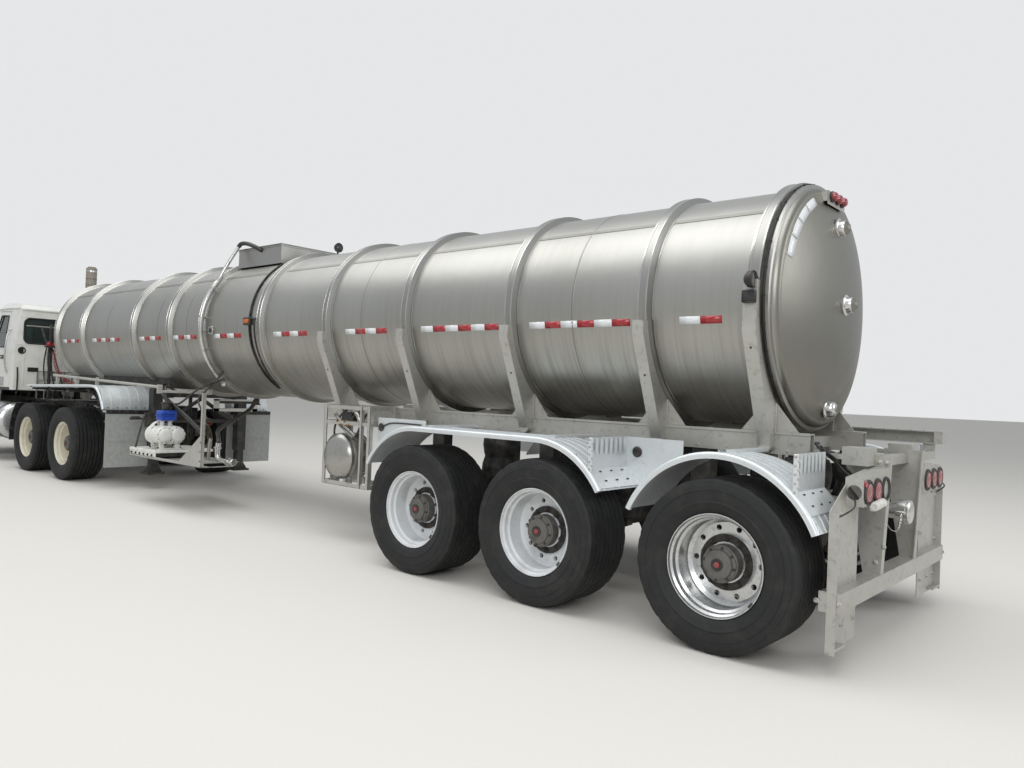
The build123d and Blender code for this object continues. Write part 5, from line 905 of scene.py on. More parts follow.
lamps = keep("rear_lamps", rear_lamps, [red_lens, lamp_black, clear_lens, dull_sheet], "trailer",
             40)
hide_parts("tail_lamps")
work_lamp = bmesh.new()
for side in (-1, 1):
    lathe(work_lamp, [(-0.020, 0.0), (-0.020, 0.030), (0.0, 0.050), (0.034, 0.054), (0.038, 0.050),
                      (0.034, 0.046), (0.030, 0.0)], (TAIL + 0.002, side * 0.925, 2.215), (-1, 0, 0), 32)
    lathe(work_lamp, [(0.028, 0.0), (0.028, 0.044), (0.033, 0.040), (0.036, 0.0)],
          (TAIL + 0.002, side * 0.925, 2.215), (-1, 0, 0), 24, 1)
    flank(work_lamp, side, (TAIL + 0.005, TAIL + 0.013), (0.860, 0.930), (2.205, 2.225), 0.002)
    slab(work_lamp, (TAIL - 0.046, side * 0.925 - 0.024, 2.070), (TAIL + 0.040, side * 0.925 + 0.020, 2.150),
         0.010, 0, None, 2)
    flank(work_lamp, side, (TAIL - 0.048, TAIL + 0.028), (0.946, 0.950), (2.082, 2.138), 0.003, 1)
keep("rear_work_lamps", work_lamp, [lamp_black, smoked_lens], "trailer", 35)

# Rear frame: hanging plates, lamp boxes and splash plates of folded mill finish aluminium, bolted
# together, with a white plate lamp, the outlet's dust cap on its chain and loose black cables.
rear_bits = bmesh.new()
for side in (-1, 1):
    for x, z in ((-8.155, 1.128), (-8.115, 1.128), (-8.155, 0.620), (-8.110, 0.520), (-7.990, 1.128)):
        stamp(rear_bits, frame_bolt, facing((x, side * 0.4005, z), (0, side, 0), x * 9), 0)
    for y in (0.50, 0.57, 0.66, 0.76, 0.85):
        stamp(rear_bits, small_bolt, facing((-8.1755, side * y, 0.912), (-1, 0, 0)), 1)
    for y, z in ((0.72, 0.90), (0.98, 0.86), (1.10, 0.82), (1.10, 0.50), (1.10, 0.24), (0.72, 0.24),
                 (0.92, 0.24)):
        stamp(rear_bits, frame_bolt, facing((-8.0855, side * y, z), (-1, 0, 0), y * 7), 0)
    flank(rear_bits, side, (-8.130, -8.086), (0.960, 1.130), (0.135, 0.150), 0.003, 1)
    lay(rear_bits, [(-8.120, side * 0.900, 0.965), (-8.172, side * 0.970, 0.925),
                    (-8.160, side * 1.060, 0.888), (-8.100, side * 1.090, 0.850)], 0.005, 3, 3)
    for x in (-8.140, -8.020):
        stamp(rear_bits, frame_bolt, facing((x, side * 1.1305, 0.398), (0, side, 0), x), 0)
    flank(rear_bits, side, (-8.139, -8.031), (1.124, 1.132), (0.341, 0.454), 0.003, 1)
for k in range(9):
    stamp(rear_bits, small_bolt, facing((-8.10 + 0.095 * k, -1.075, 1.3005), (0, 0, 1)), 0)
    slab(rear_bits, (-8.060 + 0.095 * k, -1.150, 1.212), (-8.052 + 0.095 * k, -1.1435, 1.294), 0.001, 1)
lathe(rear_bits, [(-0.085, 0.0), (-0.085, 0.020), (-0.078, 0.026), (0.078, 0.026), (0.085, 0.020),
                  (0.085, 0.0)], (-8.200, 0.694, 0.905), (0, 1, -0.08), 28, 2)
for y in (0.640, 0.760):
    slab(rear_bits, (-8.200, y - 0.010, 0.872), (-8.175, y + 0.010, 0.900), 0.004, 2)
lathe(rear_bits, [(0.0, 0.0), (0.0, 0.019), (0.010, 0.018), (0.014, 0.0)], (-8.176, 0.870, 1.030),
      (-1, 0, 0), 20, 4)
for high, low in (((-7.80, 0.50, 1.20), (-8.10, 0.62, 1.06)), ((-7.76, 0.44, 1.22), (-8.12, 0.72, 1.04)),
                  ((-7.78, 0.38, 1.16), (-8.09, 0.10, 1.00))):
    middle = [(a + b) / 2 for a, b in zip(high, low)]
    lay(rear_bits, [high, (high[0] - 0.05, middle[1] + 0.16, high[2] + 0.03),
                    (middle[0], middle[1] - 0.10, middle[2] - 0.06), (low[0] + 0.04, low[1], low[2] - 0.05),
                    low], 0.008, 3, 3)
lathe(rear_bits, [(0.0, 0.0), (0.0, 0.072), (0.006, 0.075), (0.030, 0.075), (0.036, 0.070), (0.042, 0.050),
                  (0.044, 0.0)], (-8.165, 0, 0.800), (-1, 0, 0), 40, 5)
for side in (-1, 1):
    flank(rear_bits, side, (-8.188, -8.125), (0.078, 0.098), (0.790, 0.810), 0.004, 5)
links = bmesh.new()
bmesh.ops.create_circle(links, segments=6, radius=0.0022, matrix=Matrix.Translation((0.0075, 0, 0))
                        @ Matrix.Rotation(math.pi / 2, 4, "X"))
bmesh.ops.spin(links, geom=links.verts[:] + links.edges[:], cent=(0, 0, 0), axis=(0, 0, 1),
               angle=2 * math.pi, steps=10, use_merge=True)
closed_up(links)
for vert in links.verts:
    vert.co.x *= 1.5
link = spare(links)
hang = read(line_of([(-8.170, 0.105, 0.800), (-8.180, 0.150, 0.700), (-8.150, 0.230, 0.690),
                     (-8.110, 0.300, 0.800), (-8.100, 0.390, 0.860)]))
for k, (one, two) in enumerate(zip(hang, hang[1:])):
    stamp(rear_bits, link, Matrix.Translation((one + two) / 2)
          @ Vector((1, 0, 0)).rotation_difference(two - one).to_matrix().to_4x4()
          @ Matrix.Rotation(math.pi / 2 * (k % 2), 4, "X")
          @ Matrix.Scale((two - one).length / 0.019, 4), 5)
white_plastic = moulded("white lamp body, moulded nylon", "#d6d5cf", "#8f8a80", 0.4)
keep("rear_frame_fittings", rear_bits, [dull_sheet, dull_sheet, white_plastic, lamp_black, red_lens,
                                        chrome_cap], "trailer", 35)

# Side frames: an angle iron cage under the rail that holds the polished air tank and its valves,
# and further forward the pump's white slab on a thin tray, braced by a triangular plate.
air_steel = aluminium("polished stainless air tank", "#b2b1ad", "#95938d", 0.24, 0.35, 2.0)
brass = aluminium("brass fitting", "#b8955a", "#8f7040", 0.35, 0.4)
white_slab = painted("white enamel, chipped", "#dcdcd6", "#6a5f50", 0.34, 0.6, 9.0)
side_bits = bmesh.new()


def angle_post(bm, x, y, z_low, z_high, way_x, way_y, width=0.040, material=0):
    """An upright of angle iron: two flanges that meet at a corner."""
    slab(bm, (x, y, z_low), (x + way_x * width, y + way_y * 0.005, z_high), 0.001, material)
    slab(bm, (x, y, z_low), (x + way_x * 0.005, y + way_y * width, z_high), 0.001, material)


def band(bm, half, inner, outer, centre, axis, steps, material):
    """A strap or rim round a drum or pipe: a closed hoop of oblong section."""
    lathe(bm, [(-half, inner), (-half, outer), (half, outer), (half, inner), (-half, inner)],
          centre, axis, steps, material)


cage_x, cage_y, cage_z = (-3.855, -3.155), (0.560, 0.885), (0.520, 1.285)
for x, way_x in zip(cage_x, (1, -1)):
    for y, way_y in zip(cage_y, (1, -1)):
        angle_post(side_bits, x, y, cage_z[0], cage_z[1], way_x, way_y)
angle_post(side_bits, -3.735, 0.885, cage_z[0], cage_z[1], 1, -1, 0.030)
for z, way_z in ((cage_z[0], 1), (cage_z[1], -1), (1.137, -1)):
    for y, way_y in zip(cage_y, (1, -1)):
        near_y = y + way_y * 0.0055
        for deep, tall in ((0.005, 0.040), (0.035, 0.005)):
            slab(side_bits, (cage_x[0] + 0.006, near_y, z),
                 (cage_x[1] - 0.006, near_y + way_y * deep, z + way_z * tall), 0.001)
    for x in (cage_x[0] + 0.008, cage_x[1] - 0.008):
        slab(side_bits, (x - 0.0025, cage_y[0] + 0.006, z),
             (x + 0.0025, cage_y[1] - 0.006, z + way_z * 0.039), 0.001)
slab(side_bits, (cage_x[0], 0.548, 1.137), (cage_x[1], 0.562, 1.277), 0.002)
tank_at = (-3.345, 0.722, 0.790)
lathe(side_bits, [(-0.200, 0.0), (-0.196, 0.060), (-0.182, 0.120), (-0.156, 0.175), (-0.128, 0.205),
                  (-0.120, 0.212), (-0.116, 0.218), (-0.100, 0.220), (0.110, 0.220), (0.124, 0.218),
                  (0.128, 0.212), (0.136, 0.205), (0.162, 0.175), (0.180, 0.120), (0.192, 0.060),
                  (0.196, 0.0)], tank_at, (0, 1, 0), 64, 1)
for y in (0.640, 0.800):
    band(side_bits, 0.012, 0.2195, 0.224, (tank_at[0], y, tank_at[2]), (0, 1, 0), 64, 0)
    slab(side_bits, (tank_at[0] - 0.160, y - 0.014, 0.527), (tank_at[0] + 0.160, y + 0.014, 0.600), 0.002)
slab(side_bits, (-3.475, 0.846, 0.545), (-3.420, 0.876, 0.585), 0.004, 2)
slab(side_bits, (-3.520, 0.700, 1.110), (-3.370, 0.845, 1.215), 0.008, 3)
for k in range(4):
    lathe(side_bits, [(0, 0), (0, 0.014), (0.018, 0.014), (0.018, 0.009), (0.034, 0.009), (0.034, 0)],
          (-3.530 + 0.055 * k, 0.860, 1.10 + 0.03 * (k % 2)), (0, 1, 0), 16, 4)
for start, middle, end, radius, finish_at in (
        ((-3.250, 0.820, 1.190), (-3.450, 0.880, 1.100), (-3.600, 0.850, 1.000), 0.016, 1),
        ((-3.230, 0.800, 1.130), (-3.420, 0.868, 1.060), (-3.560, 0.840, 0.985), 0.013, 1),
        ((-3.620, 0.860, 1.215), (-3.690, 0.885, 1.200), (-3.690, 0.850, 1.080), 0.022, 1),
        ((-3.700, 0.800, 1.215), (-3.660, 0.870, 1.060), (-3.600, 0.830, 0.985), 0.011, 5),
        ((-3.300, 0.720, 1.240), (-3.240, 0.860, 1.120), (-3.280, 0.840, 0.960), 0.010, 5),
        ((-3.640, 0.700, 1.260), (-3.560, 0.860, 1.240), (-3.540, 0.850, 1.120), 0.010, 5)):
    lay(side_bits, [start, middle, end], radius, 4, finish_at)
# the pump's slab, its tray and the rear corner's plate and post
slab(side_bits, (-0.405, 0.560, 0.548), (0.175, 1.280, 0.626), 0.006, 6)
slab(side_bits, (-0.462, 0.575, 0.552), (-0.400, 1.262, 0.603), 0.004, 3)
slab(side_bits, (-0.475, 1.262, 0.548), (-0.400, 1.280, 0.610), 0.004, 6)
slab(side_bits, (-0.480, 0.560, 0.600), (0.180, 1.284, 0.632), 0.004, 6)
for k in range(6):
    stamp(side_bits, frame_bolt, facing((-0.41 + 0.105 * k, 1.2805, 0.575), (0, 1, 0), k), 3)
slab(side_bits, (-1.545, 1.274, 0.528), (0.175, 1.280, 0.560), 0.001)
slab(side_bits, (-1.545, 1.150, 0.528), (0.175, 1.280, 0.533), 0.001)
slab(side_bits, (-1.545, 0.900, 0.528), (-1.500, 1.280, 0.534), 0.001)
slab(side_bits, (-1.105, 0.580, 0.526), (0.145, 1.220, 0.534), 0.001)
angle_post(side_bits, -1.545, 1.280, 0.528, 1.330, 1, -1, 0.036)
slab(side_bits, (0.135, 0.540, 0.520), (0.175, 0.545, 1.330), 0.001, 3)
slab(side_bits, (0.153, 0.545, 0.520), (0.158, 0.580, 1.330), 0.001, 3)
slab(side_bits, (-0.320, 0.520, 1.290), (0.820, 0.575, 1.345), 0.002)
plate = bmesh.new()
corners = [plate.verts.new(p) for p in ((-1.545, 1.274, 0.545), (-1.545, 1.274, 0.890),
                                        (-1.035, 1.274, 0.545))]
plate.faces.new(corners)
out = bmesh.ops.extrude_face_region(plate, geom=plate.faces[:])["geom"]
bmesh.ops.translate(plate, verts=[g for g in out if isinstance(g, bmesh.types.BMVert)], vec=(0, 0.007, 0))
join(side_bits, closed_up(plate), 0)
for z in (0.60, 0.70, 0.80):
    stamp(side_bits, small_bolt, facing((-1.525, 1.2815, z), (0, 1, 0)), 3)
frames = keep("side_frames_and_air_tank", side_bits,
              [dull_sheet, air_steel, clear_lens, lamp_black, brass, black_rubber, white_slab],
              "trailer", 35)
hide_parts("side_frames")

# Pump: a white enamelled casting with two round covers and a cone in front, ringed with bolts, on
# two feet. A ribbed blue oil box and a black filter stand on its neck.
white_cast = painted("white enamelled casting", "#d9dad6", "#8b8577", 0.3, 0.4, 14.0)
blue_cast = painted("blue enamelled box", "#1c46a8", "#1a2a55", 0.3, 0.5, 12.0)
pump_bits = bmesh.new()
PUMP = (-0.490, 1.080, 0.805)
for side in (-1, 1):
    spot = (PUMP[0], PUMP[1] + side * 0.072, PUMP[2])
    lathe(pump_bits, [(0.0, 0.0), (0.002, 0.040), (0.006, 0.062), (0.014, 0.074), (0.030, 0.079),
                      (0.036, 0.098), (0.052, 0.104), (0.056, 0.104), (0.058, 0.098), (0.120, 0.098),
                      (0.122, 0.108), (0.134, 0.108), (0.136, 0.099), (0.200, 0.099), (0.202, 0.108),
                      (0.214, 0.108), (0.216, 0.099), (0.300, 0.100), (0.304, 0.110), (0.330, 0.110),
                      (0.345, 0.090), (0.400, 0.056), (0.440, 0.020), (0.445, 0.0)], spot, (1, 0, 0), 40)
    for k in range(10):
        angle = math.radians(36 * k + 8)
        stamp(pump_bits, small_bolt, facing((PUMP[0] + 0.037, spot[1] + 0.090 * math.cos(angle),
                                             PUMP[2] + 0.090 * math.sin(angle)), (-1, 0, 0)), 2)
slab(pump_bits, (PUMP[0] + 0.056, 1.010, 0.700), (PUMP[0] + 0.310, 1.150, 0.910), 0.010, 0, None, 2)
lathe(pump_bits, [(0.0, 0.0), (0.0, 0.150), (0.010, 0.158), (0.060, 0.158), (0.072, 0.146), (0.090, 0.120),
                  (0.110, 0.060), (0.112, 0.0)], (PUMP[0] + 0.235, PUMP[1] + 0.010, PUMP[2] + 0.010),
      (1, 0, 0), 44)
for k in range(14):
    angle = math.radians(360 / 14 * k)
    stamp(pump_bits, frame_bolt, facing((PUMP[0] + 0.234, PUMP[1] + 0.010 + 0.138 * math.cos(angle),
                                         PUMP[2] + 0.010 + 0.138 * math.sin(angle)), (-1, 0, 0), k), 2)
for x in (PUMP[0] + 0.080, PUMP[0] + 0.280):
    slab(pump_bits, (x - 0.020, 0.940, 0.632), (x + 0.020, 1.220, 0.652), 0.004, 0)
    for y in (0.985, 1.175):
        slab(pump_bits, (x - 0.012, y - 0.030, 0.640), (x + 0.012, y + 0.030, 0.760), 0.006, 0)
        stamp(pump_bits, frame_bolt, facing((x, y + (0.038 if y > 1.1 else -0.038), 0.652), (0, 0, 1)), 2)
for y in (1.035, 1.125):
    lathe(pump_bits, [(0.0, 0.0), (0.0, 0.040), (0.014, 0.040), (0.016, 0.026), (0.068, 0.024),
                      (0.070, 0.036), (0.084, 0.036), (0.084, 0.0)], (PUMP[0] + 0.185, y, 0.893), (0, 0, 1),
          24)
slab(pump_bits, (PUMP[0] + 0.110, 0.985, 0.972), (PUMP[0] + 0.260, 1.175, 1.030), 0.016, 1, None, 3)
slab(pump_bits, (PUMP[0] + 0.104, 0.979, 1.026), (PUMP[0] + 0.266, 1.181, 1.040), 0.004, 1)
slab(pump_bits, (PUMP[0] + 0.110, 0.985, 1.038), (PUMP[0] + 0.260, 1.175, 1.092), 0.018, 1, None, 3)
for k in range(5):
    slab(pump_bits, (PUMP[0] + 0.106, 1.000 + 0.036 * k, 0.985),
         (PUMP[0] + 0.112, 1.010 + 0.036 * k, 1.080), 0.002, 1)
    stamp(pump_bits, small_bolt, facing((PUMP[0] + 0.108, 0.992 + 0.044 * k, 1.040), (0, 0, 1)), 2)
lathe(pump_bits, [(0.0, 0.0), (0.0, 0.050), (0.010, 0.054), (0.080, 0.056), (0.086, 0.062), (0.098, 0.062),
                  (0.104, 0.044), (0.110, 0.0)], (PUMP[0] + 0.185, 1.080, 1.090), (0, 0, 1), 32, 3)
pump = keep("pump_casting", pump_bits, [white_cast, blue_cast, dark_steel_and_hub_shade, lamp_black], "trailer",
            35)
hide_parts("pump")

# Pipework: dark coated steel pipes under the belly, polished couplings at their ends, and the
# stainless overflow pipe over a ring, fed from the spill box's side by a short black hose.
coated_pipe = painted("dark coated steel pipe", "#2e2d2b", "#6b6357", 0.45, 0.6, 7.0)
pipe_bits = bmesh.new()
coupling = [(0.0, 0.0), (0.0, 0.034), (0.006, 0.040), (0.020, 0.040), (0.024, 0.034), (0.060, 0.032),
            (0.064, 0.028), (0.120, 0.028), (0.122, 0.047), (0.134, 0.047), (0.136, 0.028), (0.30, 0.028),
            (0.30, 0.0)]
lathe(pipe_bits, coupling, (-1.384, 0.800, 0.555), (1, 0, 0), 36, 1)
for side in (-1, 1):
    handle_y = 0.800 + side * 0.042
    slab(pipe_bits, (-1.372, handle_y - 0.006, 0.547), (-1.300, handle_y + 0.006, 0.563), 0.003, 1)
lay(pipe_bits, [(-1.100, 0.800, 0.556), (-1.030, 0.800, 0.565), (-1.000, 0.800, 0.640),
                (-1.030, 0.800, 0.755)], 0.030, 8, 1)
lathe(pipe_bits, [(0.0, 0.0), (0.0, 0.044), (0.012, 0.044), (0.012, 0.0)], (-1.012, 0.800, 0.690),
      (-0.1, 0, 1), 32, 1)
lay(pipe_bits, [(-1.028, 0.800, 0.750), (-0.960, 0.760, 0.800), (-0.610, 0.600, 0.872),
                (-0.560, 0.400, 0.965), (-0.510, 0.200, 1.057), (-0.490, 0.050, 1.150),
                (-0.490, 0.0, 1.300)], 0.025, 6)
lay(pipe_bits, [(-0.810, 0.800, 0.540), (-0.810, 0.800, 0.700), (-0.830, 0.790, 0.790)], 0.020, 5, 2)
lathe(pipe_bits, [(0.0, 0.0), (0.0, 0.046), (0.012, 0.046), (0.014, 0.030), (0.126, 0.030), (0.126, 0.0)],
      (-0.490, 0, 1.180), (0, 0, 1), 32)
outlet_x = -7.345
lathe(pipe_bits, [(0.0, 0.0), (0.0, 0.062), (0.090, 0.062), (0.092, 0.095), (0.110, 0.095), (0.112, 0.062),
                  (0.566, 0.062), (0.566, 0.0)], (outlet_x, 0, 0.740), (0, 0, 1), 40, 1)
lathe(pipe_bits, [(0.0, 0.0), (0.0, 0.052), (0.30, 0.052), (0.302, 0.082), (0.320, 0.082), (0.322, 0.052),
                  (0.780, 0.052), (0.782, 0.076), (0.835, 0.078), (0.835, 0.0)], (outlet_x, 0, 0.800),
      (-1, 0, 0), 40, 1)
REACH = 0.886
arc_points = [(-0.738, 0.475, 3.124), (-0.721, 0.538, 3.004), (-0.698, 0.620, 2.845)]
for angle in range(39, -50, -6):
    arc_points.append((-0.655 - 0.018 * max(0, angle) / 39, REACH * math.cos(math.radians(angle)),
                       AXIS_Z + REACH * math.sin(math.radians(angle))))
lay(pipe_bits, arc_points, 0.021, 6, 1)
lay(pipe_bits, [(-1.150, 0.425, 3.030), (-1.125, 0.466, 3.056), (-1.040, 0.474, 3.088),
                (-0.922, 0.476, 3.124), (-0.808, 0.476, 3.140), (-0.754, 0.478, 3.132),
                (-0.736, 0.490, 3.098)], 0.025, 6, 3)
for angle in (30, 6, -20, -44):
    way = Vector((0, math.cos(math.radians(angle)), math.sin(math.radians(angle))))
    place = Vector((-0.672, 0, AXIS_Z)) + way * 0.8185
    lathe(pipe_bits, [(0.0, 0.0), (0.0, 0.013), (0.005, 0.013), (0.005, 0.008), (0.060, 0.008),
                      (0.060, 0.0)], place, way, 20, 2)
    band(pipe_bits, 0.012, 0.021, 0.025,
         Vector((-0.655 - 0.018 * max(0, angle) / 39, 0, AXIS_Z)) + way * REACH,
         (0, -math.sin(math.radians(angle)), math.cos(math.radians(angle))), 24, 2)
lathe(pipe_bits, [(0.0, 0.0), (0.0, 0.030), (0.010, 0.036), (0.030, 0.036), (0.036, 0.028), (0.036, 0.0)],
      (-0.655, REACH * math.cos(math.radians(-50)), AXIS_Z + REACH * math.sin(math.radians(-50))),
      (0, -0.77, -0.64), 28, 1)
slab(pipe_bits, (-0.845, 0.812, 2.008), (-0.735, 0.838, 2.104), 0.003, 2)
slab(pipe_bits, (-0.820, 0.836, 2.030), (-0.770, 0.844, 2.078), 0.004, 3)
slab(pipe_bits, (-0.740, 0.826, 2.050), (-0.650, 0.872, 2.062), 0.002, 2)
pipes = keep("belly_pipework", pipe_bits, [coated_pipe, chrome_cap, ring_steel, black_rubber], "trailer",
             40)
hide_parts("pipework")

# Belly hoses and cables: black rubber between the subframe, the pump's post and the barrel, a
# light conduit along the near wing, and a cable band round the barrel with its amber marker lamp.
amber_lens = moulded("amber lamp lens, moulded acrylic", "#c8661e", "#8f4a18", 0.2)
conduit_grey = painted("galvanised conduit", "#a3a39d", "#6e685d", 0.4, 0.5, 10.0)
belly = bmesh.new()
for points, radius in (
        (((0.75, 0.60, 1.40), (0.236, 1.00, 1.381), (-0.397, 1.05, 1.176), (-0.981, 1.10, 1.003),
          (-1.50, 1.24, 0.90)), 0.012),
        (((0.70, 0.62, 1.38), (0.20, 0.98, 1.33), (-0.42, 1.03, 1.120), (-1.00, 1.08, 0.945),
          (-1.50, 1.22, 0.84)), 0.010),
        (((0.60, 0.60, 1.30), (0.069, 1.00, 1.243), (-0.42, 1.03, 1.150), (-0.70, 1.06, 1.230),
          (-0.95, 1.00, 1.40), (-1.10, 0.80, 1.50)), 0.012),
        (((-1.50, 1.20, 1.05), (-0.90, 1.00, 1.180), (-0.703, 0.90, 1.271), (-0.75, 0.80, 1.370),
          (-0.90, 0.70, 1.58)), 0.010),
        (((-0.305, 1.08, 1.17), (-0.20, 1.06, 1.36), (0.10, 0.90, 1.38), (0.40, 0.60, 1.30)), 0.014),
        (((0.205, 1.10, 1.035), (0.13, 1.19, 0.84), (0.050, 1.270, 0.630)), 0.011)):
    lay(belly, list(points), radius)
lay(belly, [(-0.255, 1.150, 1.366), (1.2, 1.150, 1.405), (2.4, 1.150, 1.440), (3.095, 1.150, 1.458)],
    0.018, 4, 1)
for x in (1.55, 2.25, 2.95):
    slab(belly, (x - 0.012, 1.128, 1.290), (x + 0.012, 1.172, 1.45), 0.003, 1)
slab(belly, (-0.270, 1.120, 1.290), (-0.235, 1.180, 1.395), 0.004, 1)
slab(belly, (-0.268, 0.575, 1.300), (-0.240, 1.150, 1.330), 0.003, 1)
for hole_x, hole_z, to_x in ((-3.925, 1.101, -4.46), (-6.655, 1.090, -7.05)):
    for side in (-1, 1):
        lathe(belly, [(0.0, 0.0), (0.0, 0.036), (0.006, 0.038), (0.012, 0.032), (0.013, 0.0)],
              (hole_x, side * 0.806, hole_z), (0, side, 0), 28)
        if hole_x > -5:
            lay(belly, [(hole_x, side * 0.812, hole_z), (hole_x - 0.06, side * 0.822, hole_z + 0.020),
                        (hole_x - 0.14, side * 0.818, hole_z + 0.048), (to_x + 0.20, side * 0.812, 1.152),
                        (to_x, side * 0.812, 1.150)], 0.007, 3)
for radius, width, height in ((SKIN + 0.001, 0.050, 0.004), (SKIN + 0.004, 0.020, 0.012)):
    strap = bmesh.new()
    edge = [strap.verts.new((-1.628 + a, 0, AXIS_Z + r)) for a, r in (
        (-width / 2, radius), (-width / 2, radius + height), (width / 2, radius + height),
        (width / 2, radius))]
    bmesh.ops.rotate(strap, verts=edge, cent=(0, 0, AXIS_Z),
                     matrix=Matrix.Rotation(math.radians(-32), 3, "X"))
    bmesh.ops.spin(strap, geom=edge + [strap.edges.new(p) for p in zip(edge, edge[1:] + edge[:1])],
                   cent=(0, 0, AXIS_Z), axis=(-1, 0, 0), angle=math.radians(118), steps=60)
    bmesh.ops.holes_fill(strap, edges=[e for e in strap.edges if e.is_boundary], sides=4)
    join(belly, closed_up(strap), 0)
slab(belly, (-1.672, 0.822, 2.096), (-1.528, 0.852, 2.184), 0.010, 0, None, 3)
slab(belly, (-1.650, 0.846, 2.116), (-1.550, 0.859, 2.164), 0.010, 2, None, 3)
lead_x = -1.802
lay(belly, [(-1.665, 0.838, 2.150), (-1.700, 0.852, 2.176), (-1.770, 0.876, 2.176), (lead_x, 0.880, 2.150)],
    0.012)
lay(belly, [(lead_x, 0.875 * math.cos(math.radians(angle)), AXIS_Z + 0.875 * math.sin(math.radians(angle)))
            for angle in range(2, -56, -6)], 0.010)
lathe(belly, [(0.0, 0.0), (0.0, 0.026), (0.016, 0.026), (0.024, 0.018), (0.026, 0.0)], (-2.60, -0.78, 1.42),
      (0, 0, -1), 20, 2)
slab(belly, (-2.63, -0.81, 1.42), (-2.57, -0.75, 1.47), 0.004, 3)
keep("belly_hoses", belly, [black_rubber, conduit_grey, amber_lens, white_plastic], "trailer",
     40)

# Spill box: a welded stainless box round the manway, with a hemmed rim and a hinged flat lid, and
# a black work lamp on a stalk behind it.
box_steel = brushed("brushed stainless box", "#b3b2ad", "#9b9a95", "#75705f", 0.34, 0.4)
finish(box_steel, "spill_box", "spill_box_lid")
box_bits = bmesh.new()
for side in (-1, 1):
    flank(box_bits, side, (-1.580, -0.650), (0.430, 0.437), (3.050, 3.066), 0.002)
for x in (-1.579, -0.651):
    slab(box_bits, (x - 0.0035, -0.430, 3.050), (x + 0.0035, 0.430, 3.066), 0.002)
for x in (-1.40, -0.83):
    lathe(box_bits, [(-0.05, 0.0), (-0.05, 0.011), (0.05, 0.011), (0.05, 0.0)], (x, -0.452, 3.060),
          (1, 0, 0), 20, 1)
keep("spill_box_trim", box_bits, [box_steel, dark_steel_and_hub_shade], "trailer", 35)
lid_bits = bmesh.new()
for k in range(3):
    slab(lid_bits, (-1.45 + 0.30 * k, -0.400, 3.078), (-1.41 + 0.30 * k, 0.400, 3.084), 0.002)
keep("spill_lid_ribs", lid_bits, box_steel, "spill_box_lid", 35)
stalk_x = -2.055
stalk = bmesh.new()
lathe(stalk, [(0.0, 0.0), (0.0, 0.030), (0.005, 0.030), (0.006, 0.010), (0.075, 0.010), (0.075, 0.0)],
      (stalk_x, 0, 2.944), (0, 0, 1), 20)
lathe(stalk, [(-0.030, 0.0), (-0.030, 0.020), (-0.010, 0.048), (0.020, 0.056), (0.026, 0.054),
              (0.024, 0.048), (0.020, 0.0)], (stalk_x, 0, 3.050), (-1, 0, 0), 32)
lathe(stalk, [(0.018, 0.0), (0.018, 0.047), (0.023, 0.040), (0.026, 0.0)], (stalk_x, 0, 3.050), (-1, 0, 0),
      28, 1)
keep("top_work_lamp", stalk, [lamp_black, smoked_lens], "trailer", 35)

# Front wings and splash panels: ribbed white aluminium shelves whose rear edges hold hinged
# panels of grey polyethylene on black rubber strips, under rows of bolts.
grey_panel = moulded("grey polyethylene splash panel", "#9a9d9b", "#8d8b84", 0.55)
finish(grey_panel, "splash_panels")
wing_bits = bmesh.new()
for side in (-1, 1):
    flank(wing_bits, side, (1.098, 1.104), (0.55, 1.20), (0.985, 1.031), 0.001, 1)
    flank(wing_bits, side, (1.098, 1.215), (0.55, 1.20), (1.0295, 1.034), 0.001, 1)
    for k in range(6):
        stamp(wing_bits, frame_bolt, facing((1.0975, side * (0.60 + 0.108 * k), 1.008), (-1, 0, 0), k), 2)
    for k in range(5):
        stamp(wing_bits, small_bolt, facing((1.200, side * (0.66 + 0.12 * k), 1.062), (-1, 0, 0.1)), 2)
    lay(wing_bits, [(3.990, side * 1.200, 1.284), (3.4, side * 1.200, 1.297), (2.2, side * 1.200, 1.324),
                    (1.62, side * 1.200, 1.336), (1.46, side * 1.200, 1.322), (1.34, side * 1.200, 1.240),
                    (1.255, side * 1.200, 1.130), (1.208, side * 1.200, 1.036)], 0.019, 6)
    for x in (1.7, 2.4, 3.1, 3.8):
        stamp(wing_bits, frame_bolt, facing((x, side * 1.2075, 1.278), (0, side, 0), x), 2)
        flank(wing_bits, side, (x - 0.020, x + 0.020), (0.51, 1.195), (1.235, 1.275), 0.003, 3)
    flank(wing_bits, side, (1.1035, 1.116), (1.194, 1.202), (0.29, 1.0), 0.002, 4)
    flank(wing_bits, side, (1.1035, 1.116), (0.50, 1.20), (0.286, 0.300), 0.002, 4)
    flank(wing_bits, side, (1.099, 1.104), (0.55, 1.15), (0.62, 0.626), 0.001, 4)
keep("wing_fittings", wing_bits, [fender_sheet, rubber_trim, dark_steel_and_hub_shade, chassis_black, grey_panel],
     "trailer", 35)
ledge = bmesh.new()
for y_low, y_high, z_low, z_high in ((-0.856, -0.164, 1.186, 1.214), (-0.856, -0.164, 1.036, 1.084),
                                     (-0.856, -0.768, 1.036, 1.214), (-0.252, -0.164, 1.036, 1.214)):
    slab(ledge, (0.896, y_low, z_low), (0.903, y_high, z_high), 0.003)
keep("slotted_plate", ledge, dull_sheet, "trailer", 35)

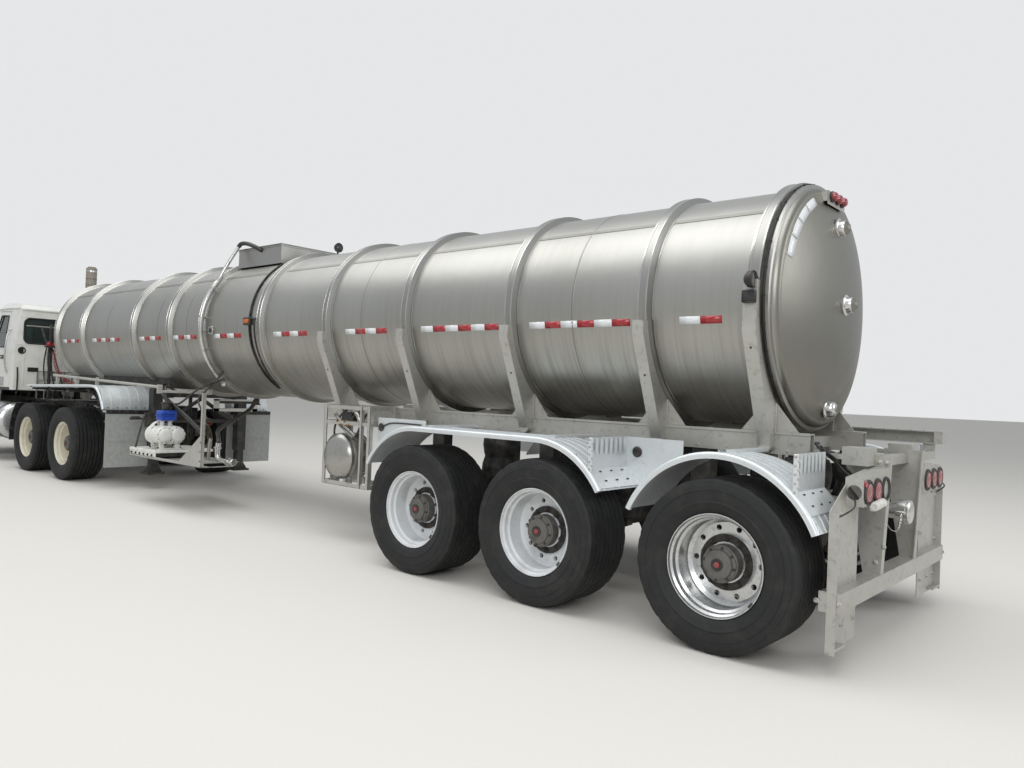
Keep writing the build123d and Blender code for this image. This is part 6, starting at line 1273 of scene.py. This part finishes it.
# Tractor frame: two black channel rails with bolted brackets, air reservoirs, a treaded deck plate
# with its mesh shelf, quarter fenders of black plastic, a hose mast and round tail lamps.
frame_black = painted("black frame enamel, dusty", "#1d1d1d", "#746b5c", 0.5, 0.65, 5.0)
deck_metal = aluminium("treaded aluminium deck", "#a9a8a3", "#85837d", 0.45, 0.6, 5.0)
red_metal = painted("red anodised coupling", "#9c1a22", "#5c2020", 0.35, 0.4, 12.0)
finish(frame_black, "tractor_frame", "front_axle", "steering_knuckle_left", "steering_knuckle_right",
       "drive_axles")
rails = bmesh.new()
for side in (-1, 1):
    for x in (1.96, 2.2, 2.72, 2.95, 3.4, 3.7, 4.1, 4.35, 5.02, 5.1, 6.6, 7.2):
        for z in (0.845, 0.995):
            stamp(rails, frame_bolt, facing((x, side * 0.4305, z), (0, side, 0), x + z), 0)
    for x_low, x_high in ((2.28, 2.62), (3.70, 4.04)):
        flank(rails, side, (x_low, x_high), (0.430, 0.442), (0.80, 1.03), 0.006, 0)
    fender = bmesh.new()
    strip = []
    for k in range(13):
        angle = math.radians(-8 + 5.2 * k)
        strip.append(fender.verts.new((3.865 + 0.62 * math.cos(angle), side * 0.80,
                                       HUB_Z + 0.62 * math.sin(angle))))
    edges = [fender.edges.new(pair) for pair in zip(strip, strip[1:])]
    swept = bmesh.ops.extrude_edge_only(fender, edges=edges)["geom"]
    bmesh.ops.translate(fender, verts=[g for g in swept if isinstance(g, bmesh.types.BMVert)],
                        vec=(0, side * 0.48, 0))
    bmesh.ops.solidify(fender, geom=fender.faces[:], thickness=0.008)
    join(rails, closed_up(fender), 3)
    flank(rails, side, (4.385, 4.425), (0.43, 1.10), (0.845, 0.885), 0.004, 0)
    lathe(rails, [(0.0, 0.0), (0.004, 0.05), (0.020, 0.082), (0.034, 0.088), (0.036, 0.091), (0.050, 0.091),
                  (0.052, 0.088), (0.448, 0.088), (0.450, 0.091), (0.464, 0.091), (0.466, 0.088),
                  (0.480, 0.082), (0.496, 0.05), (0.5, 0.0)], (4.62, side * 0.545, 0.885), (1, 0, 0), 36)
    lathe(rails, [(0.0, 0.0), (0.0, 0.052), (0.016, 0.055), (0.034, 0.055), (0.040, 0.050), (0.042, 0.0)],
          (1.845, side * 0.60, 0.84), (-1, 0, 0), 32, 4)
    lathe(rails, [(0.041, 0.0), (0.041, 0.049), (0.048, 0.044), (0.052, 0.0)], (1.845, side * 0.60, 0.84),
          (-1, 0, 0), 32, 5)
    flank(rails, side, (1.848, 1.856), (0.40, 0.68), (0.79, 0.89), 0.002, 0)
for row in range(9):
    for column in range(15):
        x, y = 4.23 + 0.098 * row, -0.665 + 0.095 * column
        slant = math.radians(45 if (row + column) % 2 else -45)
        slab(rails, (-0.018, -0.004, -0.001), (0.018, 0.004, 0.0018), 0.0015, 1,
             Matrix.Translation((x, y, 1.062)) @ Matrix.Rotation(slant, 4, "Z"))
for x in (4.745, 5.085):
    for y in (0.30, 0.72):
        slab(rails, (x - 0.008, y - 0.008, 1.058), (x + 0.008, y + 0.008, 1.51), 0.002, 1)
for z in (1.36, 1.50):
    slab(rails, (4.737, 0.292, z), (4.753, 0.728, z + 0.016), 0.002, 1)
    slab(rails, (5.077, 0.292, z), (5.093, 0.728, z + 0.016), 0.002, 1)
    slab(rails, (4.745, 0.712, z), (5.085, 0.728, z + 0.016), 0.002, 1)
for k in range(11):
    slab(rails, (4.743, 0.31 + 0.038 * k, 1.37), (4.747, 0.314 + 0.038 * k, 1.505), 0.0008, 1)
    slab(rails, (4.75 + 0.03 * k, 0.30, 1.362), (4.754 + 0.03 * k, 0.72, 1.366), 0.0008, 1)
for k in range(6):
    slab(rails, (4.742, 0.30, 1.375 + 0.022 * k), (4.746, 0.72, 1.379 + 0.022 * k), 0.0008, 1)
lay(rails, [(4.725, 0.664, 2.235), (4.735, 0.86, 2.238), (4.735, 1.02, 2.236)], 0.011, 4, 1)
lay(rails, [(4.725, 0.664, 2.235), (4.715, 0.40, 2.238), (4.715, 0.20, 2.236)], 0.011, 4, 1)
lay(rails, [(4.735, 0.80, 2.232), (4.70, 0.765, 2.05), (4.66, 0.720, 1.94)], 0.018, 4, 6)
for y in (0.620, 0.715):
    lathe(rails, [(-0.045, 0.0), (-0.045, 0.026), (-0.020, 0.034), (0.010, 0.034), (0.024, 0.022),
                  (0.040, 0.020), (0.040, 0.0)], (4.650, y, 1.960), (0, 0, 1), 24, 2)
    slab(rails, (4.622, y - 0.030, 1.936), (4.690, y + 0.030, 1.958), 0.005, 2)
for start, low, end in (((4.70, 0.72, 1.93), (4.76, 0.80, 1.45), (4.80, 0.62, 1.09)),
                        ((4.74, 0.68, 1.90), (4.82, 0.66, 1.40), (4.88, 0.55, 1.09)),
                        ((4.70, 0.64, 1.90), (4.62, 0.70, 1.36), (4.70, 0.50, 1.08)),
                        ((4.74, 0.62, 1.88), (4.60, 0.52, 1.34), (4.52, 0.44, 1.07))):
    lay(rails, [start, low, end], 0.011, 4, 6)
for points in ([(1.95, 0.40, 0.93), (2.10, 0.50, 1.08), (2.50, 0.56, 1.04), (2.80, 0.46, 1.00)],
               [(2.05, 0.36, 1.00), (2.35, 0.62, 1.05), (2.75, 0.66, 1.02), (3.05, 0.47, 0.98)],
               [(2.60, 0.44, 1.06), (2.95, 0.60, 1.02), (3.30, 0.58, 1.03), (3.60, 0.44, 1.00)]):
    lay(rails, points, 0.009, 4, 6)
for x, y, z in ((2.10, 0.52, 1.07), (2.36, 0.63, 1.04), (2.74, 0.66, 1.01), (2.95, 0.61, 1.02)):
    lathe(rails, [(-0.022, 0.0), (-0.022, 0.013), (0.022, 0.013), (0.022, 0.0)], (x, y, z), (1, 0.2, 0), 6, 4)
keep("frame_fittings", rails, [frame_black, deck_metal, red_metal, lamp_black, white_plastic, red_lens,
                               black_rubber], "tractor", 35)

# Fifth wheel: a cast steel plate under black grease that carries the kingpin in its jaw, with the
# release handle at one side and the saddle pins it rocks on.
greasy = painted("greased cast steel", "#2b2723", "#15120f", 0.28, 0.7, 9.0)
finish(greasy, "fifth_wheel")
saddle = bmesh.new()
for side in (-1, 1):
    lathe(saddle, [(-0.05, 0.0), (-0.05, 0.036), (0.05, 0.036), (0.05, 0.0)], (3.175, side * 0.425, 1.105),
          (0, side, 0), 24)
    flank(saddle, side, (3.035, 3.315), (0.423, 0.447), (1.055, 1.075), 0.003, 0)
    for x in (3.06, 3.29):
        stamp(saddle, frame_bolt, facing((x, side * 0.436, 1.075), (0, 0, 1)), 0)
lay(saddle, [(2.85, 0.20, 1.13), (2.86, 0.40, 1.125), (2.84, 0.56, 1.12), (2.86, 0.585, 1.12)], 0.010)
keep("fifth_wheel_fittings", saddle, greasy, "tractor", 35)

# Cab: pressed and riveted white sheet with rubber round its glass, ribs and vents in the back wall,
# grab bars, a drip rail and amber roof lamps. The glass is tinted and the cabin trim is grey.
cab_white = painted("white cab enamel", "#dcdcd7", "#8d8778", 0.26, 0.3, 6.0, 0.3)
bright_trim = aluminium("polished stainless trim", "#d3d3d0", "#a9a8a4", 0.16, 0.3)
cabin_cloth = moulded("grey cabin cloth and vinyl", "#4c4d4f", "#77726a", 0.75)
finish(cab_white, "cab", "door_left", "door_right", "hood")
finish(cabin_cloth, "cab_interior")
tinted, tree, shader = blank("tinted safety glass")
film = add(tree, "TexNoise", [("Scale", 9.0), ("Detail", 5.0),
                              ("Vector", add(tree, "TexCoord").outputs["Object"])])
smear = add(tree, "MapRange", [("Value", film.outputs["Fac"]), ("To Min", 0.03), ("To Max", 0.12)])
tree.links.new(smear.outputs[0], shader.inputs["Roughness"])
shader.inputs["Base Color"].default_value = linear("#5d6c69")
shader.inputs["Transmission Weight"].default_value = 0.82
finish(tinted, "windows")


def seal(points, radius, closed=True):
    """A rubber strip of the given radius along a loop of straight runs with small round corners."""
    corners = [Vector(p) for p in points]
    path = []
    for before, corner, after in zip(corners[-1:] + corners[:-1], corners, corners[1:] + corners[:1]):
        reach = min(0.05, 0.3 * (corner - before).length, 0.3 * (after - corner).length)
        path += [corner + (before - corner).normalized() * reach, corner.copy(),
                 corner + (after - corner).normalized() * reach]
    return hose(path + path[:2] if closed else path, radius, 4)


cab_bits = bmesh.new()
window_loop = []
for y, z, start in ((0.845, 2.295, 0), (-0.845, 2.295, 90), (-0.845, 2.055, 180), (0.845, 2.055, 270)):
    for step in range(0, 91, 18):
        angle = math.radians(start + step)
        window_loop.append((5.120, y + 0.088 * math.cos(angle), z + 0.088 * math.sin(angle)))
lay(cab_bits, window_loop + window_loop[:2], 0.012, 4, 1)
slope = [(6.475, 0.905, 1.930), (6.475, -0.905, 1.930), (6.228, -0.835, 2.558), (6.228, 0.835, 2.558)]
stamp(cab_bits, seal(slope, 0.013), Matrix(), 1)
for side in (-1, 1):
    lay(cab_bits, [(5.16, side * 0.985, 2.545), (5.5, side * 0.988, 2.560), (6.0, side * 0.988, 2.562),
                   (6.20, side * 0.985, 2.555)], 0.011, 3)
    lay(cab_bits, [(5.44, side * 1.045, 1.45), (5.44, side * 1.115, 1.50), (5.44, side * 1.100, 2.15),
                   (5.44, side * 1.030, 2.20)], 0.014, 5, 2)
    flank(cab_bits, side, (5.30, 6.46), (1.038, 1.062), (1.180, 1.232), 0.004, 3)
    for x in (5.34, 5.55, 5.9, 6.25, 6.44):
        stamp(cab_bits, small_bolt, facing((x, side * 1.0625, 1.206), (0, side, 0)), 3)
    lathe(cab_bits, [(0.0, 0.0), (0.002, 0.050), (0.006, 0.060), (0.012, 0.058), (0.010, 0.044),
                     (0.004, 0.040), (0.004, 0.0)], (5.1255, side * 0.955, 1.846), (-1, 0, 0), 36, 3)
    for k in range(4):
        z = 1.818 + 0.017 * k
        flank(cab_bits, side, (5.114, 5.122), (0.919, 0.991), (z, z + 0.006), 0.001, 3)
    lay(cab_bits, [(5.126, side * 1.01, 1.12), (5.095, side * 1.01, 1.16), (5.095, side * 1.01, 1.52),
                   (5.126, side * 1.01, 1.56)], 0.012, 4, 1)
for y in (-0.92, -0.60, -0.30, 0.02, 0.30, 0.60, 0.92):
    slab(cab_bits, (5.1195, y - 0.012, 1.24), (5.1265, y + 0.012, 1.925), 0.003, 0)
for z in (1.215, 1.945, 2.405):
    slab(cab_bits, (5.119, -1.03 if z < 2 else -0.99, z - 0.009),
         (5.1265, 1.03 if z < 2 else 0.99, z + 0.009), 0.003, 0)
slab(cab_bits, (5.108, -0.985, 2.512), (5.150, 0.985, 2.548), 0.010, 0, None, 3)
slab(cab_bits, (5.112, 0.700, 1.500), (5.1265, 0.860, 1.570), 0.003, 1)
for k in range(4):
    slab(cab_bits, (5.108, 0.706, 1.507 + 0.016 * k), (5.114, 0.854, 1.514 + 0.016 * k), 0.001, 1)
for y in (-0.78, -0.30, 0.0, 0.30, 0.78):
    slab(cab_bits, (6.090, y - 0.055, 2.610), (6.180, y + 0.055, 2.648), 0.014, 3, None, 2)
    slab(cab_bits, (6.110, y - 0.040, 2.640), (6.185, y + 0.040, 2.672), 0.014, 4, None, 3)
for y in (-0.45, 0.45):
    lay(cab_bits, [(6.470, y, 1.925), (6.452, y + 0.10, 1.985), (6.340, y + 0.42, 2.285)], 0.006, 3, 1)
keep("cab_trim", cab_bits, [cab_white, rubber_trim, bright_trim, lamp_black, amber_lens], "tractor",
     35)

# Doors: white sheet with a recessed handle, a rubber sealed window, a bright kick plate and a
# mirror head of polished stainless with a flat and a round glass.
silvered = aluminium("silvered mirror glass", "#dfe4e6", "#cdd3d6", 0.05, 0.2)
for side, name in ((1, "left"), (-1, "right")):
    def wall_y(z, off=0.0):
        """The door's outer face at a height."""
        return side * (1.060 - max(0.0, z - 1.850) * 0.1127 + off)

    door_bits = bmesh.new()
    corners = [(5.655, 1.900), (5.655, 2.430), (6.030, 2.445), (6.280, 1.900)]
    stamp(door_bits, seal([(x, wall_y(z, 0.002), z) for x, z in corners], 0.010), Matrix(), 1)
    pane = bmesh.new()
    outer = [pane.verts.new((x, wall_y(z, -0.022), z)) for x, z in corners]
    pane.faces.new(outer)
    out = bmesh.ops.extrude_face_region(pane, geom=pane.faces[:])["geom"]
    bmesh.ops.translate(pane, verts=[g for g in out if isinstance(g, bmesh.types.BMVert)],
                        vec=(0, side * 0.006, 0))
    join(door_bits, closed_up(pane), 2)
    flank(door_bits, side, (5.640, 5.800), (1.058, 1.072), (1.700, 1.765), 0.006, 1)
    flank(door_bits, side, (5.660, 5.785), (1.070, 1.092), (1.722, 1.742), 0.006, 3)
    flank(door_bits, side, (5.600, 6.360), (1.058, 1.065), (1.262, 1.400), 0.003, 3)
    for x in (5.63, 5.98, 6.33):
        for z in (1.285, 1.378):
            stamp(door_bits, small_bolt, facing((x, side * 1.0652, z), (0, side, 0)), 3)
    flank(door_bits, side, (5.600, 6.360), (1.058, 1.064), (1.620, 1.640), 0.003, 0)
    flank(door_bits, side, (6.155, 6.240), (1.183, 1.407), (1.812, 2.228), 0.030, 3, 4)
    for z in ((1.935, 2.205), (1.830, 1.918)):
        flank(door_bits, side, (6.1535, 6.1570), (1.203, 1.387), z, 0.0015, 4)
    keep(f"door_{name}_trim", door_bits, [cab_white, rubber_trim, tinted, bright_trim, silvered],
         f"door_{name}", 35)

# Hood and grille: moulded white panels with rubber latches, lamps in chromed rims on the fender
# fronts and a chromed grille over the radiator core.
chrome_trim = aluminium("chromed steel", "#dedede", "#bcbcbb", 0.08, 0.25)
finish(chrome_trim, "grille", "bumper")
nose = bmesh.new()
steer_x = 7.425
for side in (-1, 1):
    flank(nose, side, (8.030, 8.052), (0.690, 1.180), (0.765, 0.950), 0.014, 0, 3)
    flank(nose, side, (8.050, 8.062), (0.715, 1.020), (0.785, 0.930), 0.010, 1, 3)
    flank(nose, side, (8.050, 8.064), (1.040, 1.165), (0.785, 0.930), 0.010, 2, 3)
    for y in (0.79, 0.94):
        lathe(nose, [(0.0, 0.0), (0.0, 0.052), (0.006, 0.056), (0.010, 0.050), (0.012, 0.0)],
              (8.054, side * y, 0.857), (1, 0, 0), 28, 1)
    flank(nose, side, (6.57, 6.63), (0.860, 0.884), (1.30, 1.46), 0.008, 3)
    flank(nose, side, (6.55, 6.65), (0.874, 0.890), (1.42, 1.45), 0.006, 0)
    arch = [(steer_x + 0.652 * math.cos(math.radians(a)), side * 1.198,
             HUB_Z + 0.652 * math.sin(math.radians(a))) for a in range(24, 157, 6)]
    lay(nose, arch, 0.010, 4, 3)
for y in (-0.40, 0.40):
    slab(nose, (8.092, y - 0.012, 0.835), (8.106, y + 0.012, 1.405), 0.004, 0)
for k in range(11):
    slab(nose, (8.088, -0.395, 0.875 + 0.048 * k), (8.099, 0.395, 0.883 + 0.048 * k), 0.002, 0)
keep("hood_trim", nose, [chrome_trim, clear_lens, amber_lens, rubber_trim], "hood", 35)
core_bits = bmesh.new()
slab(core_bits, (7.845, -0.405, 0.850), (7.905, 0.405, 1.400), 0.006, 0)
for k in range(26):
    slab(core_bits, (7.904, -0.385 + 0.030 * k, 0.875), (7.910, -0.377 + 0.030 * k, 1.375), 0.0008, 1)
for z in (0.866, 1.386):
    slab(core_bits, (7.838, -0.412, z - 0.020), (7.912, 0.412, z + 0.020), 0.008, 0)
keep("radiator_core", core_bits, [lamp_black, deck_metal], "tractor", 35)

# Bumper: a chromed steel pressing with a shadow line rolled into its face, bolted to the rails
# beside the tow eyes.
bumper_bits = bmesh.new()
for z in (0.470, 0.650):
    lay(bumper_bits, [(8.146, -0.84, z), (8.146, 0.84, z)], 0.004, 3)
for side in (-1, 1):
    for y, z in ((0.26, 0.50), (0.26, 0.60), (0.42, 0.50), (0.42, 0.60)):
        stamp(bumper_bits, frame_bolt, facing((8.1455, side * y, z), (1, 0, 0)), 0)
keep("bumper_trim", bumper_bits, chrome_trim, "tractor", 35)

# Engine: a cast block with ribbed sides, rocker cover, manifolds, a turbocharger, a belt driven
# fan and a gearbox with a bolted bell housing behind.
engine_paint = painted("grey engine enamel", "#5d5f60", "#2f2b27", 0.5, 0.7, 9.0)
motor = bmesh.new()
slab(motor, (6.600, -0.210, 0.850), (7.560, 0.210, 1.290), 0.020, 0, None, 2)
slab(motor, (6.640, -0.170, 0.690), (7.500, 0.170, 0.855), 0.040, 0, None, 3)
slab(motor, (6.650, -0.150, 1.288), (7.540, 0.150, 1.470), 0.035, 0, None, 3)
slab(motor, (6.900, -0.4195, 0.850), (7.050, 0.4195, 0.950), 0.010, 1, None, 2)
for k in range(6):
    for side in (-1, 1):
        flank(motor, side, (6.66 + 0.15 * k, 6.72 + 0.15 * k), (0.205, 0.228), (0.88, 1.26), 0.006, 0)
        flank(motor, side, (6.67 + 0.15 * k, 6.73 + 0.15 * k), (0.20, 0.285), (1.16, 1.22), 0.012, 0)
        stamp(motor, frame_bolt, facing((6.68 + 0.16 * k, side * 0.13, 1.471), (0, 0, 1)), 1)
for side, colour in ((-1, 1), (1, 0)):
    lay(motor, [(6.64, side * 0.275, 1.19), (7.10, side * 0.282, 1.195), (7.54, side * 0.275, 1.19)],
        0.042, 5, colour)
lathe(motor, [(-0.09, 0.0), (-0.09, 0.05), (-0.05, 0.085), (-0.01, 0.095), (0.01, 0.05), (0.03, 0.05),
              (0.05, 0.095), (0.09, 0.085), (0.12, 0.045), (0.16, 0.045), (0.16, 0.0)],
      (6.95, -0.225, 1.330), (1, 0, 0), 36, 1)
lathe(motor, [(0.0, 0.0), (0.0, 0.105), (0.05, 0.105), (0.052, 0.060), (0.11, 0.060), (0.11, 0.0)],
      (7.56, 0, 1.10), (1, 0, 0), 32, 1)
for k in range(8):
    blade = (Matrix.Translation((7.695, 0, 1.10)) @ Matrix.Rotation(math.radians(45 * k), 4, "X")
             @ Matrix.Rotation(math.radians(28), 4, "Z"))
    slab(motor, (-0.004, -0.045, 0.05), (0.004, 0.045, 0.315), 0.002, 2, blade)
lathe(motor, [(-0.05, 0.0), (-0.05, 0.30), (0.0, 0.315), (0.03, 0.315), (0.06, 0.30), (0.30, 0.200),
              (0.32, 0.190), (0.66, 0.190), (0.70, 0.10), (0.71, 0.0)], (6.600, 0, 0.860), (-1, 0, 0), 40)
for k in range(12):
    angle = math.radians(30 * k)
    stamp(motor, frame_bolt, facing((6.568, 0.290 * math.cos(angle), 0.860 + 0.2842 * math.sin(angle)),
                                    (-1, 0, 0)), 1)
slab(motor, (6.05, -0.185, 0.642), (6.50, 0.185, 1.078), 0.040, 0, None, 3)
drive = keep("engine_and_gearbox", motor, [engine_paint, cast_iron, lamp_black], "tractor",
             35)
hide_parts("engine")

# Fuel tanks: polished aluminium drums with dished ends, held by strapped brackets over rubber,
# with a filler cap and two treaded steps outside.
fuel = bmesh.new()
for side in (-1, 1):
    drum_y, drum_z = side * 0.900, 0.670
    lathe(fuel, [(0.0, 0.0), (0.006, 0.10), (0.024, 0.22), (0.044, 0.282), (0.060, 0.300), (0.064, 0.305),
                 (1.036, 0.305), (1.040, 0.300), (1.056, 0.282), (1.076, 0.22), (1.094, 0.10), (1.10, 0.0)],
          (5.275, drum_y, drum_z), (1, 0, 0), 72)
    for x in (5.505, 6.145):
        band(fuel, 0.030, 0.3045, 0.310, (x, drum_y, drum_z), (1, 0, 0), 72, 2)
        band(fuel, 0.024, 0.3095, 0.314, (x, drum_y, drum_z), (1, 0, 0), 72, 1)
        flank(fuel, side, (x - 0.030, x + 0.030), (0.4305, 0.640), (0.800, 1.000), 0.006, 3)
    lathe(fuel, [(0.0, 0.0), (0.0, 0.055), (0.030, 0.055), (0.032, 0.062), (0.052, 0.062), (0.056, 0.050),
                 (0.058, 0.0)], (5.90, side * 1.060, 0.900), (0, side * 0.5, 0.866), 28, 1)
    for z in (0.500, 0.760):
        flank(fuel, side, (5.60, 6.10), (1.150, 1.262), (z, z + 0.022), 0.004, 1)
        for k in range(9):
            tread_x = 5.62 + 0.052 * k
            flank(fuel, side, (tread_x, tread_x + 0.025), (1.162, 1.250), (z + 0.021, z + 0.027), 0.002, 1)
        for x in (5.62, 6.08):
            flank(fuel, side, (x - 0.008, x + 0.008), (1.150, 1.262), (z - 0.050, z + 0.004), 0.002, 1)
fuel_piece = keep("fuel_tank_drums", fuel, [polished, bright_trim, rubber_trim, frame_black], "tractor",
                  35)
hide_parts("fuel_tanks")

# Exhaust: a steel stack dulled by heat, in a heat shield with pressed slots, clamped to a bracket
# on the cab's back.
stack_steel = painted("heat dulled steel", "#8a847a", "#6a5a49", 0.5, 0.6, 7.0)
stack_at = (4.875, 0.020)
stack = bmesh.new()
lathe(stack, [(0.0, 0.0), (0.0, 0.062), (2.284, 0.062), (2.284, 0.057), (1.90, 0.057), (1.90, 0.0)],
      (*stack_at, 1.056), (0, 0, 1), 48)
lathe(stack, [(0.0, 0.062), (0.0, 0.085), (1.820, 0.085), (1.820, 0.081), (1.60, 0.081), (1.60, 0.062)],
      (*stack_at, 1.500), (0, 0, 1), 48)
for z in (1.56, 1.98, 2.42, 2.86, 3.26):
    band(stack, 0.012, 0.0845, 0.089, (*stack_at, z), (0, 0, 1), 48, 1)
    slab(stack, (4.955, 0.005, z - 0.012), (4.985, 0.035, z + 0.012), 0.003, 1)
for ring in range(15):
    for k in range(12):
        angle = math.radians(30 * k + 15 * (ring % 2))
        way = Vector((math.cos(angle), math.sin(angle), 0))
        stamp(stack, short_slot, facing(Vector((*stack_at, 1.66 + 0.105 * ring)) + way * 0.0852, way), 2)
slab(stack, (4.960, -0.010, 1.700), (5.125, 0.050, 1.760), 0.006, 1)
for z in (1.69, 1.73, 1.77):
    band(stack, 0.008, 0.0845, 0.092, (*stack_at, z), (0, 0, 1), 48, 1)
exhaust = keep("exhaust_stack", stack, [stack_steel, bright_trim, lamp_black], "tractor", 40)
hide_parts("exhaust")
